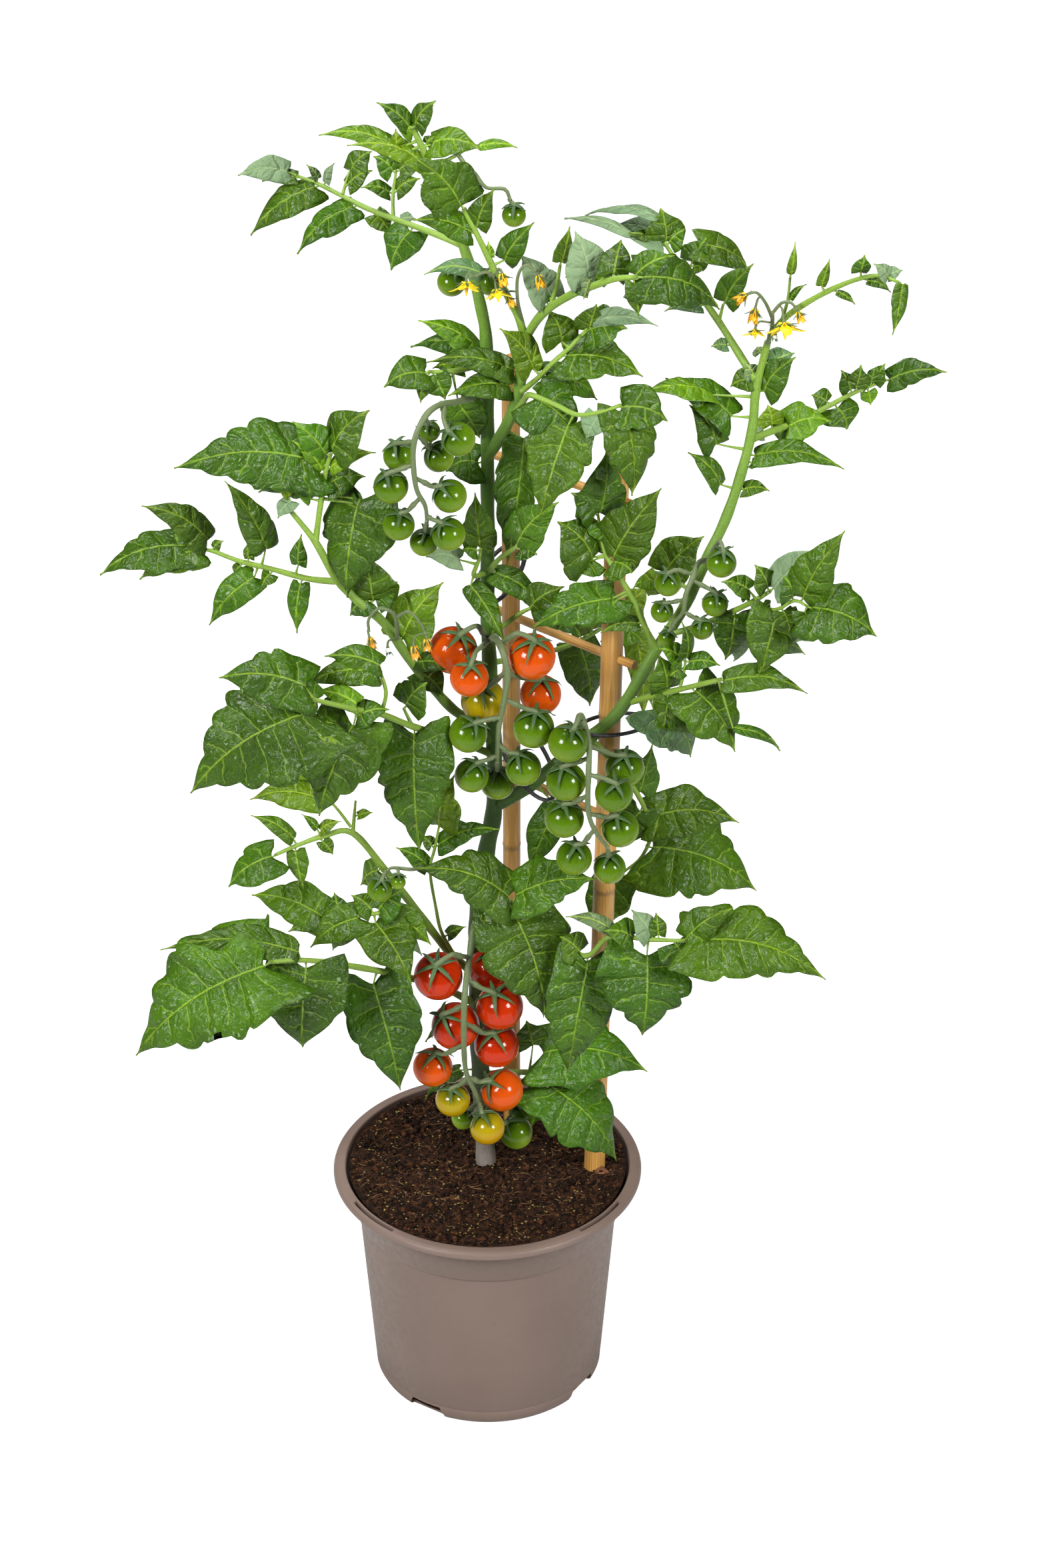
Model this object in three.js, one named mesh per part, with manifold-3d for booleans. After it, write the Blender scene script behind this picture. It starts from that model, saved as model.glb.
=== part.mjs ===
// A cherry tomato plant in a nursery pot, tied to a ladder of bamboo canes. Millimetres, +Z up.
// The origin is the centre of the pot's underside. The pot stands on z = 0 and the plant faces -Y.
import * as THREE from 'three';
import { mergeVertices } from 'three/addons/utils/BufferGeometryUtils.js';
import Module from 'manifold-3d';

const wasm = await Module();
wasm.setup();

// ---------- driving dimensions ----------

const GAP = 0.3;                      // clear space between pieces that touch

const POT = {
  height: 150,                        // top of the inner edge of the rim
  rimRadius: 95, lipHeight: 4,        // outer lip
  mouthRadius: 87.5,                  // inner edge of the rim
  bandRadius: 81, bandHeight: 119,    // foot of the collar band under the lip
  baseRadius: 70.5, edge: 4,          // foot circle and its rounded edge
  wall: 1.8, floor: 2.4, sides: 22,
  arches: 4, archTurn: -33, archWidth: 25, archHeight: 8.5, archDepth: 9, // drainage arches in the foot
  slotRadius: 90.6, slotWidth: 2.2, slotArc: 0.42,          // long slots through the rim
};
const SOIL = {
  level: 145, mound: -5, roughness: 1.6, radius: 84.5, rings: 4, spokes: 18,
  holeRise: 6.4,                      // how far the stem's hole is carried on past its upper place
};

const CANE_LEFT = { foot: new THREE.Vector3(15, 50, 30), head: new THREE.Vector3(15, 50, 668), radius: 5.5 };
const CANE_RIGHT = {
  foot: new THREE.Vector3(63.8, 0, 30), head: new THREE.Vector3(75.6, 0, 652), radius: 6.6,
};
const NODE_SPACING = 118;             // between the joints of the bamboo
const RUNG = { radius: 2.7, heights: [397, 504, 604], overhang: 17 };

// Ties: the two places that each goes round, the loop's half width, its height and how much it slopes.
const TIE = { radius: 1.4, steps: 12, sides: 4 };
const TIES = {
  tie_high: { from: [1.9, 11], to: [15, 50], halfWidth: 11, height: 541, tilt: 5 },
  tie_middle: { from: [33, -8], to: [15, 50], halfWidth: 12, height: 425, tilt: 5 },
  tie_right: { from: [66, -12], to: [84, 6], halfWidth: 13, height: 461, tilt: -5 },
};

const BLADE = 0.8;                    // thickness of a leaf
const EYE = [22, -2017, 1598];        // the places in the tables line up as seen from here

// ---------- the plant's tables ----------

// Leafy stems and compound leaves. Stalks are routes of x, z, y, radius. Leaflets are base x, z, tip x, z,
// how far the tip is behind the base, width, teeth a side, tone and roll.
// Tone: 0 dark, 1 green, 2 young, 3 grey.
const PLANT = {
  stem_main: {
    stalks: [
      [[0, 106, 9, 6.2], [-1, 150, 9, 6], [-5, 250, 9, 5.6], [-5, 330, 9, 5.4], [0, 372, 9, 5.2],
        [5, 405, 9, 5],
        [5, 450, 9, 4.6], [2, 520, 10, 4.2], [2, 600, 12, 4], [2, 690, 14, 3.6], [-1, 720, 14, 3.2],
        [-10, 755, 16, 2.8], [-22, 785, 18, 2.4], [-30, 808, 18, 2], [-37, 824, 18, 1.4]],
      [[-28, 803, 18, 1.2], [-18, 806, 14, 1], [-8, 812, 12, 0.8], [-2, 814, 12, 0.7]],
    ],
    leaves: [
      [-37, 823, -56, 838, 0, 10, 1, 1, 0], [-37, 823, -25, 839, -4, 12, 2, 0, 0],
      [-35, 818, -49, 830, 0, 9, 1, 2, 0],
      [-43, 809, -87, 820, 0, 12, 2, 2, 0], [-30, 802, -72, 814, -6, 12, 2, 2, 0],
      [-26, 815, -1, 812, -8, 15, 2, 2, 0],
      [-4, 813, 19, 813, 0, 5, 1, 2, 0], [-33, 812, -25, 819, 2, 6, 1, 0, 0],
      [-45, 812, -46, 823, 0, 8, 1, 2, 0],
      [-2, 692, -36, 712, -6, 13, 2, 2, 0], [-5, 694, -40, 697, 10, 13, 2, 0, 0],
      [-18, 775, -33, 792, 4, 9, 1, 3, 0],
      [1, 628, -21, 621, 4, 22, 2, 1, 0], [-12, 262, -37, 238, 4, 9, 1, 0, 0],
      [-16, 218, -38, 196, 2, 9, 1, 1, 0],
    ],
  },
  leaf_far_left: {
    from: 'stem_main',
    stalks: [
      [[-12, 757, 16, 2], [-25, 763, 24, 1.8], [-45, 771, 36, 1.6], [-62, 778, 46, 1.5],
        [-75, 785, 54, 1.3],
        [-88, 792, 62, 1.1], [-100, 797, 68, 0.8]],
      [[-48, 772, 38, 1.1], [-48, 785, 44, 1], [-46, 800, 50, 0.7]],
      [[-75, 786, 54, 1], [-72, 796, 60, 0.8], [-68, 806, 66, 0.7]],
    ],
    leaves: [
      [-104, 799, -131, 797, -4, 13, 2, 3, 0], [-98, 795, -118, 793, 2, 8, 1, 0, 0],
      [-88, 795, -94, 803, 0, 5, 1, 3, 0],
      [-84, 793, -79, 804, 0, 5, 1, 3, 0], [-88, 790, -126, 763, -8, 17, 2, 1, 0],
      [-68, 778, -101, 752, -10, 15, 3, 1, 0],
      [-38, 766, -50, 742, -8, 19, 2, 0, 0], [-60, 776, -50, 763, -4, 12, 2, 0, 0],
      [-72, 798, -59, 811, 4, 14, 2, 0, 0],
      [-72, 790, -59, 800, 0, 10, 1, 1, 0], [-50, 787, -65, 790, -2, 8, 1, 1, 0],
      [-48, 787, -33, 795, 0, 9, 1, 1, 0],
      [-46, 798, -58, 808, 4, 12, 2, 0, 0], [-46, 799, -30, 806, 4, 11, 1, 1, 0],
      [-47, 771, -36, 772, -3, 6, 1, 3, 0],
    ],
  },
  shoot_centre: {
    from: 'stem_main',
    stalks: [
      [[2, 630, 12, 3.4], [9, 642, 6, 3.4], [17, 660, 0, 3.4], [21, 680, -3, 3.3], [23, 702, -5, 3]],
      [[23, 702, -5, 2.4], [19, 715, -8, 2.1], [12, 730, -9, 1.9], [6, 743, -9, 1.8], [-3, 763, -9, 1.6],
        [-10, 778, -9, 1.4]],
      [[23, 702, -5, 2.6], [32, 716, -14, 2.4], [45, 726, -26, 2.2], [58, 732, -38, 2],
        [72, 737, -50, 1.7], [84, 738, -58, 1.3]],
      [[37, 721, -18, 1.4], [40, 733, -16, 1.3], [42, 745, -14, 0.9]],
    ],
    leaves: [
      [-10, 780, -37, 808, -6, 30, 3, 0, 0], [-2, 766, 7, 790, -4, 13, 2, 1, 0],
      [-5, 762, -38, 771, -6, 15, 2, 1, 0],
      [5, 747, 3, 759, 0, 5, 0, 2, 0], [12, 748, 28, 770, -4, 14, 2, 1, 0],
      [0, 740, -32, 740, 0, 9, 1, 3, 0],
      [42, 745, 47, 768, 0, 9, 1, 2, 0], [58, 737, 55, 725, -2, 6, 0, 3, 0],
      [60, 735, 80, 750, 0, 8, 1, 2, 0],
      [80, 740, 104, 751, 4, 14, 2, 1, 0], [87, 738, 129, 719, -8, 26, 3, 0, 0],
      [82, 737, 85, 715, -4, 10, 1, 1, 0],
      [38, 724, 20, 752, 14, 18, 2, 3, 0], [37, 719, 31, 733, 4, 10, 1, 0, 0],
      [58, 733, 50, 765, 16, 20, 2, 3, 0],
      [70, 737, 75, 760, 16, 16, 2, 0, 0], [60, 733, 45, 738, 16, 14, 2, 0, 0],
      [17, 682, -31, 688, -8, 15, 2, 0, 0],
      [14, 673, -20, 667, -8, 16, 2, 0, 0], [22, 642, 13, 562, -6, 23, 3, 0, 0],
    ],
  },
  leaf_centre_right: {
    from: 'shoot_centre',
    stalks: [
      [[21, 670, -5, 1.7], [30, 678, -10, 1.5], [38, 687, -12, 1.4], [46, 695, -13, 1.3],
        [54, 704, -13, 1]],
    ],
    leaves: [
      [27, 684, 9, 708, -2, 17, 2, 2, 0], [27, 684, 29, 700, 0, 10, 1, 2, 0],
      [43, 700, 36, 719, -2, 20, 1, 1, 0],
      [45, 690, 88, 679, -8, 24, 3, 1, 0], [57, 706, 79, 708, -4, 22, 3, 1, 0],
      [58, 707, 62, 722, 0, 16, 2, 1, 0],
      [60, 712, 96, 709, 8, 10, 1, 3, 20], [32, 680, 63, 665, 8, 18, 3, 1, 0],
    ],
  },
  leaf_centre_left: {
    from: 'stem_main', fused: true,
    stalks: [
      [[2, 688, 14, 1.8], [-8, 684, 4, 1.6], [-20, 682, -4, 1.4], [-30, 682, -8, 1]],
    ],
    leaves: [
      [-31, 681, -55, 673, -6, 18, 2, 0, 0], [-8, 683, -28, 684, 4, 9, 2, 2, 0],
      [-28, 680, -21, 665, -4, 15, 2, 0, 0],
      [-30, 680, -35, 663, -2, 10, 1, 1, 0], [-14, 664, -2, 641, -6, 20, 2, 0, 0],
    ],
  },
  leaf_front: {
    from: 'shoot_centre',
    stalks: [
      [[17, 657, -1, 2], [22, 664, -14, 1.8], [26, 668, -24, 1.6], [40, 662, -30, 1.5], [52, 656, -34, 1.3],
        [66, 658, -34, 1.2], [76, 662, -32, 1]],
    ],
    leaves: [
      [26, 668, 52, 642, -8, 30, 3, 0, 0], [47, 650, 31, 592, -8, 32, 3, 0, 0],
      [78, 657, 83, 606, -6, 28, 4, 0, 0], [74, 662, 102, 652, -2, 24, 3, 0, 0],
      [64, 660, 57, 641, -4, 14, 2, 3, 0],
    ],
  },
  leaf_right_arch: {
    from: 'stem_right',
    stalks: [
      [[150, 677, 0, 2.4], [142, 690, 10, 2.2], [130, 710, 24, 2], [120, 725, 34, 1.8],
        [108, 743, 44, 1.5], [99, 757, 50, 1]],
      [[108, 743, 44, 0.9], [113, 745, 44, 0.7]],
      [[129, 712, 24, 1], [131, 722, 22, 0.8]],
    ],
    leaves: [
      [99, 757, 96, 778, 2, 22, 2, 1, 0], [99, 757, 109, 766, 0, 14, 2, 1, 0],
      [97, 760, 67, 766, 4, 16, 2, 3, 0],
      [95, 772, 55, 773, 6, 8, 1, 3, 30], [95, 758, 79, 764, 0, 8, 1, 1, 0],
      [80, 763, 44, 772, 8, 6, 1, 3, 30],
      [113, 745, 121, 761, -2, 16, 2, 1, 0], [112, 745, 121, 743, -2, 8, 1, 1, 0],
      [118, 757, 145, 741, 4, 18, 2, 0, 0],
      [131, 723, 147, 746, -4, 15, 2, 1, 0], [137, 698, 125, 697, 0, 7, 1, 3, 0],
      [122, 722, 99, 718, -4, 9, 1, 3, 0],
    ],
  },
  shoot_right_top: {
    from: 'stem_right',
    stalks: [
      [[157, 703, -2, 1.8], [164, 713, -8, 1.8], [175, 722, -16, 1.7], [190, 731, -26, 1.5],
        [204, 737, -36, 1.3],
        [216, 739, -44, 1], [226, 735, -50, 0.9]],
      [[163, 712, -8, 1], [166, 724, -6, 0.9], [167, 738, -4, 0.7]],
    ],
    leaves: [
      [168, 738, 169, 759, 0, 5, 1, 2, 0], [166, 724, 176, 734, 0, 4, 0, 1, 0],
      [184, 733, 188, 749, 0, 6, 1, 2, 0],
      [205, 741, 207, 751, -2, 9, 1, 1, 0], [190, 731, 203, 722, -4, 4, 0, 0, 0],
      [207, 737, 222, 729, -4, 5, 0, 0, 0],
      [222, 737, 212, 746, 0, 8, 2, 3, 0], [218, 739, 228, 742, 0, 7, 1, 3, 0],
      [228, 734, 224, 704, -6, 8, 1, 1, 0],
    ],
  },
  stem_right: {
    from: 'stem_main',
    stalks: [
      [[8, 407, 8, 4.4], [20, 414, 2, 4.2], [32, 424, -6, 4], [52, 443, -14, 3.8], [75, 465, -18, 3.6],
        [88, 488, -18, 3.5],
        [99, 510, -16, 3.4], [113, 535, -14, 3.3], [125, 565, -12, 3.2], [136, 593, -8, 3],
        [144, 622, -4, 2.9],
        [149, 648, -1, 2.7], [150, 668, 0, 2.6], [152, 681, 0, 2.2], [156, 700, -2, 1.9]],
    ],
    leaves: [
      [155, 670, 172, 691, -4, 18, 2, 1, 0], [158, 687, 171, 693, 6, 12, 2, 3, 0],
      [156, 690, 150, 697, 6, 8, 1, 3, 0],
      [148, 679, 136, 673, 4, 12, 2, 0, 0], [148, 676, 144, 687, 4, 9, 1, 3, 0],
      [137, 655, 100, 678, 6, 20, 2, 1, 0],
      [126, 668, 88, 670, 8, 12, 1, 2, 40], [129, 638, 114, 662, -2, 18, 2, 1, 0],
      [132, 613, 113, 633, -2, 12, 1, 1, 0],
      [139, 611, 160, 609, -2, 9, 1, 1, 0], [151, 631, 201, 622, -6, 14, 2, 1, 0],
      [148, 628, 154, 624, -2, 6, 1, 0, 0],
      [42, 404, 26, 356, -2, 18, 1, 1, 0],
    ],
  },
  leaf_right_upper: {
    from: 'stem_right',
    stalks: [
      [[147, 640, -2, 2.2], [160, 646, 10, 2], [175, 652, 24, 1.8], [192, 662, 38, 1.5],
        [206, 670, 48, 1.2], [222, 677, 56, 0.8]],
    ],
    leaves: [
      [170, 655, 172, 631, -6, 20, 1, 0, 0], [158, 646, 147, 645, -2, 9, 1, 3, 0],
      [194, 663, 202, 647, -6, 22, 1, 0, 0],
      [165, 650, 193, 652, 4, 20, 3, 2, 0], [160, 647, 157, 662, 4, 14, 2, 2, 0],
      [222, 677, 255, 682, -4, 14, 3, 1, 0],
      [214, 674, 221, 687, 2, 10, 2, 1, 0], [203, 670, 197, 683, 2, 11, 1, 1, 0],
      [204, 671, 208, 686, 2, 12, 2, 1, 0],
      [213, 673, 215, 684, -2, 9, 1, 0, 0], [212, 672, 214, 662, -2, 9, 1, 2, 0],
      [192, 663, 181, 668, 2, 12, 2, 1, 0],
    ],
  },
  leaf_right_mid: {
    from: 'stem_right',
    stalks: [
      [[104, 518, -16, 2], [120, 523, -20, 1.8], [135, 530, -24, 1.7], [150, 538, -40, 1.6],
        [162, 546, -54, 1.2]],
      [[150, 538, -40, 1.3], [165, 534, -54, 1.2], [176, 540, -62, 1], [184, 536, -68, 0.8]],
    ],
    leaves: [
      [181, 542, 203, 584, -2, 24, 2, 1, 0], [164, 548, 192, 572, 8, 18, 2, 3, 0],
      [184, 535, 224, 517, -6, 34, 3, 1, 0],
      [162, 548, 153, 563, 0, 12, 1, 0, 0], [175, 541, 169, 556, -2, 14, 1, 1, 0],
      [150, 538, 146, 547, 0, 6, 0, 1, 0],
      [167, 533, 158, 492, -8, 26, 2, 0, 0], [170, 533, 174, 520, -4, 12, 1, 0, 0],
      [182, 533, 186, 518, -3, 14, 1, 1, 0],
      [172, 520, 208, 521, 14, 14, 2, 3, 0], [158, 512, 183, 505, 12, 13, 2, 3, 0],
      [143, 533, 138, 501, -4, 20, 1, 0, 0],
      [155, 538, 162, 530, -2, 12, 1, 1, 0], [150, 547, 134, 552, 4, 11, 1, 1, 0],
      [147, 523, 143, 500, 8, 12, 1, 3, 0],
    ],
  },
  leaf_right_low: {
    from: 'stem_right',
    stalks: [
      [[84, 474, -19, 2], [100, 479, -34, 1.8], [118, 484, -50, 1.6], [136, 489, -62, 1.3]],
      [[112, 482, -45, 1], [114, 492, -44, 0.9], [115, 501, -43, 0.7]],
    ],
    leaves: [
      [119, 483, 145, 441, -8, 32, 3, 1, 0], [106, 479, 103, 457, -4, 14, 1, 0, 0],
      [134, 489, 186, 480, -4, 15, 2, 0, 0],
      [97, 470, 120, 437, 12, 30, 3, 3, 0], [100, 466, 137, 452, 14, 16, 2, 1, 0],
      [143, 457, 172, 442, 10, 6, 0, 1, 0],
      [113, 501, 100, 509, -2, 12, 1, 1, 0], [104, 483, 99, 506, -2, 18, 1, 1, 0],
      [115, 502, 135, 498, -2, 10, 1, 0, 0],
      [115, 503, 113, 526, -4, 10, 1, 1, 0], [113, 497, 106, 491, 0, 10, 0, 1, 0],
    ],
  },
  leaf_right_back: {
    from: 'stem_right', fused: true,
    stalks: [
      [[118, 546, -12, 1.5], [110, 551, 10, 1.3], [100, 556, 30, 1]],
    ],
    leaves: [
      [101, 557, 124, 581, 4, 24, 2, 1, 0], [99, 556, 93, 543, 4, 16, 2, 2, 0],
      [98, 553, 84, 548, 6, 10, 1, 2, 0],
    ],
  },
  leaf_at_cane: {
    from: 'stem_right',
    stalks: [
      [[99, 508, -17, 1.9], [92, 522, -20, 1.7], [85, 540, -22, 1.6], [76, 556, -22, 1.4],
        [69, 568, -20, 1.2],
        [66, 580, -18, 1], [64, 594, -16, 0.8]],
    ],
    leaves: [
      [73, 568, 100, 612, -6, 30, 2, 1, 0], [71, 566, 84, 558, -4, 18, 2, 1, 0],
      [60, 567, 42, 590, -4, 32, 3, 1, 0],
      [62, 566, 52, 557, -3, 18, 2, 1, 0], [64, 594, 49, 608, -3, 18, 2, 1, 0],
      [66, 594, 68, 635, 2, 24, 2, 0, 0],
      [65, 592, 70, 576, -2, 15, 1, 0, 0], [92, 527, 66, 519, -5, 9, 1, 0, 0],
      [72, 541, 27, 522, -6, 24, 3, 0, 0],
      [76, 541, 66, 524, -4, 18, 2, 0, 0],
    ],
  },
  leaf_back: {
    from: 'stem_main', fused: true,
    stalks: [
      [[4, 500, 10, 1.8], [30, 505, 34, 1.6], [52, 513, 56, 1.4], [72, 525, 70, 1.1], [88, 528, 78, 0.8]],
    ],
    leaves: [
      [60, 519, 57, 537, 0, 20, 2, 2, 0], [54, 512, 61, 471, 4, 24, 2, 0, 0],
      [70, 525, 91, 512, 0, 20, 2, 2, 0],
      [76, 527, 94, 549, 4, 20, 2, 2, 0], [86, 522, 91, 464, 4, 16, 1, 2, 0],
    ],
  },
  leaf_centre_low: {
    from: 'stem_main', fused: true,
    stalks: [
      [[2, 558, 11, 1.9], [9, 567, -8, 1.5], [18, 574, -22, 1.2]],
      [[2, 558, 11, 1.8], [-6, 556, 0, 1.4], [-3, 566, -6, 1.1], [-2, 573, -7, 0.8]],
    ],
    leaves: [
      [19, 577, 42, 602, -4, 22, 2, 1, 0], [18, 575, 30, 569, -2, 12, 1, 0, 0],
      [-3, 573, -5, 609, -4, 18, 2, 0, 0],
      [-3, 572, -13, 572, -2, 10, 1, 1, 0], [-2, 571, 6, 583, -2, 10, 1, 1, 0],
      [3, 560, 35, 531, -8, 13, 2, 0, 0],
      [-8, 550, 12, 511, -8, 13, 1, 0, 0], [-14, 566, -33, 568, 0, 12, 2, 3, 0],
    ],
  },
  leaf_centre_dark: {
    from: 'stem_main', fused: true,
    stalks: [
      [[3, 518, 10, 1.7], [12, 525, 0, 1.5], [22, 533, -4, 1.2], [34, 538, -6, 0.9]],
    ],
    leaves: [
      [24, 534, 45, 549, -2, 18, 2, 0, 0], [34, 537, 55, 516, -4, 16, 2, 0, 0],
    ],
  },
  branch_left: {
    from: 'stem_main',
    stalks: [
      [[4, 448, 8, 3], [-10, 462, 0, 3], [-22, 473, -8, 2.9], [-42, 500, -16, 2.8], [-57, 525, -20, 2.7],
        [-75, 543, -22, 2.6],
        [-85, 556, -22, 2.4], [-95, 577, -22, 2], [-108, 596, -22, 1.3]],
      [[-95, 577, -22, 1.8], [-92, 598, -20, 1.7], [-88, 622, -18, 1.4], [-85, 632, -18, 1]],
    ],
    leaves: [
      [-95, 627, -173, 623, -6, 36, 3, 1, 0], [-92, 620, -126, 608, 10, 24, 3, 1, 0],
      [-88, 632, -106, 652, 2, 18, 2, 1, 0],
      [-85, 633, -63, 659, -2, 22, 2, 1, 0], [-87, 622, -60, 633, -4, 9, 1, 2, 0],
      [-91, 621, -106, 640, -4, 9, 1, 2, 0],
      [-109, 606, -117, 618, 0, 6, 1, 2, 0], [-97, 604, -111, 614, 0, 8, 1, 2, 0],
      [-108, 603, -116, 592, -4, 9, 1, 3, 0],
      [-88, 612, -66, 618, 10, 16, 2, 0, 0], [-69, 604, -79, 541, -10, 34, 3, 0, 0],
      [-64, 600, -68, 556, 2, 30, 2, 0, 0],
      [-63, 541, -66, 569, 4, 28, 3, 1, 0], [-66, 540, -77, 530, 4, 14, 2, 1, 0],
      [-62, 541, -49, 552, 4, 16, 2, 1, 0],
      [-40, 497, -24, 478, 0, 16, 1, 0, 0], [-40, 503, -15, 495, -6, 11, 1, 0, 0],
      [-46, 514, -23, 552, 10, 26, 2, 2, 10],
    ],
  },
  leaf_left_upper: {
    from: 'branch_left',
    stalks: [
      [[-82, 552, -23, 2], [-100, 554, -10, 1.8], [-120, 560, 6, 1.6], [-138, 565, 20, 1.5],
        [-152, 571, 30, 1.2],
        [-160, 573, 36, 0.9]],
    ],
    leaves: [
      [-156, 578, -192, 600, -2, 19, 2, 1, 0], [-168, 574, -218, 557, -8, 23, 3, 1, 0],
      [-158, 570, -196, 554, -4, 17, 3, 1, 0],
      [-123, 573, -145, 616, 2, 18, 2, 1, 0], [-133, 567, -133, 577, 0, 6, 0, 1, 0],
      [-137, 563, -141, 556, 0, 7, 0, 1, 0],
      [-130, 555, -157, 524, -6, 17, 2, 1, 0], [-120, 558, -126, 549, -2, 9, 1, 1, 0],
      [-105, 563, -103, 582, 0, 9, 0, 1, 0],
      [-104, 551, -107, 519, -4, 11, 1, 1, 0], [-154, 573, -147, 578, 0, 6, 1, 1, 0],
    ],
  },
  leaf_left_mid: {
    from: 'stem_main',
    stalks: [
      [[3, 440, 8, 2.4], [-18, 449, -14, 2.2], [-42, 458, -42, 2], [-60, 466, -60, 1.8],
        [-78, 470, -76, 1.6], [-100, 476, -90, 1.2]],
      [[-42, 458, -42, 1.2], [-47, 470, -40, 0.9]],
      [[-60, 466, -60, 1.3], [-57, 480, -60, 1.2], [-60, 494, -60, 0.9]],
    ],
    leaves: [
      [-103, 484, -153, 490, 0, 30, 3, 1, 0], [-60, 494, -104, 485, -4, 16, 2, 0, 0],
      [-60, 498, -92, 504, 4, 14, 2, 0, 0],
      [-100, 467, -173, 413, -12, 56, 4, 0, 0], [-94, 474, -118, 486, 0, 14, 2, 0, 0],
      [-74, 473, -96, 482, 8, 12, 2, 2, 0],
      [-76, 459, -98, 397, -10, 40, 3, 0, 0], [-42, 455, -39, 373, -12, 40, 3, 0, 0],
      [-47, 471, -33, 487, 2, 22, 2, 1, 0],
      [-74, 464, -55, 469, 2, 14, 2, 0, 0],
    ],
  },
  leaf_left_low: {
    from: 'stem_main',
    stalks: [
      [[-4, 285, 8, 2.8], [-22, 303, -6, 2.6], [-43, 335, -18, 2.4], [-58, 358, -24, 2.2],
        [-78, 386, -28, 1.9],
        [-95, 384, -32, 1.6], [-112, 377, -34, 1.3], [-124, 371, -36, 1]],
      [[-78, 386, -28, 1.2], [-77, 398, -28, 1], [-76, 408, -28, 0.7]],
      [[-79, 390, -28, 1], [-88, 404, -22, 0.8], [-100, 418, -16, 0.7], [-104, 432, -14, 0.7]],
    ],
    leaves: [
      [-98, 410, -138, 409, 4, 18, 2, 2, 0], [-103, 433, -130, 431, 8, 16, 3, 2, 0],
      [-104, 434, -107, 423, 6, 6, 0, 1, 0],
      [-113, 382, -138, 398, 0, 10, 1, 1, 0], [-124, 371, -153, 349, -4, 22, 3, 1, 0],
      [-112, 376, -108, 348, -4, 11, 1, 1, 0],
      [-98, 384, -90, 371, -2, 8, 1, 1, 0], [-99, 389, -108, 399, 0, 5, 0, 1, 0],
      [-97, 388, -85, 394, 0, 7, 0, 2, 0],
      [-78, 398, -66, 400, 0, 5, 0, 2, 0], [-62, 362, -74, 350, 6, 16, 2, 1, 0],
    ],
  },
  leaf_thin: {
    from: 'leaf_left_low', fused: true,
    stalks: [
      [[-21, 304, -8, 1.3], [-27, 318, -14, 1.1], [-30, 335, -16, 1], [-33, 360, -18, 0.9],
        [-30, 376, -20, 0.9], [-27, 393, -20, 0.7]],
    ],
    leaves: [
      [-27, 389, -18, 426, -2, 22, 3, 2, 0], [-30, 377, 8, 389, -4, 14, 3, 1, 0],
      [-31, 376, -38, 384, 2, 8, 1, 1, 0],
      [-34, 362, -53, 376, 0, 11, 1, 1, 0], [-25, 314, -12, 321, 0, 7, 0, 1, 0],
    ],
  },
  leaf_bottom_small: {
    from: 'leaf_left_low',
    stalks: [
      [[-41, 332, -17, 1.7], [-54, 332, -30, 1.5], [-67, 330, -36, 1.3], [-80, 328, -34, 1.1],
        [-94, 327, -26, 0.8]],
    ],
    leaves: [
      [-97, 328, -139, 343, 20, 24, 2, 1, 0], [-94, 326, -118, 317, -2, 13, 2, 1, 0],
      [-73, 328, -105, 306, -8, 20, 2, 1, 0],
      [-66, 324, -45, 280, -10, 28, 2, 1, 0], [-60, 330, -33, 308, -4, 18, 2, 1, 0],
      [-66, 333, -48, 347, 6, 18, 2, 1, 0],
      [-68, 333, -80, 343, 8, 14, 2, 1, 0], [-88, 330, -90, 345, 10, 12, 2, 1, 0],
      [-62, 322, -38, 300, 4, 14, 1, 3, 0],
      [-80, 322, -92, 304, 6, 14, 2, 2, 0],
    ],
  },
  leaf_bottom_left: {
    from: 'stem_main',
    stalks: [
      [[-5, 265, 8, 2.4], [-30, 280, -11, 2.2], [-48, 285, -27, 2.1], [-66, 290, -50, 2],
        [-105, 297, -78, 1.6], [-130, 296, -92, 1.2]],
    ],
    leaves: [
      [-112, 303, -195, 304, 4, 18, 2, 0, 0], [-133, 293, -213, 228, -10, 58, 4, 1, 0],
      [-108, 292, -112, 233, -10, 48, 2, 0, 0],
      [-68, 281, -53, 203, -10, 42, 2, 0, 0],
    ],
  },
  leaf_bottom_centre: {
    from: 'stem_main',
    stalks: [
      [[-3, 322, 8, 2.2], [6, 332, -14, 2], [16, 337, -32, 1.6]],
    ],
    leaves: [
      [16, 332, 35, 255, -12, 50, 3, 0, 0], [13, 342, -41, 362, -4, 31, 3, 0, 0],
      [18, 343, 66, 354, -4, 29, 3, 0, 0],
    ],
  },
  leaf_bottom_right: {
    from: 'stem_main',
    stalks: [
      [[0, 275, 8, 2.4], [25, 290, -18, 2.2], [48, 300, -40, 2], [62, 301, -50, 1.8], [74, 314, -54, 1.6],
        [96, 312, -60, 1.4],
        [118, 311, -66, 1.1]],
    ],
    leaves: [
      [61, 300, 49, 213, -8, 38, 2, 0, 0], [58, 303, 44, 314, 2, 18, 2, 0, 0],
      [96, 301, 94, 243, -8, 50, 3, 0, 0],
      [90, 310, 70, 318, -2, 16, 2, 0, 0], [119, 311, 204, 283, -6, 38, 5, 1, 0],
      [118, 312, 147, 334, 2, 18, 2, 1, 0],
      [112, 310, 120, 288, -2, 22, 2, 0, 0], [76, 318, 47, 328, 4, 9, 1, 3, 0],
      [100, 313, 86, 333, 6, 14, 2, 3, 0],
      [103, 313, 101, 331, 8, 10, 1, 1, 0],
    ],
  },
  leaf_right_outer: {
    from: 'stem_right',
    stalks: [
      [[60, 451, -15, 1.9], [76, 432, -11, 1.7], [90, 410, 4, 1.5], [97, 388, 18, 1.3], [92, 370, 26, 1.1],
        [80, 358, 30, 0.8]],
    ],
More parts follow.
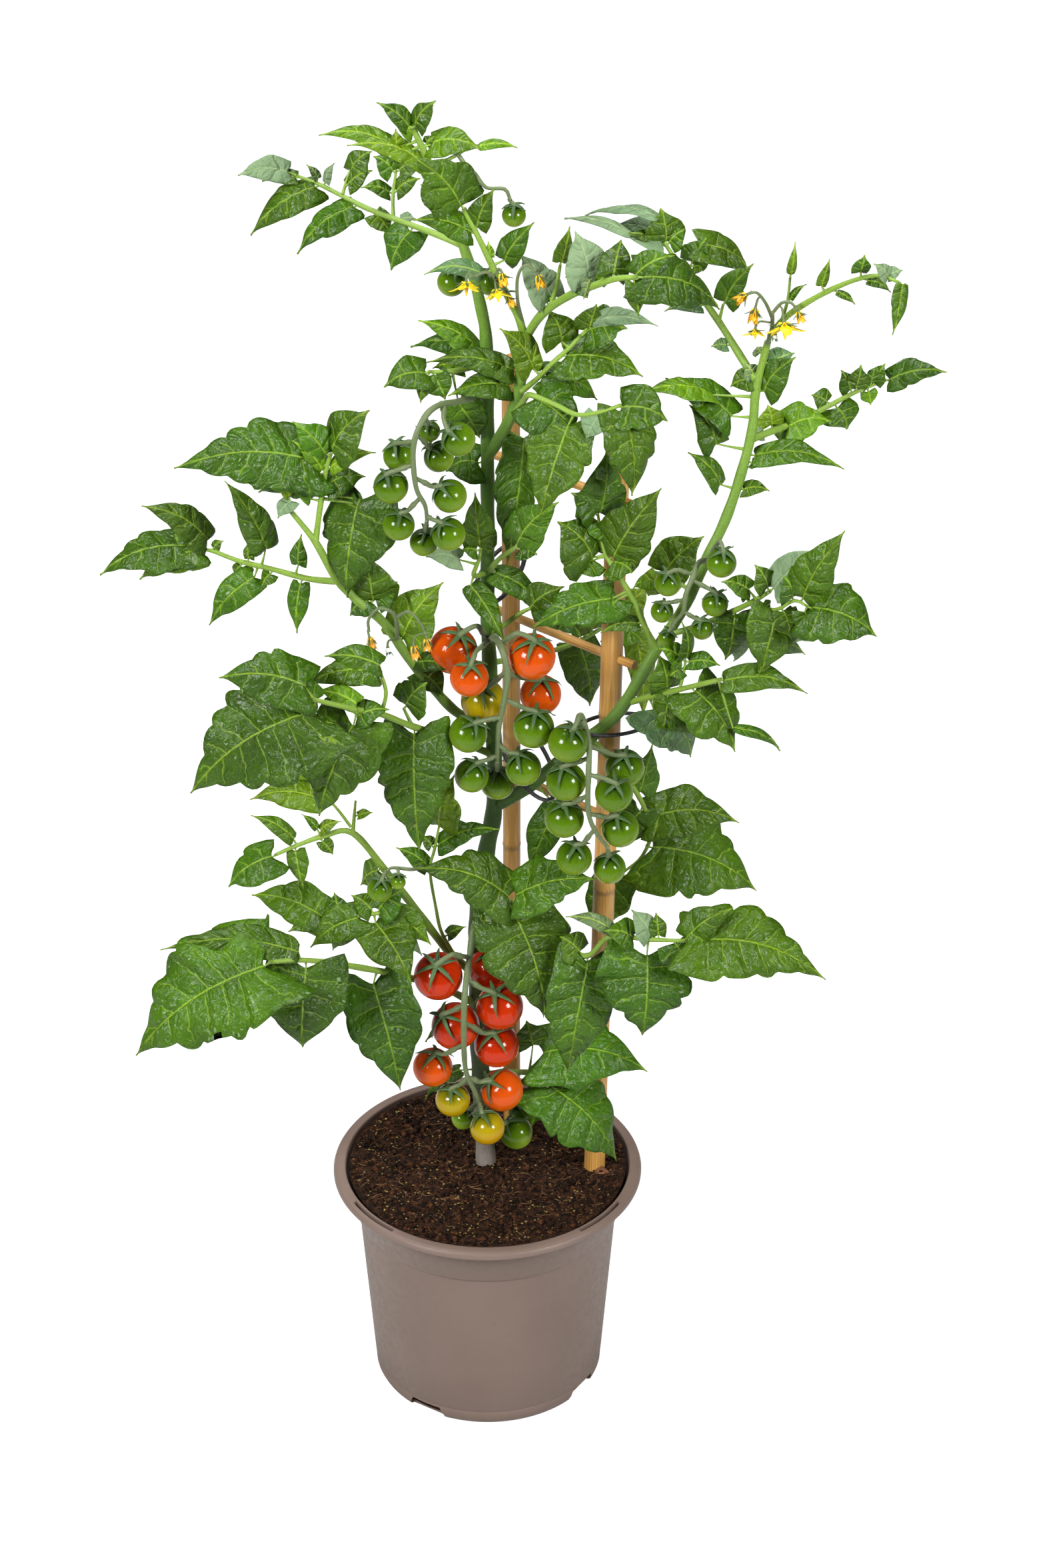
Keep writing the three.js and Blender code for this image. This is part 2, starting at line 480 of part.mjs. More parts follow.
    leaves: [
      [98, 397, 149, 394, -2, 28, 2, 1, 0], [98, 376, 161, 347, -8, 52, 3, 1, 0],
      [78, 356, 64, 315, -4, 26, 2, 1, 0],
      [90, 412, 97, 446, 4, 18, 2, 1, 0],
      [93, 404, 76, 375, 10, 22, 2, 0, 0],
    ],
  },
  leaf_bottom_low: {
    from: 'stem_main', fused: true,
    stalks: [
      [[0, 215, 8, 2.2], [14, 216, -6, 2], [26, 216, -18, 1.8], [36, 212, -26, 1.4]],
    ],
    leaves: [
      [34, 230, 98, 217, -2, 38, 2, 1, 0], [38, 206, 80, 150, -2, 42, 3, 1, 0],
      [36, 205, 27, 175, -2, 18, 1, 1, 0],
      [28, 236, 24, 254, 8, 20, 2, 0, 0],
    ],
  },
};

// Trusses: the stalk's route as above, then each fruit: middle x, z, y, diameter, ripeness and
// where the middle of its calyx lines up. Ripeness: 0 green, 1 turning, 2 orange, 3 red.
const TRUSSES = {
  truss_a: {
    from: 'stem_main',
    stalk: [[-5, 325, 4, 2], [-8, 318, -8, 1.9], [-10, 300, -26, 1.8], [-13, 275, -48, 1.7],
      [-14, 245, -53, 1.6],
      [-13, 218, -46, 1.4], [-8, 203, -42, 1.3], [-3, 190, -38, 1.1]],
    fruit: [
      [-29, 286, -34, 29, 3, -30, 293], [-19, 250, -34, 29, 3, -26, 257], [8, 264, -36, 28, 3, 5, 273],
      [6, 236, -33, 27, 3, 4, 244], [-33, 220, -36, 24, 2, -31, 229], [9, 203, -35, 26, 2, 2, 209],
      [-21, 196, -38, 21, 1, -22, 203], [0, 175, -47, 21, 1, -3, 185], [18, 171, -26, 20, 0, 12, 178],
      [-15, 182, -22, 14, 0, -12, 188], [2, 291, -9, 26, 3, 3, 302], [21, 186, -8, 15, 0, 18, 192],
    ],
  },
  truss_b: {
    from: 'stem_main',
    stalk: [[3, 515, 8, 2], [6, 516, -14, 1.9], [10, 508, -34, 1.8], [13, 492, -38, 1.7],
      [11, 475, -38, 1.6],
      [8, 458, -36, 1.4], [7, 442, -34, 1.1], [7, 434, -30, 1]],
    fruit: [
      [-18, 508, -12, 28, 2, -14, 518], [-9, 490, -37, 22, 2, -8, 498], [27, 504, -26, 27, 2, 28, 514],
      [-1, 475, -15, 26, 1, -2, 484], [32, 479, -8, 24, 2, 33, 489], [-10, 453, -37, 22, 0, -6, 460],
      [28, 457, -30, 24, 0, 29, 467], [-8, 425, -32, 20, 0, -5, 433], [7, 420, -15, 20, 0, 7, 429],
      [22, 430, -30, 21, 0, 19, 439],
    ],
  },
  truss_c: {
    from: 'stem_right',
    stalk: [[52, 450, -17, 1.9], [55, 465, -26, 1.8], [60, 447, -44, 1.6], [60, 425, -50, 1.5],
      [60, 402, -50, 1.4],
      [64, 388, -48, 1.2], [72, 376, -44, 1]],
    fruit: [
      [48, 447, -44, 23, 0, 51, 456], [47, 421, -38, 23, 0, 45, 430], [46, 396, -38, 23, 0, 46, 405],
      [52, 369, -38, 21, 0, 53, 377], [81, 430, -26, 23, 0, 81, 438], [75, 413, -46, 22, 0, 76, 419],
      [79, 389, -36, 22, 0, 77, 397], [73, 362, -34, 19, 0, 73, 370],
    ],
  },
  truss_d: {
    from: 'stem_main',
    stalk: [[2, 668, 13, 1.7], [-14, 664, -14, 1.7], [-26, 661, -30, 1.6], [-34, 652, -40, 1.5],
      [-39, 636, -44, 1.4],
      [-38, 612, -44, 1.3], [-33, 600, -42, 1.1], [-32, 591, -38, 1]],
    fruit: [
      [-14, 641, -38, 19, 0, -19, 646], [-25, 630, -22, 17, 0, -29, 636],
      [-52, 612, -36, 19.5, 0, -54, 619],
      [-19, 606, -34, 19, 0, -24, 612], [-48, 588, -34, 18, 0, -47, 595], [-34, 577, -26, 16, 0, -33, 584],
      [-20, 582, -38, 19, 0, -24, 589], [-47, 631, -30, 18, 0, -49, 638], [-30, 646, -24, 12, 0, -31, 650],
    ],
  },
  truss_e: {
    from: 'stem_right',
    stalk: [[126, 566, -13, 1.5], [121, 564, -24, 1.5], [118, 555, -34, 1.4], [114, 543, -38, 1.3],
      [113, 533, -38, 1.1],
      [108, 526, -36, 0.9]],
    fruit: [
      [134, 564, -32, 17, 0, 135, 571], [104, 551, -32, 15, 0, 104, 557], [101, 533, -30, 13, 0, 102, 538],
      [131, 538, -32, 15, 0, 132, 544], [124, 522, -34, 13, 0, 123, 527], [104, 516, -34, 10, 0, 105, 520],
    ],
  },
  truss_f: {
    from: 'stem_main',
    stalk: [[-13, 809, 13, 1.1], [-9, 803, 5, 1.1], [-4, 798, -4, 1], [2, 790, -6, 1], [12, 789, -8, 0.9],
      [15, 783, -8, 0.9]],
    fruit: [[17, 774, -6, 13, 0, 17, 780]],
  },
  truss_g: {
    from: 'leaf_left_low',
    stalk: [[-33, 361, -18, 1], [-38, 362, -25, 1], [-44, 361, -30, 1], [-56, 362, -34, 0.9],
      [-60, 357, -36, 0.8]],
    fruit: [[-63, 347, -38, 15, 0, -62, 353], [-52, 352, -38, 9, 0, -52, 357]],
  },
  truss_h: {
    from: 'stem_main',
    stalk: [[-8, 746, 15, 1.1], [-7, 748, 23, 1.1], [-7, 750, 30, 1], [-10, 748, 31, 0.9]],
    fruit: [[-17, 735, 30, 16, 0, -15, 742], [4, 735, 33, 15, 0, 3, 742]],
  },
};

// Flower sprays: stalks as above, then each flower: middle x, z, y, the way it points (x, z) and
// its size. Kind: 0 open star, 1 half closed, 2 bud, 3 withered on a young fruit.
const SPRAYS = {
  flowers_high: {
    from: 'shoot_centre',
    stalks: [
      [[15, 726, -9, 1.1], [8, 736, -16, 1], [2, 741, -20, 0.9], [-5, 738, -22, 0.8]],
    ],
    flowers: [
      [-9, 731, -24, 0, -1, 12, 0], [8, 727, -22, 0.2, -1, 11, 0], [11, 737, -20, 0.2, -1, 9, 1],
    ],
  },
  flowers_centre: {
    from: 'shoot_centre',
    stalks: [
      [[22, 710, -6, 1.1], [19, 724, -16, 1], [19, 738, -20, 0.9], [23, 745, -21, 0.8],
        [29, 742, -22, 0.7]],
    ],
    flowers: [
      [31, 736, -22, 0.3, -1, 9, 1], [15, 724, -16, 0.5, -1, 7, 1],
    ],
  },
  flowers_right: {
    from: 'stem_right',
    stalks: [
      [[156, 699, -3, 1.4], [158, 708, -12, 1.2], [158, 717, -18, 1.1]],
      [[158, 714, -16, 1], [154, 723, -20, 0.9], [149, 729, -22, 0.8], [144, 728, -22, 0.7]],
      [[158, 717, -18, 1], [163, 723, -20, 0.9], [168, 723, -22, 0.8], [171, 719, -22, 0.7]],
    ],
    flowers: [
      [141, 726, -22, -1, -0.5, 9, 1], [148, 716, -22, -0.2, -1, 10, 1], [149, 704, -22, 0, -1, 9, 0],
      [165, 706, -24, 0.1, -1, 15, 0], [173, 715, -22, 0.4, -1, 8, 1], [160, 702, -20, 0, -1, 6, 2],
    ],
  },
  flowers_left: {
    from: 'branch_left',
    stalks: [
      [[-50, 514, -18, 1.3], [-50, 524, -30, 1.2], [-52, 532, -36, 1.1], [-60, 535, -38, 1],
        [-66, 528, -38, 0.9],
        [-66, 520, -38, 0.8]],
      [[-51, 529, -34, 1], [-43, 533, -38, 0.9], [-37, 526, -40, 0.8], [-34, 519, -40, 0.7]],
    ],
    flowers: [
      [-65, 513, -38, 0.3, -1, 9, 3], [-55, 507, -40, 0.2, -1, 8, 2], [-40, 507, -42, 0.2, -1, 10, 3],
      [-33, 512, -42, 0.1, -1, 9, 3],
    ],
  },
};

// ---------- colours ----------

function finish(color, roughness, metalness = 0) {
  return new THREE.MeshStandardMaterial({ color, roughness, metalness });
}

const MATERIALS = {
  pot: finish('#8a7970', 0.55),
  soil: finish('#2b1b12', 0.95),
  bamboo: finish('#c9a05a', 0.6),
  tie: finish('#141414', 0.5),
  stem: finish('#5d8a34', 0.6),
  leaf: finish('#2f6420', 0.55),
  fruit: [finish('#4f8a22', 0.25), finish('#a8961f', 0.25), finish('#e2561a', 0.22), finish('#cf2614', 0.2)],
  flower: finish('#f2cf1c', 0.6),
};

// ---------- solids ----------

// A closed geometry as a solid that can be joined and cut.
function solid(geometry) {
  const bare = new THREE.BufferGeometry();
  bare.setAttribute('position', geometry.getAttribute('position'));
  bare.setIndex(geometry.index);
  const merged = mergeVertices(bare, 1e-4);
  const corners = Array.from(merged.index.array);
  const faces = [];
  for (let i = 0; i < corners.length; i += 3) {
    const [a, b, c] = corners.slice(i, i + 3);
    if (a !== b && b !== c && c !== a) faces.push(a, b, c);
  }
  return new wasm.Manifold(new wasm.Mesh({
    numProp: 3,
    vertProperties: Float32Array.from(merged.getAttribute('position').array),
    triVerts: Uint32Array.from(faces),
  }));
}

function fuse(solids) {
  return solids.reduce((whole, piece) => whole.add(piece));
}

function geometryOf(body) {
  const { vertProperties, triVerts } = body.getMesh();
  const geometry = new THREE.BufferGeometry();
  geometry.setAttribute('position', new THREE.BufferAttribute(vertProperties, 3));
  geometry.setIndex(new THREE.BufferAttribute(triVerts, 1));
  return geometry;
}

function closedMesh(positions, faces) {
  const geometry = new THREE.BufferGeometry();
  const numbers = positions.flatMap((p) => p.toArray());
  geometry.setAttribute('position', new THREE.Float32BufferAttribute(numbers, 3));
  geometry.setIndex(faces.flat());
  return solid(geometry);
}

function turned(profile, segments) {
  const outline = profile.map(([r, z]) => new THREE.Vector2(r, z));
  return solid(new THREE.LatheGeometry(outline, segments).rotateX(Math.PI / 2));
}

function rod(from, to, radius, sides) {
  return tube([{ point: from, radius }, { point: to, radius }], sides);
}

// Joins rings of places, each to the next, into a closed skin. A star may have twice the places of the
// ring before or after it, and a ring of one place is a tip.
function lofted(rings) {
  const starts = rings.map((_, k) => rings.slice(0, k).reduce((total, ring) => total + ring.length, 0));
  const at = (k, i) => starts[k] + (i % rings[k].length);
  const faces = [];
  for (let k = 1; k < rings.length; k += 1) {
    const [near, far] = [rings[k - 1].length, rings[k].length];
    let i = near > 1 ? 0 : 1;
    let j = far > 1 ? 0 : 1;
    while (i < near || j < far) {
      if (j >= far || (i < near && (i + 0.5) / near < (j + 0.5) / far)) {
        faces.push([at(k - 1, i), at(k - 1, i + 1), at(k, j)]);
        i += 1;
      } else {
        faces.push([at(k - 1, i), at(k, j + 1), at(k, j)]);
        j += 1;
      }
    }
  }
  const end = rings.length - 1;
  for (let j = 1; j < rings[0].length - 1; j += 1) faces.push([0, j + 1, j]);
  for (let j = 1; j < rings[end].length - 1; j += 1) faces.push([at(end, 0), at(end, j), at(end, j + 1)]);
  return closedMesh(rings.flat(), faces);
}

// Rings round a route, each square to it or to an aim of its own.
function ringsAlong(route, sides) {
  const last = route.length - 1;
  let side = new THREE.Vector3(0, 1, 0);
  return route.map(({ point, radius, aim }, i) => {
    const onward = route[Math.min(i + 1, last)].point.clone().sub(route[Math.max(i - 1, 0)].point);
    const along = (aim ?? onward).clone().normalize();
    if (i === 0 && Math.abs(along.y) > 0.9) side.set(1, 0, 0);
    side = side.clone().addScaledVector(along, -side.dot(along)).normalize();
    const across = along.clone().cross(side);
    return Array.from({ length: sides }, (_, j) => {
      const turn = (j / sides) * 2 * Math.PI;
      const out = side.clone().multiplyScalar(Math.cos(turn)).addScaledVector(across, Math.sin(turn));
      return point.clone().addScaledVector(out, radius);
    });
  });
}

// A tapering stalk through the given places, with flat ends.
function tube(route, sides) {
  return lofted(ringsAlong(route, sides));
}

// ---------- places ----------

const eye = new THREE.Vector3(...EYE);
const UP = new THREE.Vector3(0, 0, 1);

function random(seed) {
  let state = seed;
  return () => {
    state = (state * 16807) % 2147483647;
    return state / 2147483647;
  };
}

// The place y behind the plant's middle plane that lines up with (x, z) in that plane.
function sighted(x, z, y) {
  return eye.clone().lerp(new THREE.Vector3(x, 0, z), (y - eye.y) / -eye.y);
}

function routeOf(stalk) {
  return stalk.map(([x, z, y, radius]) => ({ point: sighted(x, z, y), radius }));
}

// The place on the stalks that lines up closest with (x, z): its x, z, y and radius.
function nearestOn(stalks, x, z) {
  let best = null;
  let bestDistance = Infinity;
  stalks.forEach((stalk) => {
    for (let i = 1; i < stalk.length; i += 1) {
      const [a, b] = [stalk[i - 1], stalk[i]];
      const [dx, dz] = [b[0] - a[0], b[1] - a[1]];
      const t = THREE.MathUtils.clamp(((x - a[0]) * dx + (z - a[1]) * dz) / (dx * dx + dz * dz), 0.03, 0.97);
      const place = a.map((value, k) => value + (b[k] - value) * t);
      const distance = Math.hypot(place[0] - x, place[1] - z);
      if (distance < bestDistance) {
        best = place;
        bestDistance = distance;
      }
    }
  });
  return best;
}

function sidesFor(radius) {
  if (radius > 3) return 6;
  return radius > 1.8 ? 4 : 3;
}

// ---------- leaves ----------

const NECK = 0.8;                     // half width of a leaflet where it leaves its stalk
const TOOTH_SPACING = 34;             // from one tooth of a leaf's edge to the next
const SMALLEST_LEAFLET = 90;          // length by width, and smaller ones are left out,
const LARGE_SHARE = 0.7;              // as are those below this share of the leaf's mean

const FIRST_NOTCH = 0.02;             // where the toothed part of a leaf's edge begins,
const TOOTHED_SHARE = 0.84;           // and how much of its length that part takes
const CREST = 0.6;                    // where a tooth's crest stands between its notches

// Half width along a leaflet, as a share of its greatest half width: broad low down, drawn out to a tip.
function ovate(u) {
  return Math.sin(Math.PI * u ** 0.62) ** 0.9;
}

// Where the edge turns, from base to tip: a notch, then the crest of a tooth, and so on, with its half width.
function edgeCuts(count, depth, rand) {
  if (count === 0) return [{ u: 0.16, share: 0.8 }, { u: 0.5, share: 0.9 }];
  const step = TOOTHED_SHARE / count;
  const cuts = [{ u: FIRST_NOTCH, share: 0.4 }];
  for (let k = 0; k < count; k += 1) {
    const crest = FIRST_NOTCH + step * (k + CREST + 0.12 * rand());
    const notch = FIRST_NOTCH + step * (k + 1);
    cuts.push({ u: crest, share: Math.min(1, ovate(crest) * (1 + depth / 3)) });
    cuts.push({ u: notch, share: ovate(notch) * (1 - depth) });
  }
  return cuts;
}

// A plate of even thickness: its upper face repeated below, and a band along the outline.
function plate(points, lifts, faces, outline, thickness) {
  const total = points.length;
  const both = [
    ...points.map((p, i) => p.clone().addScaledVector(lifts[i], thickness / 2)),
    ...points.map((p, i) => p.clone().addScaledVector(lifts[i], -thickness / 2)),
  ];
  const shell = [...faces, ...faces.map(([a, b, c]) => [a + total, c + total, b + total])];
  outline.forEach((a, i) => {
    const b = outline[(i + 1) % outline.length];
    shell.push([a, a + total, b], [b, a + total, b + total]);
  });
  return closedMesh(both, shell);
}

// One leaflet from its root on the stalk: a narrow neck, then an arched plate that droops from its midrib,
// with its edge cut into forward teeth.
function blade({ root, base, tip, width, teeth, facing }, rand, thickness) {
  const spine = tip.clone().sub(base);
  const length = spine.length();
  const along = spine.clone().normalize();
  const normal = facing.clone().projectOnPlane(along).normalize();
  const across = along.clone().cross(normal);
  const arch = 0.06 + 0.08 * rand();
  const droop = 0.12 + 0.25 * rand();
  const count = THREE.MathUtils.clamp(Math.floor(length / TOOTH_SPACING), 0, Math.max(teeth, 1));
  const cuts = edgeCuts(count, teeth > 2 ? 0.36 : 0.22, rand);

  const points = [];
  const lifts = [];
  const faces = [];
  const add = (point, lift = normal) => {
    lifts.push(lift);
    return points.push(point) - 1;
  };
  const spot = (u, half, side) => add(base.clone()
    .addScaledVector(spine, u)
    .addScaledVector(across, side * half)
    .addScaledVector(normal, arch * length * 4 * u * (1 - u) - droop * half));

  const rootLift = across.clone().cross(base.clone().sub(root)).negate().normalize();
  if (rootLift.dot(normal) < 0) rootLift.negate();
  const start = add(root, rootLift);
  const middle = cuts.filter((_, i) => i % 2 === 0).map(({ u }) => spot(u, 0, 1));
  const apex = spot(1, 0, 1);
  const [sideA, sideB] = [1, -1].map((side) => {
    const cutEdge = cuts.map(({ u, share }) => spot(u, (width / 2) * share, side));
    const edge = [spot(0, NECK, side), ...cutEdge, apex];
    const face = (a, b, c) => faces.push(side > 0 ? [a, c, b] : [a, b, c]);
    face(middle[0], edge[1], edge[0]);
    middle.forEach((mid, k) => {
      const notch = 1 + 2 * k;
      const next = middle[k + 1] ?? apex;
      face(mid, edge[notch + 1], edge[notch]);
      if (next !== edge[notch + 1]) face(mid, next, edge[notch + 1]);
      if (edge[notch + 2] !== undefined && next !== apex) face(edge[notch + 1], next, edge[notch + 2]);
    });
    return edge;
  });
  faces.push([middle[0], sideB[0], sideA[0]], [start, sideA[0], sideB[0]]);
  return plate(points, lifts, faces, [start, ...sideA, ...sideB.slice(0, -1).reverse()], thickness);
}

// The way a leaf faces: to the light above, outwards, and partly to the viewing side.
function facingOf(base, along, roll, rand) {
  const toEye = eye.clone().sub(base).normalize();
  const outward = new THREE.Vector3(base.x, base.y, 0).normalize();
  const facing = toEye.multiplyScalar(0.8).addScaledVector(UP, 0.4).addScaledVector(outward, 0.25);
  facing.x += 0.3 * (rand() - 0.5);
  facing.y += 0.3 * (rand() - 0.5);
  return facing.applyAxisAngle(along, THREE.MathUtils.degToRad(roll));
}

// A leaflet of the tables, with its tip bent further back by a given length.
function leaflet(stalks, [x, z, tipX, tipZ, tipBack, seenWidth, teeth, , roll], seed, bend, thickness) {
  const rand = random(seed);
  const [rootX, rootZ, y, radius] = nearestOn(stalks, x, z);
  const root = sighted(rootX, rootZ, y);
  const tip = sighted(tipX, tipZ, y + tipBack + bend);
  const base = sighted(x, z, y);
  const clearOfStalk = radius + 1.5;
  if (base.distanceTo(root) < clearOfStalk) base.copy(tip).sub(root).setLength(clearOfStalk).add(root);
  const along = tip.clone().sub(base).normalize();
  const facing = facingOf(base, along, roll, rand).projectOnPlane(along).normalize();
  const toEye = eye.clone().sub(base).normalize();
  const seen = Math.max(0.6, Math.sqrt(1 - along.clone().cross(facing).dot(toEye) ** 2));
  return blade({ root, base, tip, width: seenWidth / seen, teeth, facing }, rand, thickness);
}

function sizeOf([x, z, tipX, tipZ, tipBack, width]) {
  return Math.hypot(tipX - x, tipZ - z, tipBack) * width;
}

// A leaf keeps its larger leaflets.
function largeIn(leaves) {
  const mean = leaves.reduce((total, row) => total + sizeOf(row), 0) / leaves.length;
  return (row) => sizeOf(row) > Math.max(SMALLEST_LEAFLET, mean * LARGE_SHARE);
}

// ---------- fruit ----------

// How a fruit hangs: its middle, the way its crown points and its radius.
function pose([x, z, y, diameter, , crownX, crownZ]) {
  const centre = sighted(x, z, y);
  const toEye = eye.clone().sub(centre).normalize();
  const right = new THREE.Vector3(1, 0, 0);
  const rise = toEye.clone().cross(right).normalize();
  const radius = diameter / 2;
  const offset = right.multiplyScalar(crownX - x).addScaledVector(rise, (crownZ - z) * 0.83);
  offset.divideScalar(radius);
  if (offset.length() > 0.9) offset.setLength(0.9);
  const crown = offset.addScaledVector(toEye, Math.sqrt(1 - offset.lengthSq()));
  return { centre, crown: crown.normalize(), radius };
}

function berry({ centre, crown, radius }) {
  const sides = 7;
  const ball = new THREE.SphereGeometry(radius, sides, sides - 2).scale(1, 0.96, 1);
  ball.applyQuaternion(new THREE.Quaternion().setFromUnitVectors(new THREE.Vector3(0, 1, 0), crown));
  return solid(ball.translate(centre.x, centre.y, centre.z));
}

// The places of a star round a stalk's end: a notch along each spoke, and a tip after it.
function starRound(spokes, middle, axis, notch, tip) {
  const ways = spokes.map((corner) => corner.clone().sub(middle).projectOnPlane(axis).normalize());
  const place = (way, [reach, rise]) => (
    middle.clone().addScaledVector(way, reach).addScaledVector(axis, rise)
  );
  return ways.flatMap((way, i) => {
    const between = way.clone().add(ways[(i + 1) % ways.length]).normalize();
    return [place(way, notch()), place(between, tip())];
  });
}

// One fruit's stalk, out from the truss, over and down, with pointed sepals that follow the crown a little
// way off it. A green fruit is the same skin carried on, and a ripe one is a piece of its own.
function hanging(stalk, row, { centre, crown, radius }, rand) {
  const isGreen = row[4] === 0;
  const sepals = isGreen && radius < 10 ? 4 : 5;
  const [rootX, rootZ, rootY] = nearestOn([stalk], row[5], row[6] + radius * 0.6);
  const root = sighted(rootX, rootZ, rootY);
  const neckRise = radius * 1.05 + 1.2;
  const neck = centre.clone().addScaledVector(crown, neckRise);
  const toRoot = root.clone().sub(neck);
  const aside = toRoot.clone().projectOnPlane(crown).normalize();
  const share = Math.min(1, crown.angleTo(toRoot) / (Math.PI / 2));
  const bend = neck.clone().addScaledVector(crown, radius * 0.15 + 1);
  bend.addScaledVector(aside, radius * (0.2 + 0.5 * share));
  const thick = 0.65 + radius * 0.04;
  const inward = crown.clone().negate();
  const route = [
    { point: root, radius: thick }, { point: bend, radius: thick },
    { point: neck, radius: thick, aim: inward },
  ];
  const latitudes = radius > 10 ? [22, 62, 104, 144] : [25, 80, 135];
  const belts = latitudes.map((latitude) => {
    const turn = THREE.MathUtils.degToRad(latitude);
    const point = centre.clone().addScaledVector(crown, radius * Math.cos(turn));
    return { point, radius: radius * Math.sin(turn), aim: inward };
  });
  const overCrown = (reach, off) => (
    [reach, Math.sqrt(Math.max(0, 1.1 * radius ** 2 - reach ** 2)) + off - neckRise]
  );
  const notch = () => overCrown(radius * 0.16 + 0.9, 0.4);
  const tip = () => overCrown(radius * (0.68 + 0.12 * rand()) + 1.5, 1.6 + 1.2 * rand());
  const start = [...ringsAlong(route, 3), starRound(ringsAlong(route, sepals)[2], neck, crown, notch, tip)];
  if (!isGreen) return lofted([...start, [centre.clone().addScaledVector(crown, radius + GAP)]]);
  const skin = ringsAlong([...route, ...belts], radius > 10 ? 7 : 6).slice(route.length);
  return lofted([...start, ...skin, [centre.clone().addScaledVector(crown, -radius)]]);
}

function truss({ stalk, fruit }, seed) {
  const rand = random(seed);
  return fuse([tube(routeOf(stalk), 4), ...fruit.map((row) => hanging(stalk, row, pose(row), rand))]);
}

// ---------- flowers ----------

// The parts of a flower by kind: how far its star spreads and rises, and how thick its middle is.
const FLOWERS = [
  { spread: 0.5, rise: 0.12, middle: 0.13 }, { middle: 0.2 }, { middle: 0.2 },
  { spread: 0.45, rise: 0.45, middle: 0.22 },
];

function flower(stalks, [x, z, y, wayX, wayZ, size, kind]) {
  const { spread, rise, middle } = FLOWERS[kind];
  const way = new THREE.Vector3(wayX, -0.35, wayZ).normalize();
  const centre = sighted(x, z, y);
  const neck = centre.clone().addScaledVector(way, -size * 0.35);
  const belly = centre.clone().addScaledVector(way, -size * 0.15);
  const [rootX, rootZ, rootY] = nearestOn(stalks, x, z + size * 0.8);
  const root = sighted(rootX, rootZ, rootY);
  const bend = neck.clone().addScaledVector(way, -size * 0.4).lerp(root, 0.25);
  const places = [[root, 0.75], [bend, 0.75], [neck, 0.75], [belly, size * middle]];
  const route = places.map(([point, radius]) => ({ point, radius }));
  const stem = ringsAlong(route, 3).slice(0, 3);
  const notch = () => [size * 0.2, 0];
  const petal = () => [size * spread, size * rise];
  const petals = spread ? [starRound(ringsAlong(route, 5)[2], neck, way, notch, petal)] : [];
  const mouth = [centre.clone().addScaledVector(way, size * 0.5)];
  return lofted([...stem, ...petals, ringsAlong(route, 4)[3], mouth]);
}

function spray({ stalks, flowers }) {
  const stems = stalks.map((stalk) => tube(routeOf(stalk), 4));
  return fuse([...stems, ...flowers.map((row) => flower(stalks, row))]);
}

// ---------- pot and soil ----------

function wallRadius(z) {
  return THREE.MathUtils.mapLinear(z, 0, POT.bandHeight, POT.baseRadius, POT.bandRadius - 1.3);
}

function box(width, depth, height, x, y, z) {
  return new THREE.BoxGeometry(width, depth, height).translate(x, y, z);
}

// One drainage arch in the foot.
function arch(turn) {
  const shape = box(POT.archWidth, POT.archDepth, POT.archHeight * 2, 0, -POT.baseRadius, 0);
  return solid(shape.rotateZ(turn));
}

function archTurns() {
  const turns = Array.from({ length: POT.arches }, (_, i) => POT.archTurn + (i * 360) / POT.arches);
  return turns.map(THREE.MathUtils.degToRad);
}

function makePot() {
  const lipBottom = POT.height - 1.5 - POT.lipHeight;
  const outside = [
    [0, 0], [POT.baseRadius - POT.edge, 0], [POT.baseRadius - 1, 1.2], [wallRadius(POT.edge), POT.edge],
    [wallRadius(POT.bandHeight - 2), POT.bandHeight - 2], [POT.bandRadius, POT.bandHeight],
    [POT.bandRadius + 3.5, POT.bandHeight + 10], [POT.rimRadius - 5, lipBottom - 3.5],
    [POT.rimRadius - 0.8, lipBottom], [POT.rimRadius, lipBottom + 1.5],
    [POT.rimRadius - 0.6, POT.height - 1.6], [POT.rimRadius - 3, POT.height - 0.6],
    [POT.mouthRadius + 0.8, POT.height], [POT.mouthRadius, POT.height - 0.8],
  ];
  const inside = [
    [POT.mouthRadius - 1, lipBottom - 4], [POT.bandRadius - POT.wall, POT.bandHeight + 6],
    [wallRadius(POT.floor) - POT.wall, POT.floor], [0, POT.floor],
  ];
  const shell = turned([...outside, ...inside], POT.sides);
  const arches = archTurns().map(arch);
  const slots = [Math.PI * 1.22, Math.PI * 1.78].map((turn) => rimSlot(turn));
  return shell.subtract(fuse([...arches, ...slots]));
}

// A long narrow slot down through the flat of the rim.
function rimSlot(turn) {
  const shape = new THREE.Shape();
  const inner = POT.slotRadius - POT.slotWidth / 2;
  const outer = POT.slotRadius + POT.slotWidth / 2;
  shape.absarc(0, 0, outer, turn - POT.slotArc / 2, turn + POT.slotArc / 2, false);
  shape.absarc(0, 0, inner, turn + POT.slotArc / 2, turn - POT.slotArc / 2, true);
  const plate = new THREE.ExtrudeGeometry(shape, { depth: 24, bevelEnabled: false, curveSegments: 4 });
  return solid(plate.translate(0, 0, POT.height - 16));
}

// The top of the soil at a radius and turn: a shallow hollow round the stem, with crumbs.
function soilHeight(radius, turn) {
  const share = radius / SOIL.radius;
  const crumbs = Math.sin(radius * 0.9 + 3 * Math.sin(turn * 5)) + Math.sin(turn * 11 + radius * 0.35);
  const bumps = SOIL.roughness * 0.5 * crumbs * (share < 0.96 ? 1 : 0.2);
  return SOIL.level + SOIL.mound * (0.5 - share ** 2) + bumps;
}

function soilRing(radius, height, lag) {
  return Array.from({ length: SOIL.spokes }, (_, i) => {
    const turn = ((i + lag) * 2 * Math.PI) / SOIL.spokes;
    const z = height ?? soilHeight(radius, turn);
    return new THREE.Vector3(radius * Math.cos(turn), radius * Math.sin(turn), z);
  });
}

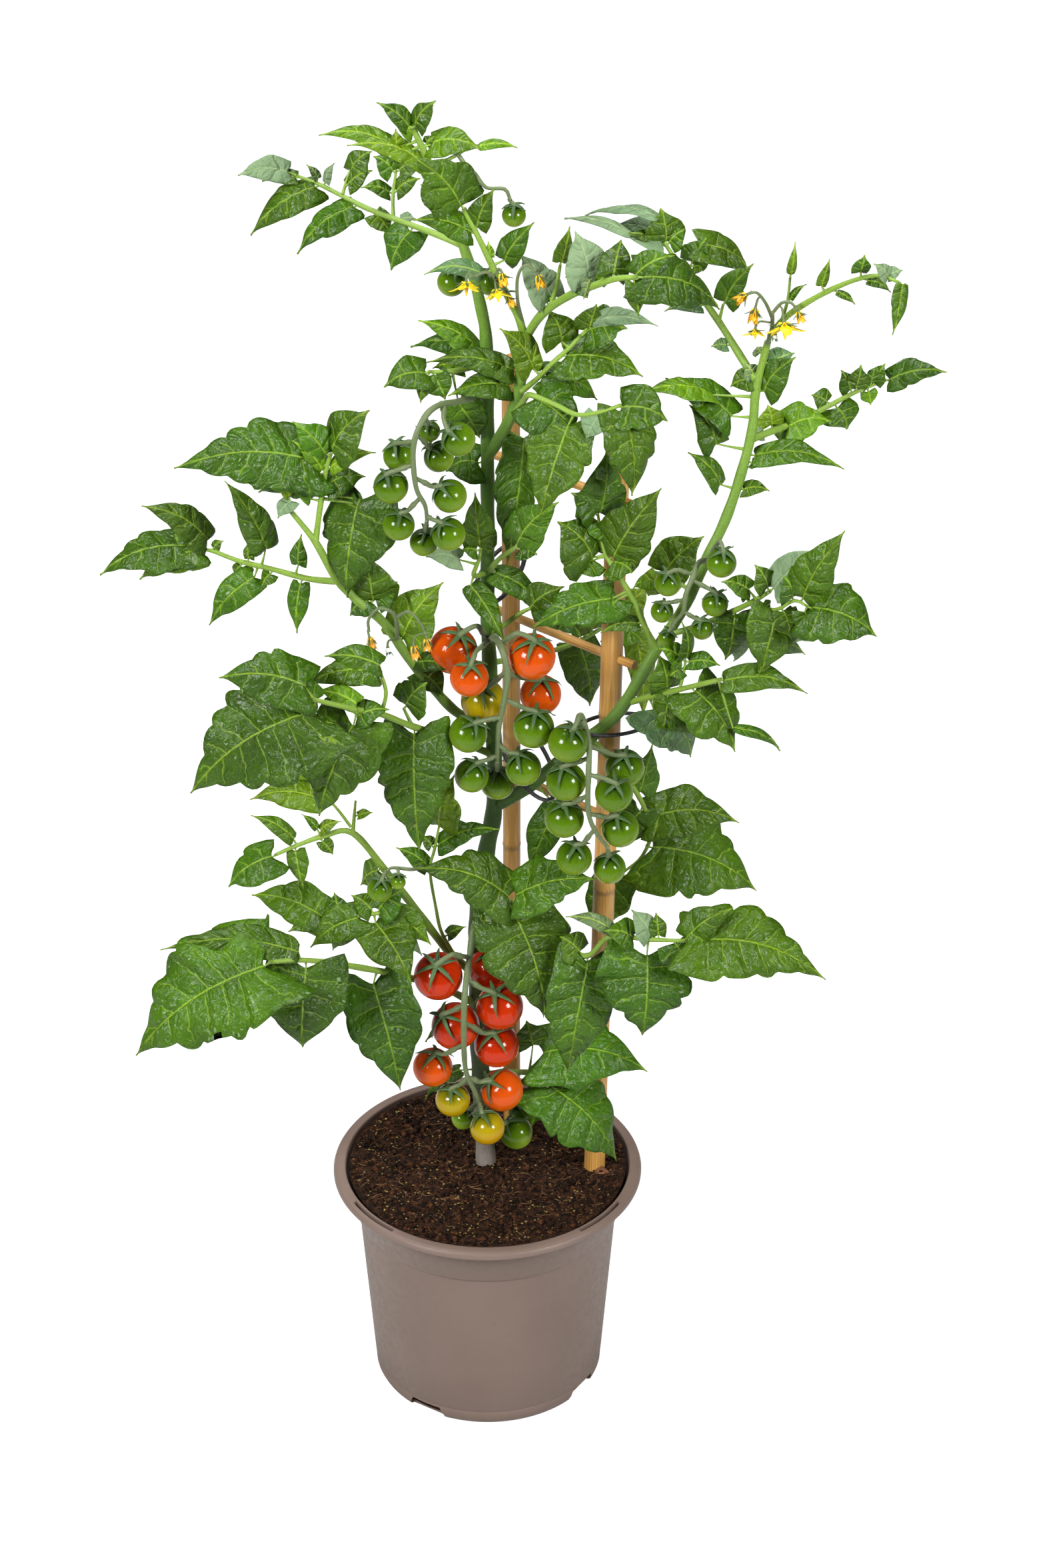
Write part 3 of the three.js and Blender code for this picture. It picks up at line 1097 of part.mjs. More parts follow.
// The soil fills the pot up to the rim, with plain holes for the stem and the canes.
function makeSoil() {
  const clear = POT.wall + GAP + 1.2;
  const rings = [
    soilRing(wallRadius(POT.floor) - clear, POT.floor + GAP, 0),
    soilRing(wallRadius(POT.bandHeight) - clear, POT.bandHeight + 3, 0),
  ];
  for (let ring = SOIL.rings; ring > 0; ring -= 1) {
    rings.push(soilRing((SOIL.radius * ring) / SOIL.rings, null, 0));
  }
  rings.push([new THREE.Vector3(0, 0, soilHeight(0, 0))]);
  const foot = routeOf(PLANT.stem_main.stalks[0].slice(0, 2));
  const stem = foot.map(({ point, radius }) => ({ point, radius: radius + GAP }));
  stem[0].point.z -= 2 * GAP;
  stem[1].point.z += SOIL.holeRise;
  const holes = [tube(stem, sidesFor(stem[0].radius)), caneRod(CANE_LEFT, GAP), caneRod(CANE_RIGHT, GAP)];
  return lofted(rings).subtract(fuse(holes));
}

// ---------- canes, rungs and ties ----------

// The middle of a cane at a height.
function caneAt({ foot, head }, z) {
  return foot.clone().lerp(head, (z - foot.z) / (head.z - foot.z));
}

function caneRod(cane, grow) {
  return rod(caneAt(cane, cane.foot.z - 2 * grow), cane.head, cane.radius + grow, 8);
}

function rungLine(height, grow) {
  const left = caneAt(CANE_LEFT, height);
  const right = caneAt(CANE_RIGHT, height);
  const along = right.clone().sub(left).normalize();
  left.addScaledVector(along, -RUNG.overhang * 0.7);
  right.addScaledVector(along, RUNG.overhang);
  return rod(left, right, RUNG.radius + grow, 6);
}

// A bamboo cane: a slim pole that swells at each joint, bored for the rungs.
function makeCane(cane) {
  const { foot, head, radius } = cane;
  const heights = [[foot.z, 0]];
  for (let z = foot.z + NODE_SPACING * 0.7; z < head.z - 10; z += NODE_SPACING) {
    heights.push([z - 3, -0.2], [z, 0.3]);
  }
  heights.push([head.z, -0.2]);
  const pole = tube(heights.map(([z, swell]) => ({ point: caneAt(cane, z), radius: radius + swell })), 8);
  return pole.subtract(fuse(RUNG.heights.map((height) => rungLine(height, GAP))));
}

// A soft tie: a closed loop of coated wire round a stem and its cane, wide enough to clear them both.
function makeTie({ from, to, halfWidth, height, tilt }) {
  const [start, end] = [new THREE.Vector2(...from), new THREE.Vector2(...to)];
  const along = end.clone().sub(start);
  const reach = along.length() / 2 + halfWidth;
  const middle = start.add(end).divideScalar(2);
  along.normalize();
  const rings = Array.from({ length: TIE.steps }, (_, i) => {
    const turn = (i / TIE.steps) * 2 * Math.PI;
    const [forth, aside] = [reach * Math.cos(turn), halfWidth * Math.sin(turn)];
    const point = new THREE.Vector3(
      middle.x + along.x * forth - along.y * aside,
      middle.y + along.y * forth + along.x * aside,
      height + tilt * Math.cos(turn),
    );
    const out = new THREE.Vector3(along.x * Math.cos(turn) / reach - along.y * Math.sin(turn) / halfWidth,
      along.y * Math.cos(turn) / reach + along.x * Math.sin(turn) / halfWidth, 0).normalize();
    return Array.from({ length: TIE.sides }, (__, j) => {
      const round = (j / TIE.sides) * 2 * Math.PI;
      const way = out.clone().multiplyScalar(Math.cos(round)).addScaledVector(UP, Math.sin(round));
      return point.clone().addScaledVector(way, TIE.radius);
    });
  });
  const faces = rings.flatMap((ring, k) => ring.flatMap((_, j) => {
    const next = ((k + 1) % TIE.steps) * TIE.sides;
    const beside = (j + 1) % TIE.sides;
    const here = k * TIE.sides;
    return [[here + j, next + j, here + beside], [here + beside, next + j, next + beside]];
  }));
  return closedMesh(rings.flat(), faces);
}

// ---------- keeping clear ----------

// How much further back the tip may go, for a leaf that would meet something.
const BENDS = [0, -5, 5, -10, 10, -16, 16, -24, 24, -32, 32];
const ROOTS_MEET = 6;                 // cubic millimetres that two leaflets may share at their roots

const placed = [];

function place(name, body, isBlade = false) {
  placed.push({ name, body, box: body.boundingBox(), isBlade });
}

function boxesMeet(a, b) {
  return a.min.every((low, i) => low < b.max[i] && b.min[i] < a.max[i]);
}

// How much a leaflet shares with what is placed already, apart from the stalks that it grows on.
function crossed(name, body) {
  const box = body.boundingBox();
  const near = placed.filter((other) => (other.name !== name || other.isBlade) && boxesMeet(box, other.box));
  return near.reduce((total, other) => {
    const shared = body.intersect(other.body).volume();
    return total + (other.name === name ? Math.max(0, shared - ROOTS_MEET) : shared);
  }, 0);
}

// The bend that takes a leaflet past its neighbours, or the one that comes closest to it.
function clearBend(name, stalks, row, seed) {
  let best = 0;
  let least = Infinity;
  for (const bend of BENDS) {
    const shared = crossed(name, leaflet(stalks, row, seed, bend, BLADE + 2 * GAP));
    if (shared < least) {
      best = bend;
      least = shared;
    }
    if (shared === 0) break;
  }
  return best;
}

// ---------- the plant ----------

const model = new THREE.Group();

function put(name, body, material) {
  const mesh = new THREE.Mesh(geometryOf(body), material);
  mesh.name = name;
  model.add(mesh);
}

// The node that a stem or compound leaf belongs to: its own, or the one that bears it.
function ownerOf(name) {
  const { from, fused } = PLANT[name];
  return fused ? ownerOf(from) : name;
}

// The stems of a node, thicker by the gap, to cut out of what they bear.
function bearing(name) {
  const members = Object.keys(PLANT).filter((member) => ownerOf(member) === name);
  return fuse(members.flatMap((member) => PLANT[member].stalks.map((stalk) => {
    const wide = routeOf(stalk).map(({ point, radius }) => ({ point, radius: radius + GAP }));
    return tube(wide, sidesFor(stalk[0][3]));
  })));
}

// What is left of a shoot, truss or spray outside the stem that bears it.
function trimmed(from, body) {
  return largest(from ? body.subtract(bearing(ownerOf(from))) : body);
}

// The biggest of the pieces that a cut leaves.
function largest(body) {
  return body.decompose().reduce((a, b) => (a.volume() >= b.volume() ? a : b));
}

function makeShoots() {
  const names = Object.keys(PLANT);
  const stems = {};
  names.forEach((name) => {
    const owner = ownerOf(name);
    const own = fuse(PLANT[name].stalks.map((stalk) => tube(routeOf(stalk), sidesFor(stalk[0][3]))));
    stems[owner] = stems[owner] ? stems[owner].add(own) : own;
  });
  Object.keys(stems).forEach((owner) => {
    stems[owner] = trimmed(PLANT[owner].from, stems[owner]);
    place(owner, stems[owner]);
  });
  names.forEach((name, i) => {
    const owner = ownerOf(name);
    const { stalks, leaves } = PLANT[name];
    const isLarge = largeIn(leaves);
    leaves.forEach((row, k) => {
      if (!isLarge(row)) return;
      const seed = 7919 * (i + 1) + 104729 * (k + 1);
      const body = leaflet(stalks, row, seed, clearBend(owner, stalks, row, seed), BLADE);
      place(owner, body, true);
      stems[owner] = stems[owner].add(body);
    });
  });
  Object.entries(stems).forEach(([owner, body]) => {
    put(owner, trimmed(PLANT[owner].from, body), MATERIALS.leaf);
  });
}

function putRigid(name, body, material) {
  put(name, body, material);
  place(name, body);
}

putRigid('pot', makePot(), MATERIALS.pot);
putRigid('soil', makeSoil(), MATERIALS.soil);
putRigid('cane_left', makeCane(CANE_LEFT), MATERIALS.bamboo);
putRigid('cane_right', makeCane(CANE_RIGHT), MATERIALS.bamboo);
RUNG.heights.forEach((height, i) => putRigid(`rung_${i + 1}`, rungLine(height, 0), MATERIALS.bamboo));
Object.entries(TIES).forEach(([name, tie]) => putRigid(name, makeTie(tie), MATERIALS.tie));

Object.entries(TRUSSES).forEach(([name, part], i) => {
  putRigid(name, trimmed(part.from, truss(part, i + 1)), MATERIALS.stem);
  part.fruit.forEach((row, k) => {
    const ripeness = row[4];
    if (ripeness === 0) return;
    putRigid(`${name.replace('truss', 'tomato')}${k + 1}`, berry(pose(row)), MATERIALS.fruit[ripeness]);
  });
});
Object.entries(SPRAYS).forEach(([name, part]) => {
  putRigid(name, trimmed(part.from, spray(part)), MATERIALS.flower);
});
makeShoots();

export default model;
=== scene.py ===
"""Looks of a cherry tomato plant in a nursery pot, tied to a ladder of bamboo canes.

Lengths are in millimetres until a mesh is made, and every mesh is in metres. Leafy shoots, trusses and
sprays follow the same listed places as the CAD part: (x, z) is a place in the plane y = 0 as seen
from EYE, and y says how far behind or before that plane the piece is.
"""
import math
import random

import bmesh
import bpy
import numpy as np
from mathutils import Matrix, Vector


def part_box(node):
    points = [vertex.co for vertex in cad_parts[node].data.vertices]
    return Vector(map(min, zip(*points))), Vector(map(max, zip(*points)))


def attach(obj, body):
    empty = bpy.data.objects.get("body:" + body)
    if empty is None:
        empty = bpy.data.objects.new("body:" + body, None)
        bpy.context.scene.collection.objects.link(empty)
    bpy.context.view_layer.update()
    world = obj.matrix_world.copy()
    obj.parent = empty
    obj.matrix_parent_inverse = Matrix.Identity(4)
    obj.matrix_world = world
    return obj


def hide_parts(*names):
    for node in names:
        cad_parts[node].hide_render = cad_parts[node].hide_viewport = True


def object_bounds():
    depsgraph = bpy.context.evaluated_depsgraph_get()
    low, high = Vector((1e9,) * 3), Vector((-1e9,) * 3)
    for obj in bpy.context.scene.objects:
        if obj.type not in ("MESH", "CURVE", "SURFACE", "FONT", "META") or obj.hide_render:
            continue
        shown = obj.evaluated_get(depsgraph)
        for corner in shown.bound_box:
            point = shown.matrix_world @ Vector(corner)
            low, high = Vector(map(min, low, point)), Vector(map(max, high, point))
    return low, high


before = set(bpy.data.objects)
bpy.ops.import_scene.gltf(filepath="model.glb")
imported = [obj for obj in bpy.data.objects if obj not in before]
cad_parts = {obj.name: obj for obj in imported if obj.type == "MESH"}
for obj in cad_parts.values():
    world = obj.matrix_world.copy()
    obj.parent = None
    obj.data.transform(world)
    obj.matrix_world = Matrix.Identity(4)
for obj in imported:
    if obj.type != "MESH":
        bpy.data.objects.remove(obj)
cad_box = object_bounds()
MM = 0.001

# ---------- camera, floor and light ----------

# EYE is where the CAD part's places are sighted from; the camera stands 0.4 mm to its left.
EYE = np.array([22.0, -2017.0, 1598.0])
CAMERA = {"place": (21.6, -2017.0, 1598.0), "pitch": 30.3, "lens": 91.99, "sensor": 36.0}
UP = np.array([0.0, 0.0, 1.0])
WORLD_LIGHT = 0.26
WORLD_GLOSS = 0.1
FLOOR_HALF = 6.0
FLOOR_DROP = -0.0004
FLOOR_GLOW = 0.8
LIGHT_TARGET = (0.0, 0.0, 0.35)
SOFTBOXES = {  # place, width, height, power
    "softbox_left": ((-1.45, -1.5, 1.75), 0.75, 0.85, 64),
    "softbox_right": ((1.5, -1.4, 1.55), 0.6, 0.75, 46),
    "softbox_top": ((-0.2, 0.5, 2.6), 1.1, 1.1, 44),
}

# ---------- driving sizes, the outer ones as in the CAD part ----------

POT_SIDES = 144
SHARP_EDGE = 32  # degrees; a bend of the pot that is sharper isn't shaded smooth
POT = {
    "height": 150, "rim": 95, "lip": 4, "mouth": 87.5, "band": 81, "band_height": 119, "base": 70.5,
    "edge": 4, "wall": 1.8, "floor": 2.4, "foot_ring": 9,
    "arches": 4, "arch_turn": -33, "arch_width": 25, "arch_height": 8.5,
    "slot_radius": 90.6, "slot_width": 2.2, "slot_arc": 0.42, "slots": (1.22, 1.78),
}
SOIL = {
    "level": 145.5, "mound": -5, "radius": 85.5,
    "crumbs": 5200, "specks": 900, "fibres": 420, "bark": (70, -8),
}
CANES = {
    "cane_left": {"foot": (15, 50, 30), "head": (15, 50, 668), "radius": 5.5},
    "cane_right": {"foot": (63.8, 0, 30), "head": (75.6, 0, 652), "radius": 6.6},
}
NODE_SPACING = 118
CANE_SIDES, CANE_STEP = 28, 9.0
RUNG_SIDES, RUNG_PLACES = 18, 14
RUNG = {"radius": 2.7, "heights": (397, 504, 604), "overhang": 17}
TIE_RADIUS = 1.4
TIES = {
    "tie_high": {"from": (1.9, 11), "to": (15, 50), "half": 11, "height": 541, "tilt": 5},
    "tie_middle": {"from": (33, -8), "to": (15, 50), "half": 12, "height": 425, "tilt": 5},
    "tie_right": {"from": (66, -12), "to": (84, 6), "half": 13, "height": 461, "tilt": -5},
}
# A leaflet's look: the bends tried for its tip, its thickness, how its columns stand across, where a tooth is
# highest, how far its midrib bows up and how much fuller it is than in the table.
# THICKER is for the truss stalks.
BEND_MISS = 0.6
BENDS = [0, -5, 5, -10, 10, -16, 16, -24, 24, -32, 32]
LEAF_THICKNESS = 0.45
ACROSS = (0.0, 0.07, 0.2, 0.36, 0.52, 0.68, 0.84, 1.0)
CREST = 0.55
ARCH_RISE = 0.11
FULLER = 1.12
THICKER = 1.1
CROWN_REACH = 0.9  # how far from a fruit's middle its crown may be seen, as a share of its radius
HAIR_RADIUS = 0.07
HAIRS_PER_MM = 0.9
HAIR_LENGTHS = {"stem": 1.5, "truss": 1.1, "fruit stalk": 0.9, "spray": 1.0, "flower": 0.8}
THIRDS = (0, 2.09, 4.19)  # the three turns round the foot of a hair
BERRY_ROWS, BERRY_COLUMNS = 22, 32
SPIN = 6.28  # a whole turn, as the draws of leaves, sepals and flowers use it
WHOLE_TURN = 6.283  # the same, as the soil's draws use it


def colour(code, alpha=1.0):
    """The linear colour of a #rrggbb code."""
    shares = [int(code[i:i + 2], 16) / 255 for i in (1, 3, 5)]
    return tuple(c / 12.92 if c <= 0.04045 else ((c + 0.055) / 1.055) ** 2.4 for c in shares) + (alpha,)


TONES = [  # colour, how deeply quilted, how folded
    ("#385a06", 1.5, 1.0), ("#395c02", 1.4, 0.8), ("#587c08", 0.9, 0.8), ("#55704a", 0.7, 1.0),
]
HAIR_TINT = colour("#cfd8bb")
TRUSS_TINT = colour("#62704a")
SEPAL_TINT = colour("#3e5c2e")
FRUIT_SKINS = [  # name, deep colour, light colour, colour at the crown, specks
    ("fruit_green", "#4c6c08", "#869e30", "#1c3c04", "#93b64e"),
    ("fruit_olive", "#9a8608", "#b88408", "#40560a", "#cda63a"),
    ("fruit_orange", "#c04806", "#d2600a", "#9c3400", "#f09040"),
    ("fruit_red", "#b02a02", "#c43e04", "#8c1a00", "#dc5a26"),
]
FLOWER_KINDS = [  # how far petals and sepals spread, petal colour and its tip's
    (1.15, 1.2, "#fbe526", "#f6d81c"), (0.35, 0.75, "#f6cc1c", "#efae18"), (0.2, 0.3, None, None),
    (0.3, 0.6, "#eab62c", "#d89424"),
]

# ---------- the plant's tables ----------

# Stalks are routes of x, z, y, radius. Leaflets are base x, z, tip x, z, how far the tip is behind the base,
# width, teeth a side, tone (0 dark, 1 green, 2 young, 3 grey) and roll.
# A fused leaf is one piece with its bearer.
PLANT = {
    "stem_main": {
        "stalks": [
            [[0, 106, 9, 6.2], [-1, 150, 9, 6], [-5, 250, 9, 5.6], [-5, 330, 9, 5.4], [0, 372, 9, 5.2],
                [5, 405, 9, 5], [5, 450, 9, 4.6], [2, 520, 10, 4.2], [2, 600, 12, 4], [2, 690, 14, 3.6],
                [-1, 720, 14, 3.2], [-10, 755, 16, 2.8], [-22, 785, 18, 2.4], [-30, 808, 18, 2],
                [-37, 824, 18, 1.4]],
            [[-28, 803, 18, 1.2], [-18, 806, 14, 1], [-8, 812, 12, 0.8], [-2, 814, 12, 0.7]],
        ],
        "leaves": [
            [-37, 823, -56, 838, 0, 10, 1, 1, 0], [-37, 823, -25, 839, -4, 12, 2, 0, 0],
            [-35, 818, -49, 830, 0, 9, 1, 2, 0], [-43, 809, -87, 820, 0, 12, 2, 2, 0],
            [-30, 802, -72, 814, -6, 12, 2, 2, 0], [-26, 815, -1, 812, -8, 15, 2, 2, 0],
            [-4, 813, 19, 813, 0, 5, 1, 2, 0], [-33, 812, -25, 819, 2, 6, 1, 0, 0],
            [-45, 812, -46, 823, 0, 8, 1, 2, 0], [-2, 692, -36, 712, -6, 13, 2, 2, 0],
            [-5, 694, -40, 697, 10, 13, 2, 0, 0], [-18, 775, -33, 792, 4, 9, 1, 3, 0],
            [1, 628, -21, 621, 4, 22, 2, 1, 0], [-12, 262, -37, 238, 4, 9, 1, 0, 0],
            [-16, 218, -38, 196, 2, 9, 1, 1, 0],
        ],
    },
    "leaf_far_left": {
        "from": "stem_main",
        "stalks": [
            [[-12, 757, 16, 2], [-25, 763, 24, 1.8], [-45, 771, 36, 1.6], [-62, 778, 46, 1.5],
                [-75, 785, 54, 1.3], [-88, 792, 62, 1.1], [-100, 797, 68, 0.8]],
            [[-48, 772, 38, 1.1], [-48, 785, 44, 1], [-46, 800, 50, 0.7]],
            [[-75, 786, 54, 1], [-72, 796, 60, 0.8], [-68, 806, 66, 0.7]],
        ],
        "leaves": [
            [-104, 799, -131, 797, -4, 13, 2, 3, 0], [-98, 795, -118, 793, 2, 8, 1, 0, 0],
            [-88, 795, -94, 803, 0, 5, 1, 3, 0], [-84, 793, -79, 804, 0, 5, 1, 3, 0],
            [-88, 790, -126, 763, -8, 17, 2, 1, 0], [-68, 778, -101, 752, -10, 15, 3, 1, 0],
            [-38, 766, -50, 742, -8, 19, 2, 0, 0], [-60, 776, -50, 763, -4, 12, 2, 0, 0],
            [-72, 798, -59, 811, 4, 14, 2, 0, 0], [-72, 790, -59, 800, 0, 10, 1, 1, 0],
            [-50, 787, -65, 790, -2, 8, 1, 1, 0], [-48, 787, -33, 795, 0, 9, 1, 1, 0],
            [-46, 798, -58, 808, 4, 12, 2, 0, 0], [-46, 799, -30, 806, 4, 11, 1, 1, 0],
            [-47, 771, -36, 772, -3, 6, 1, 3, 0],
        ],
    },
    "shoot_centre": {
        "from": "stem_main",
        "stalks": [
            [[2, 630, 12, 3.4], [9, 642, 6, 3.4], [17, 660, 0, 3.4], [21, 680, -3, 3.3], [23, 702, -5, 3]],
            [[23, 702, -5, 2.4], [19, 715, -8, 2.1], [12, 730, -9, 1.9], [6, 743, -9, 1.8],
                [-3, 763, -9, 1.6], [-10, 778, -9, 1.4]],
            [[23, 702, -5, 2.6], [32, 716, -14, 2.4], [45, 726, -26, 2.2], [58, 732, -38, 2],
                [72, 737, -50, 1.7], [84, 738, -58, 1.3]],
            [[37, 721, -18, 1.4], [40, 733, -16, 1.3], [42, 745, -14, 0.9]],
        ],
        "leaves": [
            [-10, 780, -37, 808, -6, 30, 3, 0, 0], [-2, 766, 7, 790, -4, 13, 2, 1, 0],
            [-5, 762, -38, 771, -6, 15, 2, 1, 0], [5, 747, 3, 759, 0, 5, 0, 2, 0],
            [12, 748, 28, 770, -4, 14, 2, 1, 0], [0, 740, -32, 740, 0, 9, 1, 3, 0],
            [42, 745, 47, 768, 0, 9, 1, 2, 0], [58, 737, 55, 725, -2, 6, 0, 3, 0],
            [60, 735, 80, 750, 0, 8, 1, 2, 0], [80, 740, 104, 751, 4, 14, 2, 1, 0],
            [87, 738, 129, 719, -8, 26, 3, 0, 0], [82, 737, 85, 715, -4, 10, 1, 1, 0],
            [38, 724, 20, 752, 14, 18, 2, 3, 0], [37, 719, 31, 733, 4, 10, 1, 0, 0],
            [58, 733, 50, 765, 16, 20, 2, 3, 0], [70, 737, 75, 760, 16, 16, 2, 0, 0],
            [60, 733, 45, 738, 16, 14, 2, 0, 0], [17, 682, -31, 688, -8, 15, 2, 0, 0],
            [14, 673, -20, 667, -8, 16, 2, 0, 0], [22, 642, 13, 562, -6, 23, 3, 0, 0],
        ],
    },
    "leaf_centre_right": {
        "from": "shoot_centre",
        "stalks": [
            [[21, 670, -5, 1.7], [30, 678, -10, 1.5], [38, 687, -12, 1.4], [46, 695, -13, 1.3],
                [54, 704, -13, 1]],
        ],
        "leaves": [
            [27, 684, 9, 708, -2, 17, 2, 2, 0], [27, 684, 29, 700, 0, 10, 1, 2, 0],
            [43, 700, 36, 719, -2, 20, 1, 1, 0], [45, 690, 88, 679, -8, 24, 3, 1, 0],
            [57, 706, 79, 708, -4, 22, 3, 1, 0], [58, 707, 62, 722, 0, 16, 2, 1, 0],
            [60, 712, 96, 709, 8, 10, 1, 3, 20], [32, 680, 63, 665, 8, 18, 3, 1, 0],
        ],
    },
    "leaf_centre_left": {
        "from": "stem_main",
        "fused": True,
        "stalks": [
            [[2, 688, 14, 1.8], [-8, 684, 4, 1.6], [-20, 682, -4, 1.4], [-30, 682, -8, 1]],
        ],
        "leaves": [
            [-31, 681, -55, 673, -6, 18, 2, 0, 0], [-8, 683, -28, 684, 4, 9, 2, 2, 0],
            [-28, 680, -21, 665, -4, 15, 2, 0, 0], [-30, 680, -35, 663, -2, 10, 1, 1, 0],
            [-14, 664, -2, 641, -6, 20, 2, 0, 0],
        ],
    },
    "leaf_front": {
        "from": "shoot_centre",
        "stalks": [
            [[17, 657, -1, 2], [22, 664, -14, 1.8], [26, 668, -24, 1.6], [40, 662, -30, 1.5],
                [52, 656, -34, 1.3], [66, 658, -34, 1.2], [76, 662, -32, 1]],
        ],
        "leaves": [
            [26, 668, 52, 642, -8, 30, 3, 0, 0], [47, 650, 31, 592, -8, 32, 3, 0, 0],
            [78, 657, 83, 606, -6, 28, 4, 0, 0], [74, 662, 102, 652, -2, 24, 3, 0, 0],
            [64, 660, 57, 641, -4, 14, 2, 3, 0],
        ],
    },
    "leaf_right_arch": {
        "from": "stem_right",
        "stalks": [
            [[150, 677, 0, 2.4], [142, 690, 10, 2.2], [130, 710, 24, 2], [120, 725, 34, 1.8],
                [108, 743, 44, 1.5], [99, 757, 50, 1]],
            [[108, 743, 44, 0.9], [113, 745, 44, 0.7]],
            [[129, 712, 24, 1], [131, 722, 22, 0.8]],
        ],
        "leaves": [
            [99, 757, 96, 778, 2, 22, 2, 1, 0], [99, 757, 109, 766, 0, 14, 2, 1, 0],
            [97, 760, 67, 766, 4, 16, 2, 3, 0], [95, 772, 55, 773, 6, 8, 1, 3, 30],
            [95, 758, 79, 764, 0, 8, 1, 1, 0], [80, 763, 44, 772, 8, 6, 1, 3, 30],
            [113, 745, 121, 761, -2, 16, 2, 1, 0], [112, 745, 121, 743, -2, 8, 1, 1, 0],
            [118, 757, 145, 741, 4, 18, 2, 0, 0], [131, 723, 147, 746, -4, 15, 2, 1, 0],
            [137, 698, 125, 697, 0, 7, 1, 3, 0], [122, 722, 99, 718, -4, 9, 1, 3, 0],
        ],
    },
    "shoot_right_top": {
        "from": "stem_right",
        "stalks": [
            [[157, 703, -2, 1.8], [164, 713, -8, 1.8], [175, 722, -16, 1.7], [190, 731, -26, 1.5],
                [204, 737, -36, 1.3], [216, 739, -44, 1], [226, 735, -50, 0.9]],
            [[163, 712, -8, 1], [166, 724, -6, 0.9], [167, 738, -4, 0.7]],
        ],
        "leaves": [
            [168, 738, 169, 759, 0, 5, 1, 2, 0], [166, 724, 176, 734, 0, 4, 0, 1, 0],
            [184, 733, 188, 749, 0, 6, 1, 2, 0], [205, 741, 207, 751, -2, 9, 1, 1, 0],
            [190, 731, 203, 722, -4, 4, 0, 0, 0], [207, 737, 222, 729, -4, 5, 0, 0, 0],
            [222, 737, 212, 746, 0, 8, 2, 3, 0], [218, 739, 228, 742, 0, 7, 1, 3, 0],
            [228, 734, 224, 704, -6, 8, 1, 1, 0],
        ],
    },
    "stem_right": {
        "from": "stem_main",
        "stalks": [
            [[8, 407, 8, 4.4], [20, 414, 2, 4.2], [32, 424, -6, 4], [52, 443, -14, 3.8],
                [75, 465, -18, 3.6], [88, 488, -18, 3.5], [99, 510, -16, 3.4], [113, 535, -14, 3.3],
                [125, 565, -12, 3.2], [136, 593, -8, 3], [144, 622, -4, 2.9], [149, 648, -1, 2.7],
                [150, 668, 0, 2.6], [152, 681, 0, 2.2], [156, 700, -2, 1.9]],
        ],
        "leaves": [
            [155, 670, 172, 691, -4, 18, 2, 1, 0], [158, 687, 171, 693, 6, 12, 2, 3, 0],
            [156, 690, 150, 697, 6, 8, 1, 3, 0], [148, 679, 136, 673, 4, 12, 2, 0, 0],
            [148, 676, 144, 687, 4, 9, 1, 3, 0], [137, 655, 100, 678, 6, 20, 2, 1, 0],
            [126, 668, 88, 670, 8, 12, 1, 2, 40], [129, 638, 114, 662, -2, 18, 2, 1, 0],
            [132, 613, 113, 633, -2, 12, 1, 1, 0], [139, 611, 160, 609, -2, 9, 1, 1, 0],
            [151, 631, 201, 622, -6, 14, 2, 1, 0], [148, 628, 154, 624, -2, 6, 1, 0, 0],
            [42, 404, 26, 356, -2, 18, 1, 1, 0],
        ],
    },
    "leaf_right_upper": {
        "from": "stem_right",
        "stalks": [
            [[147, 640, -2, 2.2], [160, 646, 10, 2], [175, 652, 24, 1.8], [192, 662, 38, 1.5],
                [206, 670, 48, 1.2], [222, 677, 56, 0.8]],
        ],
        "leaves": [
            [170, 655, 172, 631, -6, 20, 1, 0, 0], [158, 646, 147, 645, -2, 9, 1, 3, 0],
            [194, 663, 202, 647, -6, 22, 1, 0, 0], [165, 650, 193, 652, 4, 20, 3, 2, 0],
            [160, 647, 157, 662, 4, 14, 2, 2, 0], [222, 677, 255, 682, -4, 14, 3, 1, 0],
            [214, 674, 221, 687, 2, 10, 2, 1, 0], [203, 670, 197, 683, 2, 11, 1, 1, 0],
            [204, 671, 208, 686, 2, 12, 2, 1, 0], [213, 673, 215, 684, -2, 9, 1, 0, 0],
            [212, 672, 214, 662, -2, 9, 1, 2, 0], [192, 663, 181, 668, 2, 12, 2, 1, 0],
        ],
    },
    "leaf_right_mid": {
        "from": "stem_right",
        "stalks": [
            [[104, 518, -16, 2], [120, 523, -20, 1.8], [135, 530, -24, 1.7], [150, 538, -40, 1.6],
                [162, 546, -54, 1.2]],
            [[150, 538, -40, 1.3], [165, 534, -54, 1.2], [176, 540, -62, 1], [184, 536, -68, 0.8]],
        ],
        "leaves": [
            [181, 542, 203, 584, -2, 24, 2, 1, 0], [164, 548, 192, 572, 8, 18, 2, 3, 0],
            [184, 535, 224, 517, -6, 34, 3, 1, 0], [162, 548, 153, 563, 0, 12, 1, 0, 0],
            [175, 541, 169, 556, -2, 14, 1, 1, 0], [150, 538, 146, 547, 0, 6, 0, 1, 0],
            [167, 533, 158, 492, -8, 26, 2, 0, 0], [170, 533, 174, 520, -4, 12, 1, 0, 0],
            [182, 533, 186, 518, -3, 14, 1, 1, 0], [172, 520, 208, 521, 14, 14, 2, 3, 0],
            [158, 512, 183, 505, 12, 13, 2, 3, 0], [143, 533, 138, 501, -4, 20, 1, 0, 0],
            [155, 538, 162, 530, -2, 12, 1, 1, 0], [150, 547, 134, 552, 4, 11, 1, 1, 0],
            [147, 523, 143, 500, 8, 12, 1, 3, 0],
        ],
    },
    "leaf_right_low": {
        "from": "stem_right",
        "stalks": [
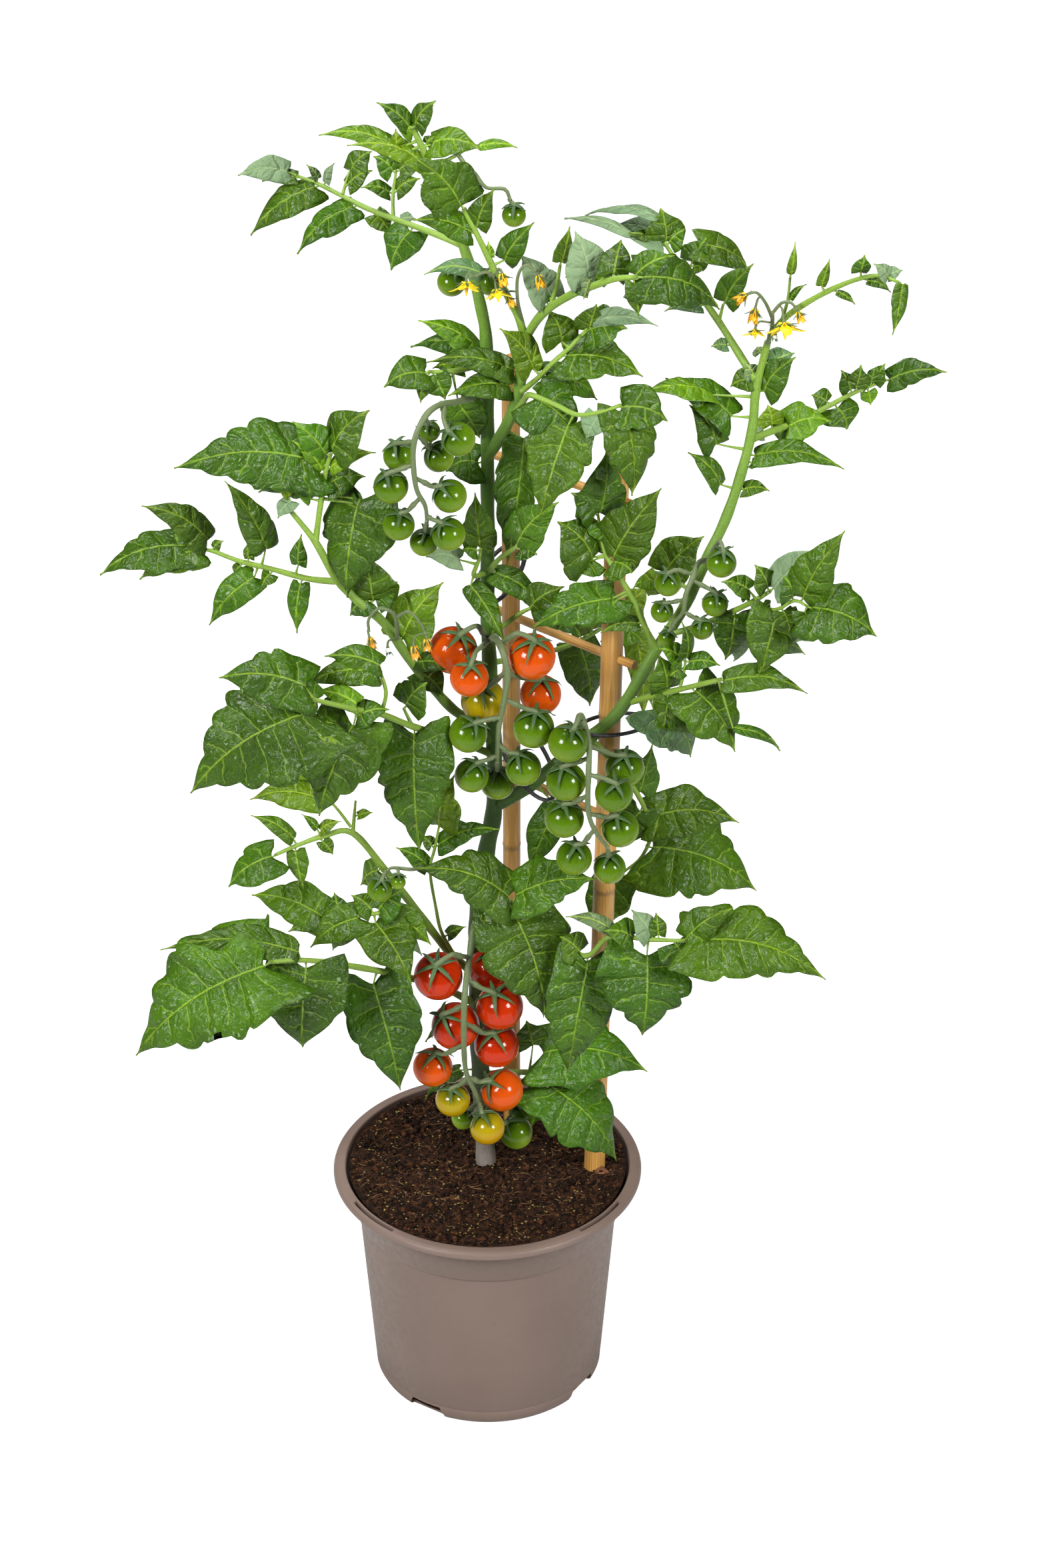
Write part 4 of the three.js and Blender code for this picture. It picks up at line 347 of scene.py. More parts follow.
            [[84, 474, -19, 2], [100, 479, -34, 1.8], [118, 484, -50, 1.6], [136, 489, -62, 1.3]],
            [[112, 482, -45, 1], [114, 492, -44, 0.9], [115, 501, -43, 0.7]],
        ],
        "leaves": [
            [119, 483, 145, 441, -8, 32, 3, 1, 0], [106, 479, 103, 457, -4, 14, 1, 0, 0],
            [134, 489, 186, 480, -4, 15, 2, 0, 0], [97, 470, 120, 437, 12, 30, 3, 3, 0],
            [100, 466, 137, 452, 14, 16, 2, 1, 0], [143, 457, 172, 442, 10, 6, 0, 1, 0],
            [113, 501, 100, 509, -2, 12, 1, 1, 0], [104, 483, 99, 506, -2, 18, 1, 1, 0],
            [115, 502, 135, 498, -2, 10, 1, 0, 0], [115, 503, 113, 526, -4, 10, 1, 1, 0],
            [113, 497, 106, 491, 0, 10, 0, 1, 0],
        ],
    },
    "leaf_right_back": {
        "from": "stem_right",
        "fused": True,
        "stalks": [
            [[118, 546, -12, 1.5], [110, 551, 10, 1.3], [100, 556, 30, 1]],
        ],
        "leaves": [
            [101, 557, 124, 581, 4, 24, 2, 1, 0], [99, 556, 93, 543, 4, 16, 2, 2, 0],
            [98, 553, 84, 548, 6, 10, 1, 2, 0],
        ],
    },
    "leaf_at_cane": {
        "from": "stem_right",
        "stalks": [
            [[99, 508, -17, 1.9], [92, 522, -20, 1.7], [85, 540, -22, 1.6], [76, 556, -22, 1.4],
                [69, 568, -20, 1.2], [66, 580, -18, 1], [64, 594, -16, 0.8]],
        ],
        "leaves": [
            [73, 568, 100, 612, -6, 30, 2, 1, 0], [71, 566, 84, 558, -4, 18, 2, 1, 0],
            [60, 567, 42, 590, -4, 32, 3, 1, 0], [62, 566, 52, 557, -3, 18, 2, 1, 0],
            [64, 594, 49, 608, -3, 18, 2, 1, 0], [66, 594, 68, 635, 2, 24, 2, 0, 0],
            [65, 592, 70, 576, -2, 15, 1, 0, 0], [92, 527, 66, 519, -5, 9, 1, 0, 0],
            [72, 541, 27, 522, -6, 24, 3, 0, 0], [76, 541, 66, 524, -4, 18, 2, 0, 0],
        ],
    },
    "leaf_back": {
        "from": "stem_main",
        "fused": True,
        "stalks": [
            [[4, 500, 10, 1.8], [30, 505, 34, 1.6], [52, 513, 56, 1.4], [72, 525, 70, 1.1],
                [88, 528, 78, 0.8]],
        ],
        "leaves": [
            [60, 519, 57, 537, 0, 20, 2, 2, 0], [54, 512, 61, 471, 4, 24, 2, 0, 0],
            [70, 525, 91, 512, 0, 20, 2, 2, 0], [76, 527, 94, 549, 4, 20, 2, 2, 0],
            [86, 522, 91, 464, 4, 16, 1, 2, 0],
        ],
    },
    "leaf_centre_low": {
        "from": "stem_main",
        "fused": True,
        "stalks": [
            [[2, 558, 11, 1.9], [9, 567, -8, 1.5], [18, 574, -22, 1.2]],
            [[2, 558, 11, 1.8], [-6, 556, 0, 1.4], [-3, 566, -6, 1.1], [-2, 573, -7, 0.8]],
        ],
        "leaves": [
            [19, 577, 42, 602, -4, 22, 2, 1, 0], [18, 575, 30, 569, -2, 12, 1, 0, 0],
            [-3, 573, -5, 609, -4, 18, 2, 0, 0], [-3, 572, -13, 572, -2, 10, 1, 1, 0],
            [-2, 571, 6, 583, -2, 10, 1, 1, 0], [3, 560, 35, 531, -8, 13, 2, 0, 0],
            [-8, 550, 12, 511, -8, 13, 1, 0, 0], [-14, 566, -33, 568, 0, 12, 2, 3, 0],
        ],
    },
    "leaf_centre_dark": {
        "from": "stem_main",
        "fused": True,
        "stalks": [
            [[3, 518, 10, 1.7], [12, 525, 0, 1.5], [22, 533, -4, 1.2], [34, 538, -6, 0.9]],
        ],
        "leaves": [
            [24, 534, 45, 549, -2, 18, 2, 0, 0], [34, 537, 55, 516, -4, 16, 2, 0, 0],
        ],
    },
    "branch_left": {
        "from": "stem_main",
        "stalks": [
            [[4, 448, 8, 3], [-10, 462, 0, 3], [-22, 473, -8, 2.9], [-42, 500, -16, 2.8],
                [-57, 525, -20, 2.7], [-75, 543, -22, 2.6], [-85, 556, -22, 2.4], [-95, 577, -22, 2],
                [-108, 596, -22, 1.3]],
            [[-95, 577, -22, 1.8], [-92, 598, -20, 1.7], [-88, 622, -18, 1.4], [-85, 632, -18, 1]],
        ],
        "leaves": [
            [-95, 627, -173, 623, -6, 36, 3, 1, 0], [-92, 620, -126, 608, 10, 24, 3, 1, 0],
            [-88, 632, -106, 652, 2, 18, 2, 1, 0], [-85, 633, -63, 659, -2, 22, 2, 1, 0],
            [-87, 622, -60, 633, -4, 9, 1, 2, 0], [-91, 621, -106, 640, -4, 9, 1, 2, 0],
            [-109, 606, -117, 618, 0, 6, 1, 2, 0], [-97, 604, -111, 614, 0, 8, 1, 2, 0],
            [-108, 603, -116, 592, -4, 9, 1, 3, 0], [-88, 612, -66, 618, 10, 16, 2, 0, 0],
            [-69, 604, -79, 541, -10, 34, 3, 0, 0], [-64, 600, -68, 556, 2, 30, 2, 0, 0],
            [-63, 541, -66, 569, 4, 28, 3, 1, 0], [-66, 540, -77, 530, 4, 14, 2, 1, 0],
            [-62, 541, -49, 552, 4, 16, 2, 1, 0], [-40, 497, -24, 478, 0, 16, 1, 0, 0],
            [-40, 503, -15, 495, -6, 11, 1, 0, 0], [-46, 514, -23, 552, 10, 26, 2, 2, 10],
        ],
    },
    "leaf_left_upper": {
        "from": "branch_left",
        "stalks": [
            [[-82, 552, -23, 2], [-100, 554, -10, 1.8], [-120, 560, 6, 1.6], [-138, 565, 20, 1.5],
                [-152, 571, 30, 1.2], [-160, 573, 36, 0.9]],
        ],
        "leaves": [
            [-156, 578, -192, 600, -2, 19, 2, 1, 0], [-168, 574, -218, 557, -8, 23, 3, 1, 0],
            [-158, 570, -196, 554, -4, 17, 3, 1, 0], [-123, 573, -145, 616, 2, 18, 2, 1, 0],
            [-133, 567, -133, 577, 0, 6, 0, 1, 0], [-137, 563, -141, 556, 0, 7, 0, 1, 0],
            [-130, 555, -157, 524, -6, 17, 2, 1, 0], [-120, 558, -126, 549, -2, 9, 1, 1, 0],
            [-105, 563, -103, 582, 0, 9, 0, 1, 0], [-104, 551, -107, 519, -4, 11, 1, 1, 0],
            [-154, 573, -147, 578, 0, 6, 1, 1, 0],
        ],
    },
    "leaf_left_mid": {
        "from": "stem_main",
        "stalks": [
            [[3, 440, 8, 2.4], [-18, 449, -14, 2.2], [-42, 458, -42, 2], [-60, 466, -60, 1.8],
                [-78, 470, -76, 1.6], [-100, 476, -90, 1.2]],
            [[-42, 458, -42, 1.2], [-47, 470, -40, 0.9]],
            [[-60, 466, -60, 1.3], [-57, 480, -60, 1.2], [-60, 494, -60, 0.9]],
        ],
        "leaves": [
            [-103, 484, -153, 490, 0, 30, 3, 1, 0], [-60, 494, -104, 485, -4, 16, 2, 0, 0],
            [-60, 498, -92, 504, 4, 14, 2, 0, 0], [-100, 467, -173, 413, -12, 56, 4, 0, 0],
            [-94, 474, -118, 486, 0, 14, 2, 0, 0], [-74, 473, -96, 482, 8, 12, 2, 2, 0],
            [-76, 459, -98, 397, -10, 40, 3, 0, 0], [-42, 455, -39, 373, -12, 40, 3, 0, 0],
            [-47, 471, -33, 487, 2, 22, 2, 1, 0], [-74, 464, -55, 469, 2, 14, 2, 0, 0],
        ],
    },
    "leaf_left_low": {
        "from": "stem_main",
        "stalks": [
            [[-4, 285, 8, 2.8], [-22, 303, -6, 2.6], [-43, 335, -18, 2.4], [-58, 358, -24, 2.2],
                [-78, 386, -28, 1.9], [-95, 384, -32, 1.6], [-112, 377, -34, 1.3], [-124, 371, -36, 1]],
            [[-78, 386, -28, 1.2], [-77, 398, -28, 1], [-76, 408, -28, 0.7]],
            [[-79, 390, -28, 1], [-88, 404, -22, 0.8], [-100, 418, -16, 0.7], [-104, 432, -14, 0.7]],
        ],
        "leaves": [
            [-98, 410, -138, 409, 4, 18, 2, 2, 0], [-103, 433, -130, 431, 8, 16, 3, 2, 0],
            [-104, 434, -107, 423, 6, 6, 0, 1, 0], [-113, 382, -138, 398, 0, 10, 1, 1, 0],
            [-124, 371, -153, 349, -4, 22, 3, 1, 0], [-112, 376, -108, 348, -4, 11, 1, 1, 0],
            [-98, 384, -90, 371, -2, 8, 1, 1, 0], [-99, 389, -108, 399, 0, 5, 0, 1, 0],
            [-97, 388, -85, 394, 0, 7, 0, 2, 0], [-78, 398, -66, 400, 0, 5, 0, 2, 0],
            [-62, 362, -74, 350, 6, 16, 2, 1, 0],
        ],
    },
    "leaf_thin": {
        "from": "leaf_left_low",
        "fused": True,
        "stalks": [
            [[-21, 304, -8, 1.3], [-27, 318, -14, 1.1], [-30, 335, -16, 1], [-33, 360, -18, 0.9],
                [-30, 376, -20, 0.9], [-27, 393, -20, 0.7]],
        ],
        "leaves": [
            [-27, 389, -18, 426, -2, 22, 3, 2, 0], [-30, 377, 8, 389, -4, 14, 3, 1, 0],
            [-31, 376, -38, 384, 2, 8, 1, 1, 0], [-34, 362, -53, 376, 0, 11, 1, 1, 0],
            [-25, 314, -12, 321, 0, 7, 0, 1, 0],
        ],
    },
    "leaf_bottom_small": {
        "from": "leaf_left_low",
        "stalks": [
            [[-41, 332, -17, 1.7], [-54, 332, -30, 1.5], [-67, 330, -36, 1.3], [-80, 328, -34, 1.1],
                [-94, 327, -26, 0.8]],
        ],
        "leaves": [
            [-97, 328, -139, 343, 20, 24, 2, 1, 0], [-94, 326, -118, 317, -2, 13, 2, 1, 0],
            [-73, 328, -105, 306, -8, 20, 2, 1, 0], [-66, 324, -45, 280, -10, 28, 2, 1, 0],
            [-60, 330, -33, 308, -4, 18, 2, 1, 0], [-66, 333, -48, 347, 6, 18, 2, 1, 0],
            [-68, 333, -80, 343, 8, 14, 2, 1, 0], [-88, 330, -90, 345, 10, 12, 2, 1, 0],
            [-62, 322, -38, 300, 4, 14, 1, 3, 0], [-80, 322, -92, 304, 6, 14, 2, 2, 0],
        ],
    },
    "leaf_bottom_left": {
        "from": "stem_main",
        "stalks": [
            [[-5, 265, 8, 2.4], [-30, 280, -11, 2.2], [-48, 285, -27, 2.1], [-66, 290, -50, 2],
                [-105, 297, -78, 1.6], [-130, 296, -92, 1.2]],
        ],
        "leaves": [
            [-112, 303, -195, 304, 4, 18, 2, 0, 0], [-133, 293, -213, 228, -10, 58, 4, 1, 0],
            [-108, 292, -112, 233, -10, 48, 2, 0, 0], [-68, 281, -53, 203, -10, 42, 2, 0, 0],
        ],
    },
    "leaf_bottom_centre": {
        "from": "stem_main",
        "stalks": [
            [[-3, 322, 8, 2.2], [6, 332, -14, 2], [16, 337, -32, 1.6]],
        ],
        "leaves": [
            [16, 332, 35, 255, -12, 50, 3, 0, 0], [13, 342, -41, 362, -4, 31, 3, 0, 0],
            [18, 343, 66, 354, -4, 29, 3, 0, 0],
        ],
    },
    "leaf_bottom_right": {
        "from": "stem_main",
        "stalks": [
            [[0, 275, 8, 2.4], [25, 290, -18, 2.2], [48, 300, -40, 2], [62, 301, -50, 1.8],
                [74, 314, -54, 1.6], [96, 312, -60, 1.4], [118, 311, -66, 1.1]],
        ],
        "leaves": [
            [61, 300, 49, 213, -8, 38, 2, 0, 0], [58, 303, 44, 314, 2, 18, 2, 0, 0],
            [96, 301, 94, 243, -8, 50, 3, 0, 0], [90, 310, 70, 318, -2, 16, 2, 0, 0],
            [119, 311, 204, 283, -6, 38, 5, 1, 0], [118, 312, 147, 334, 2, 18, 2, 1, 0],
            [112, 310, 120, 288, -2, 22, 2, 0, 0], [76, 318, 47, 328, 4, 9, 1, 3, 0],
            [100, 313, 86, 333, 6, 14, 2, 3, 0], [103, 313, 101, 331, 8, 10, 1, 1, 0],
        ],
    },
    "leaf_right_outer": {
        "from": "stem_right",
        "stalks": [
            [[60, 451, -15, 1.9], [76, 432, -11, 1.7], [90, 410, 4, 1.5], [97, 388, 18, 1.3],
                [92, 370, 26, 1.1], [80, 358, 30, 0.8]],
        ],
        "leaves": [
            [98, 397, 149, 394, -2, 28, 2, 1, 0], [98, 376, 161, 347, -8, 52, 3, 1, 0],
            [78, 356, 64, 315, -4, 26, 2, 1, 0], [90, 412, 97, 446, 4, 18, 2, 1, 0],
            [93, 404, 76, 375, 10, 22, 2, 0, 0],
        ],
    },
    "leaf_bottom_low": {
        "from": "stem_main",
        "fused": True,
        "stalks": [
            [[0, 215, 8, 2.2], [14, 216, -6, 2], [26, 216, -18, 1.8], [36, 212, -26, 1.4]],
        ],
        "leaves": [
            [34, 230, 98, 217, -2, 38, 2, 1, 0], [38, 206, 80, 150, -2, 42, 3, 1, 0],
            [36, 205, 27, 175, -2, 18, 1, 1, 0], [28, 236, 24, 254, 8, 20, 2, 0, 0],
        ],
    },
}

# Trusses: the stalk's route as above, then each fruit: middle x, z, y, diameter, ripeness and
# where the middle of its calyx lines up. Ripeness: 0 green, 1 turning, 2 orange, 3 red.
TRUSSES = {
    "truss_a": {
        "from": "stem_main",
        "stalk": [
            [-5, 325, 4, 2], [-8, 318, -8, 1.9], [-10, 300, -26, 1.8], [-13, 275, -48, 1.7],
            [-14, 245, -53, 1.6], [-13, 218, -46, 1.4], [-8, 203, -42, 1.3], [-3, 190, -38, 1.1],
        ],
        "fruit": [
            [-29, 286, -34, 29, 3, -30, 293], [-19, 250, -34, 29, 3, -26, 257],
            [8, 264, -36, 28, 3, 5, 273], [6, 236, -33, 27, 3, 4, 244], [-33, 220, -36, 24, 2, -31, 229],
            [9, 203, -35, 26, 2, 2, 209], [-21, 196, -38, 21, 1, -22, 203], [0, 175, -47, 21, 1, -3, 185],
            [18, 171, -26, 20, 0, 12, 178], [-15, 182, -22, 14, 0, -12, 188], [2, 291, -9, 26, 3, 3, 302],
            [21, 186, -8, 15, 0, 18, 192],
        ],
    },
    "truss_b": {
        "from": "stem_main",
        "stalk": [
            [3, 515, 8, 2], [6, 516, -14, 1.9], [10, 508, -34, 1.8], [13, 492, -38, 1.7],
            [11, 475, -38, 1.6], [8, 458, -36, 1.4], [7, 442, -34, 1.1], [7, 434, -30, 1],
        ],
        "fruit": [
            [-18, 508, -12, 28, 2, -14, 518], [-9, 490, -37, 22, 2, -8, 498],
            [27, 504, -26, 27, 2, 28, 514], [-1, 475, -15, 26, 1, -2, 484], [32, 479, -8, 24, 2, 33, 489],
            [-10, 453, -37, 22, 0, -6, 460], [28, 457, -30, 24, 0, 29, 467], [-8, 425, -32, 20, 0, -5, 433],
            [7, 420, -15, 20, 0, 7, 429], [22, 430, -30, 21, 0, 19, 439],
        ],
    },
    "truss_c": {
        "from": "stem_right",
        "stalk": [
            [52, 450, -17, 1.9], [55, 465, -26, 1.8], [60, 447, -44, 1.6], [60, 425, -50, 1.5],
            [60, 402, -50, 1.4], [64, 388, -48, 1.2], [72, 376, -44, 1],
        ],
        "fruit": [
            [48, 447, -44, 23, 0, 51, 456], [47, 421, -38, 23, 0, 45, 430], [46, 396, -38, 23, 0, 46, 405],
            [52, 369, -38, 21, 0, 53, 377], [81, 430, -26, 23, 0, 81, 438], [75, 413, -46, 22, 0, 76, 419],
            [79, 389, -36, 22, 0, 77, 397], [73, 362, -34, 19, 0, 73, 370],
        ],
    },
    "truss_d": {
        "from": "stem_main",
        "stalk": [
            [2, 668, 13, 1.7], [-14, 664, -14, 1.7], [-26, 661, -30, 1.6], [-34, 652, -40, 1.5],
            [-39, 636, -44, 1.4], [-38, 612, -44, 1.3], [-33, 600, -42, 1.1], [-32, 591, -38, 1],
        ],
        "fruit": [
            [-14, 641, -38, 19, 0, -19, 646], [-25, 630, -22, 17, 0, -29, 636],
            [-52, 612, -36, 19.5, 0, -54, 619], [-19, 606, -34, 19, 0, -24, 612],
            [-48, 588, -34, 18, 0, -47, 595], [-34, 577, -26, 16, 0, -33, 584],
            [-20, 582, -38, 19, 0, -24, 589], [-47, 631, -30, 18, 0, -49, 638],
            [-30, 646, -24, 12, 0, -31, 650],
        ],
    },
    "truss_e": {
        "from": "stem_right",
        "stalk": [
            [126, 566, -13, 1.5], [121, 564, -24, 1.5], [118, 555, -34, 1.4], [114, 543, -38, 1.3],
            [113, 533, -38, 1.1], [108, 526, -36, 0.9],
        ],
        "fruit": [
            [134, 564, -32, 17, 0, 135, 571], [104, 551, -32, 15, 0, 104, 557],
            [101, 533, -30, 13, 0, 102, 538], [131, 538, -32, 15, 0, 132, 544],
            [124, 522, -34, 13, 0, 123, 527], [104, 516, -34, 10, 0, 105, 520],
        ],
    },
    "truss_f": {
        "from": "stem_main",
        "stalk": [
            [-13, 809, 13, 1.1], [-9, 803, 5, 1.1], [-4, 798, -4, 1], [2, 790, -6, 1], [12, 789, -8, 0.9],
            [15, 783, -8, 0.9],
        ],
        "fruit": [
            [17, 774, -6, 13, 0, 17, 780],
        ],
    },
    "truss_g": {
        "from": "leaf_left_low",
        "stalk": [
            [-33, 361, -18, 1], [-38, 362, -25, 1], [-44, 361, -30, 1], [-56, 362, -34, 0.9],
            [-60, 357, -36, 0.8],
        ],
        "fruit": [
            [-63, 347, -38, 15, 0, -62, 353], [-52, 352, -38, 9, 0, -52, 357],
        ],
    },
    "truss_h": {
        "from": "stem_main",
        "stalk": [
            [-8, 746, 15, 1.1], [-7, 748, 23, 1.1], [-7, 750, 30, 1], [-10, 748, 31, 0.9],
        ],
        "fruit": [
            [-17, 735, 30, 16, 0, -15, 742], [4, 735, 33, 15, 0, 3, 742],
        ],
    },
}


# Flower sprays: stalks as above, then each flower: middle x, z, y, the way it points (x, z) and
# its size. Kind: 0 open star, 1 half closed, 2 bud, 3 withered.
SPRAYS = {
    "flowers_high": {
        "from": "shoot_centre",
        "stalks": [
            [[15, 726, -9, 1.1], [8, 736, -16, 1], [2, 741, -20, 0.9], [-5, 738, -22, 0.8]],
        ],
        "flowers": [
            [-9, 731, -24, 0, -1, 12, 0], [8, 727, -22, 0.2, -1, 11, 0], [11, 737, -20, 0.2, -1, 9, 1],
        ],
    },
    "flowers_centre": {
        "from": "shoot_centre",
        "stalks": [
            [[22, 710, -6, 1.1], [19, 724, -16, 1], [19, 738, -20, 0.9], [23, 745, -21, 0.8],
                [29, 742, -22, 0.7]],
        ],
        "flowers": [
            [31, 736, -22, 0.3, -1, 9, 1], [15, 724, -16, 0.5, -1, 7, 1],
        ],
    },
    "flowers_right": {
        "from": "stem_right",
        "stalks": [
            [[156, 699, -3, 1.4], [158, 708, -12, 1.2], [158, 717, -18, 1.1]],
            [[158, 714, -16, 1], [154, 723, -20, 0.9], [149, 729, -22, 0.8], [144, 728, -22, 0.7]],
            [[158, 717, -18, 1], [163, 723, -20, 0.9], [168, 723, -22, 0.8], [171, 719, -22, 0.7]],
        ],
        "flowers": [
            [141, 726, -22, -1, -0.5, 9, 1], [148, 716, -22, -0.2, -1, 10, 1], [149, 704, -22, 0, -1, 9, 0],
            [165, 706, -24, 0.1, -1, 15, 0], [173, 715, -22, 0.4, -1, 8, 1], [160, 702, -20, 0, -1, 6, 2],
        ],
    },
    "flowers_left": {
        "from": "branch_left",
        "stalks": [
            [[-50, 514, -18, 1.3], [-50, 524, -30, 1.2], [-52, 532, -36, 1.1], [-60, 535, -38, 1],
                [-66, 528, -38, 0.9], [-66, 520, -38, 0.8]],
            [[-51, 529, -34, 1], [-43, 533, -38, 0.9], [-37, 526, -40, 0.8], [-34, 519, -40, 0.7]],
        ],
        "flowers": [
            [-65, 513, -38, 0.3, -1, 9, 3], [-55, 507, -40, 0.2, -1, 8, 2], [-40, 507, -42, 0.2, -1, 10, 3],
            [-33, 512, -42, 0.1, -1, 9, 3],
        ],
    },
}


def make_camera():
    """The one camera, level from side to side and pitched down at the plant."""
    data = bpy.data.cameras.new("camera")
    data.sensor_fit = "VERTICAL"
    data.sensor_height = CAMERA["sensor"]
    data.lens = CAMERA["lens"]
    data.clip_end = 20
    camera = bpy.data.objects.new("camera", data)
    camera.location = [c * MM for c in CAMERA["place"]]
    camera.rotation_euler = (math.radians(90 - CAMERA["pitch"]), 0, 0)
    bpy.context.scene.collection.objects.link(camera)
    bpy.context.scene.camera = camera


def make_softbox(name, place, target, width, height, power):
    """A square-edged lamp that faces its target."""
    data = bpy.data.lights.new(name, "AREA")
    data.shape = "RECTANGLE"
    data.size = width
    data.size_y = height
    data.energy = power
    light = bpy.data.objects.new(name, data)
    light.location = place
    way = np.array(target) - np.array(place)
    flat = math.hypot(way[0], way[1])
    light.rotation_euler = (math.atan2(flat, -way[2]), 0, math.atan2(way[1], way[0]) - math.pi / 2)
    bpy.context.scene.collection.objects.link(light)


def make_world():
    """A white backdrop that gives a softer light than it shows."""
    world = bpy.data.worlds.new("studio")
    world.use_nodes = True
    tree = world.node_tree
    background = tree.nodes["Background"]
    background.inputs["Color"].default_value = (1, 1, 1, 1)
    sees = tree.nodes.new("ShaderNodeLightPath")
    level = tree.nodes.new("ShaderNodeMapRange")
    level.inputs["To Min"].default_value = WORLD_LIGHT
    level.inputs["To Max"].default_value = WORLD_GLOSS
    tree.links.new(sees.outputs["Is Glossy Ray"], level.inputs["Value"])
    shown = tree.nodes.new("ShaderNodeMapRange")
    shown.inputs["To Max"].default_value = 1.0
    tree.links.new(sees.outputs["Is Camera Ray"], shown.inputs["Value"])
    tree.links.new(level.outputs["Result"], shown.inputs["To Min"])
    tree.links.new(shown.outputs["Result"], background.inputs["Strength"])
    bpy.context.scene.world = world
    bpy.context.scene.view_settings.view_transform = "Standard"


def make_floor():
    """A white sheet that glows as bright as the backdrop, so that only soft shadows show on it."""
    mesh = bpy.data.meshes.new("floor")
    corners = [(-1, -1), (1, -1), (1, 1), (-1, 1)]
    mesh.from_pydata([(x * FLOOR_HALF, y * FLOOR_HALF, FLOOR_DROP) for x, y in corners], [], [(0, 1, 2, 3)])
    floor = bpy.data.objects.new("floor", mesh)
    bpy.context.scene.collection.objects.link(floor)
    material, shader, s = make_material("floor", "#bcbcbc", 0.9)
    shader.inputs["Specular IOR Level"].default_value = 0
    shader.inputs["Emission Color"].default_value = (1, 1, 1, 1)
    seen = s.node("LightPath").outputs["Is Camera Ray"]
    s.feed(shader.inputs["Emission Strength"], s.times(seen, FLOOR_GLOW))
    mesh.materials.append(material)


# ---------- meshes ----------


class Skin:
    """A mesh in the making: places in millimetres, faces, and named values at each place."""

    def __init__(self):
        self.places = []
        self.faces = []
        self.slots = []
        self.values = {"vein": [], "skin": [], "tint": []}
        self.total = 0

    def add(self, places, faces, slot=0, vein=(0, 0, 1), skin=(0, 0, 0), tint=(1, 1, 1, 0)):
        count = len(places)
        self.places.append(np.asarray(places, float))
        self.faces += [[corner + self.total for corner in face] for face in faces]
        self.slots += [slot] * len(faces)
        for name, value, width in (("vein", vein, 3), ("skin", skin, 3), ("tint", tint, 4)):
            self.values[name].append(np.broadcast_to(np.asarray(value, float), (count, width)))
        self.total += count

    def piece(self, name, materials):
        """The finished object, riding with the plant."""
        mesh = bpy.data.meshes.new(name)
        places = np.clip(np.concatenate(self.places) * MM, *cad_box)
        mesh.from_pydata(places.tolist(), [], self.faces)
        for key, values in self.values.items():
            kind, field = ("FLOAT_COLOR", "color") if key == "tint" else ("FLOAT_VECTOR", "vector")
            attribute = mesh.attributes.new(key, kind, "POINT")
            attribute.data.foreach_set(field, np.concatenate(values).astype(np.float32).ravel())
        for material in materials:
            mesh.materials.append(material)
        mesh.polygons.foreach_set("material_index", np.array(self.slots, np.int32))
        mesh.polygons.foreach_set("use_smooth", np.full(len(self.faces), True))
        mesh.update()
        obj = bpy.data.objects.new(name, mesh)
        bpy.context.scene.collection.objects.link(obj)
        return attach(obj, "root")


def unit(way):
    """A way at a length of one."""
    way = np.asarray(way, float)
    return way / max(np.linalg.norm(way), 1e-9)


def across_of(way, along):
    """The part of a way that is square to another, as a unit."""
    return unit(way - np.dot(way, along) * along)


def grid_faces(rows, columns, wrap=False):
    """Quads between rows of places; wrap joins the last column to the first."""
    faces = []
    for i in range(rows - 1):
        for j in range(columns if wrap else columns - 1):
            a = i * columns + j
            b = i * columns + (j + 1) % columns
            faces.append([a, b, b + columns, a + columns])
    return faces


def capped_faces(rows, sides, flip=False):
    """Faces of a turned skin whose ends close on two last places; flip turns its sides over, not its ends."""
    count = rows * sides
    faces = grid_faces(rows, sides, wrap=True)
    if flip:
        faces = [face[::-1] for face in faces]
    faces += [[count, (j + 1) % sides, j] for j in range(sides)]
    return faces + [[count + 1, count - sides + j, count - sides + (j + 1) % sides] for j in range(sides)]


def plate_faces(rows, columns):
    """Faces of a thin plate: a grid, the same grid turned over behind it, and a band round the edge."""
    count = rows * columns
    faces = grid_faces(rows, columns)
    ring = (list(range(columns)) + [i * columns + columns - 1 for i in range(1, rows)]
            + [(rows - 1) * columns + j for j in range(columns - 2, -1, -1)]
            + [i * columns for i in range(rows - 2, 0, -1)])
    shell = faces + [[c + count for c in face[::-1]] for face in faces]
    return shell + [[b, a, a + count, b + count] for a, b in zip(ring, ring[1:] + ring[:1])]


def around(side, over, turn):
    """The way at a turn from one way towards another."""
    return side * math.cos(turn) + over * math.sin(turn)


def smoothed(points, radii, spacing):
    """A Catmull-Rom curve through places, with radii, at about the given spacing."""
    points = np.asarray(points, float)
    padded = np.vstack([2 * points[0] - points[1], points, 2 * points[-1] - points[-2]])
    route, sizes = [points[0]], [radii[0]]
    for i in range(len(points) - 1):
        before, a, b, after = padded[i:i + 4]
        steps = max(1, math.ceil(np.linalg.norm(b - a) / spacing))
        for k in range(1, steps + 1):
            t = k / steps
            route.append(0.5 * (2 * a + (b - before) * t + (2 * before - 5 * a + 4 * b - after) * t ** 2
                                + (3 * a - before - 3 * b + after) * t ** 3))
            sizes.append(radii[i] + (radii[i + 1] - radii[i]) * t)
    return np.array(route), np.array(sizes)


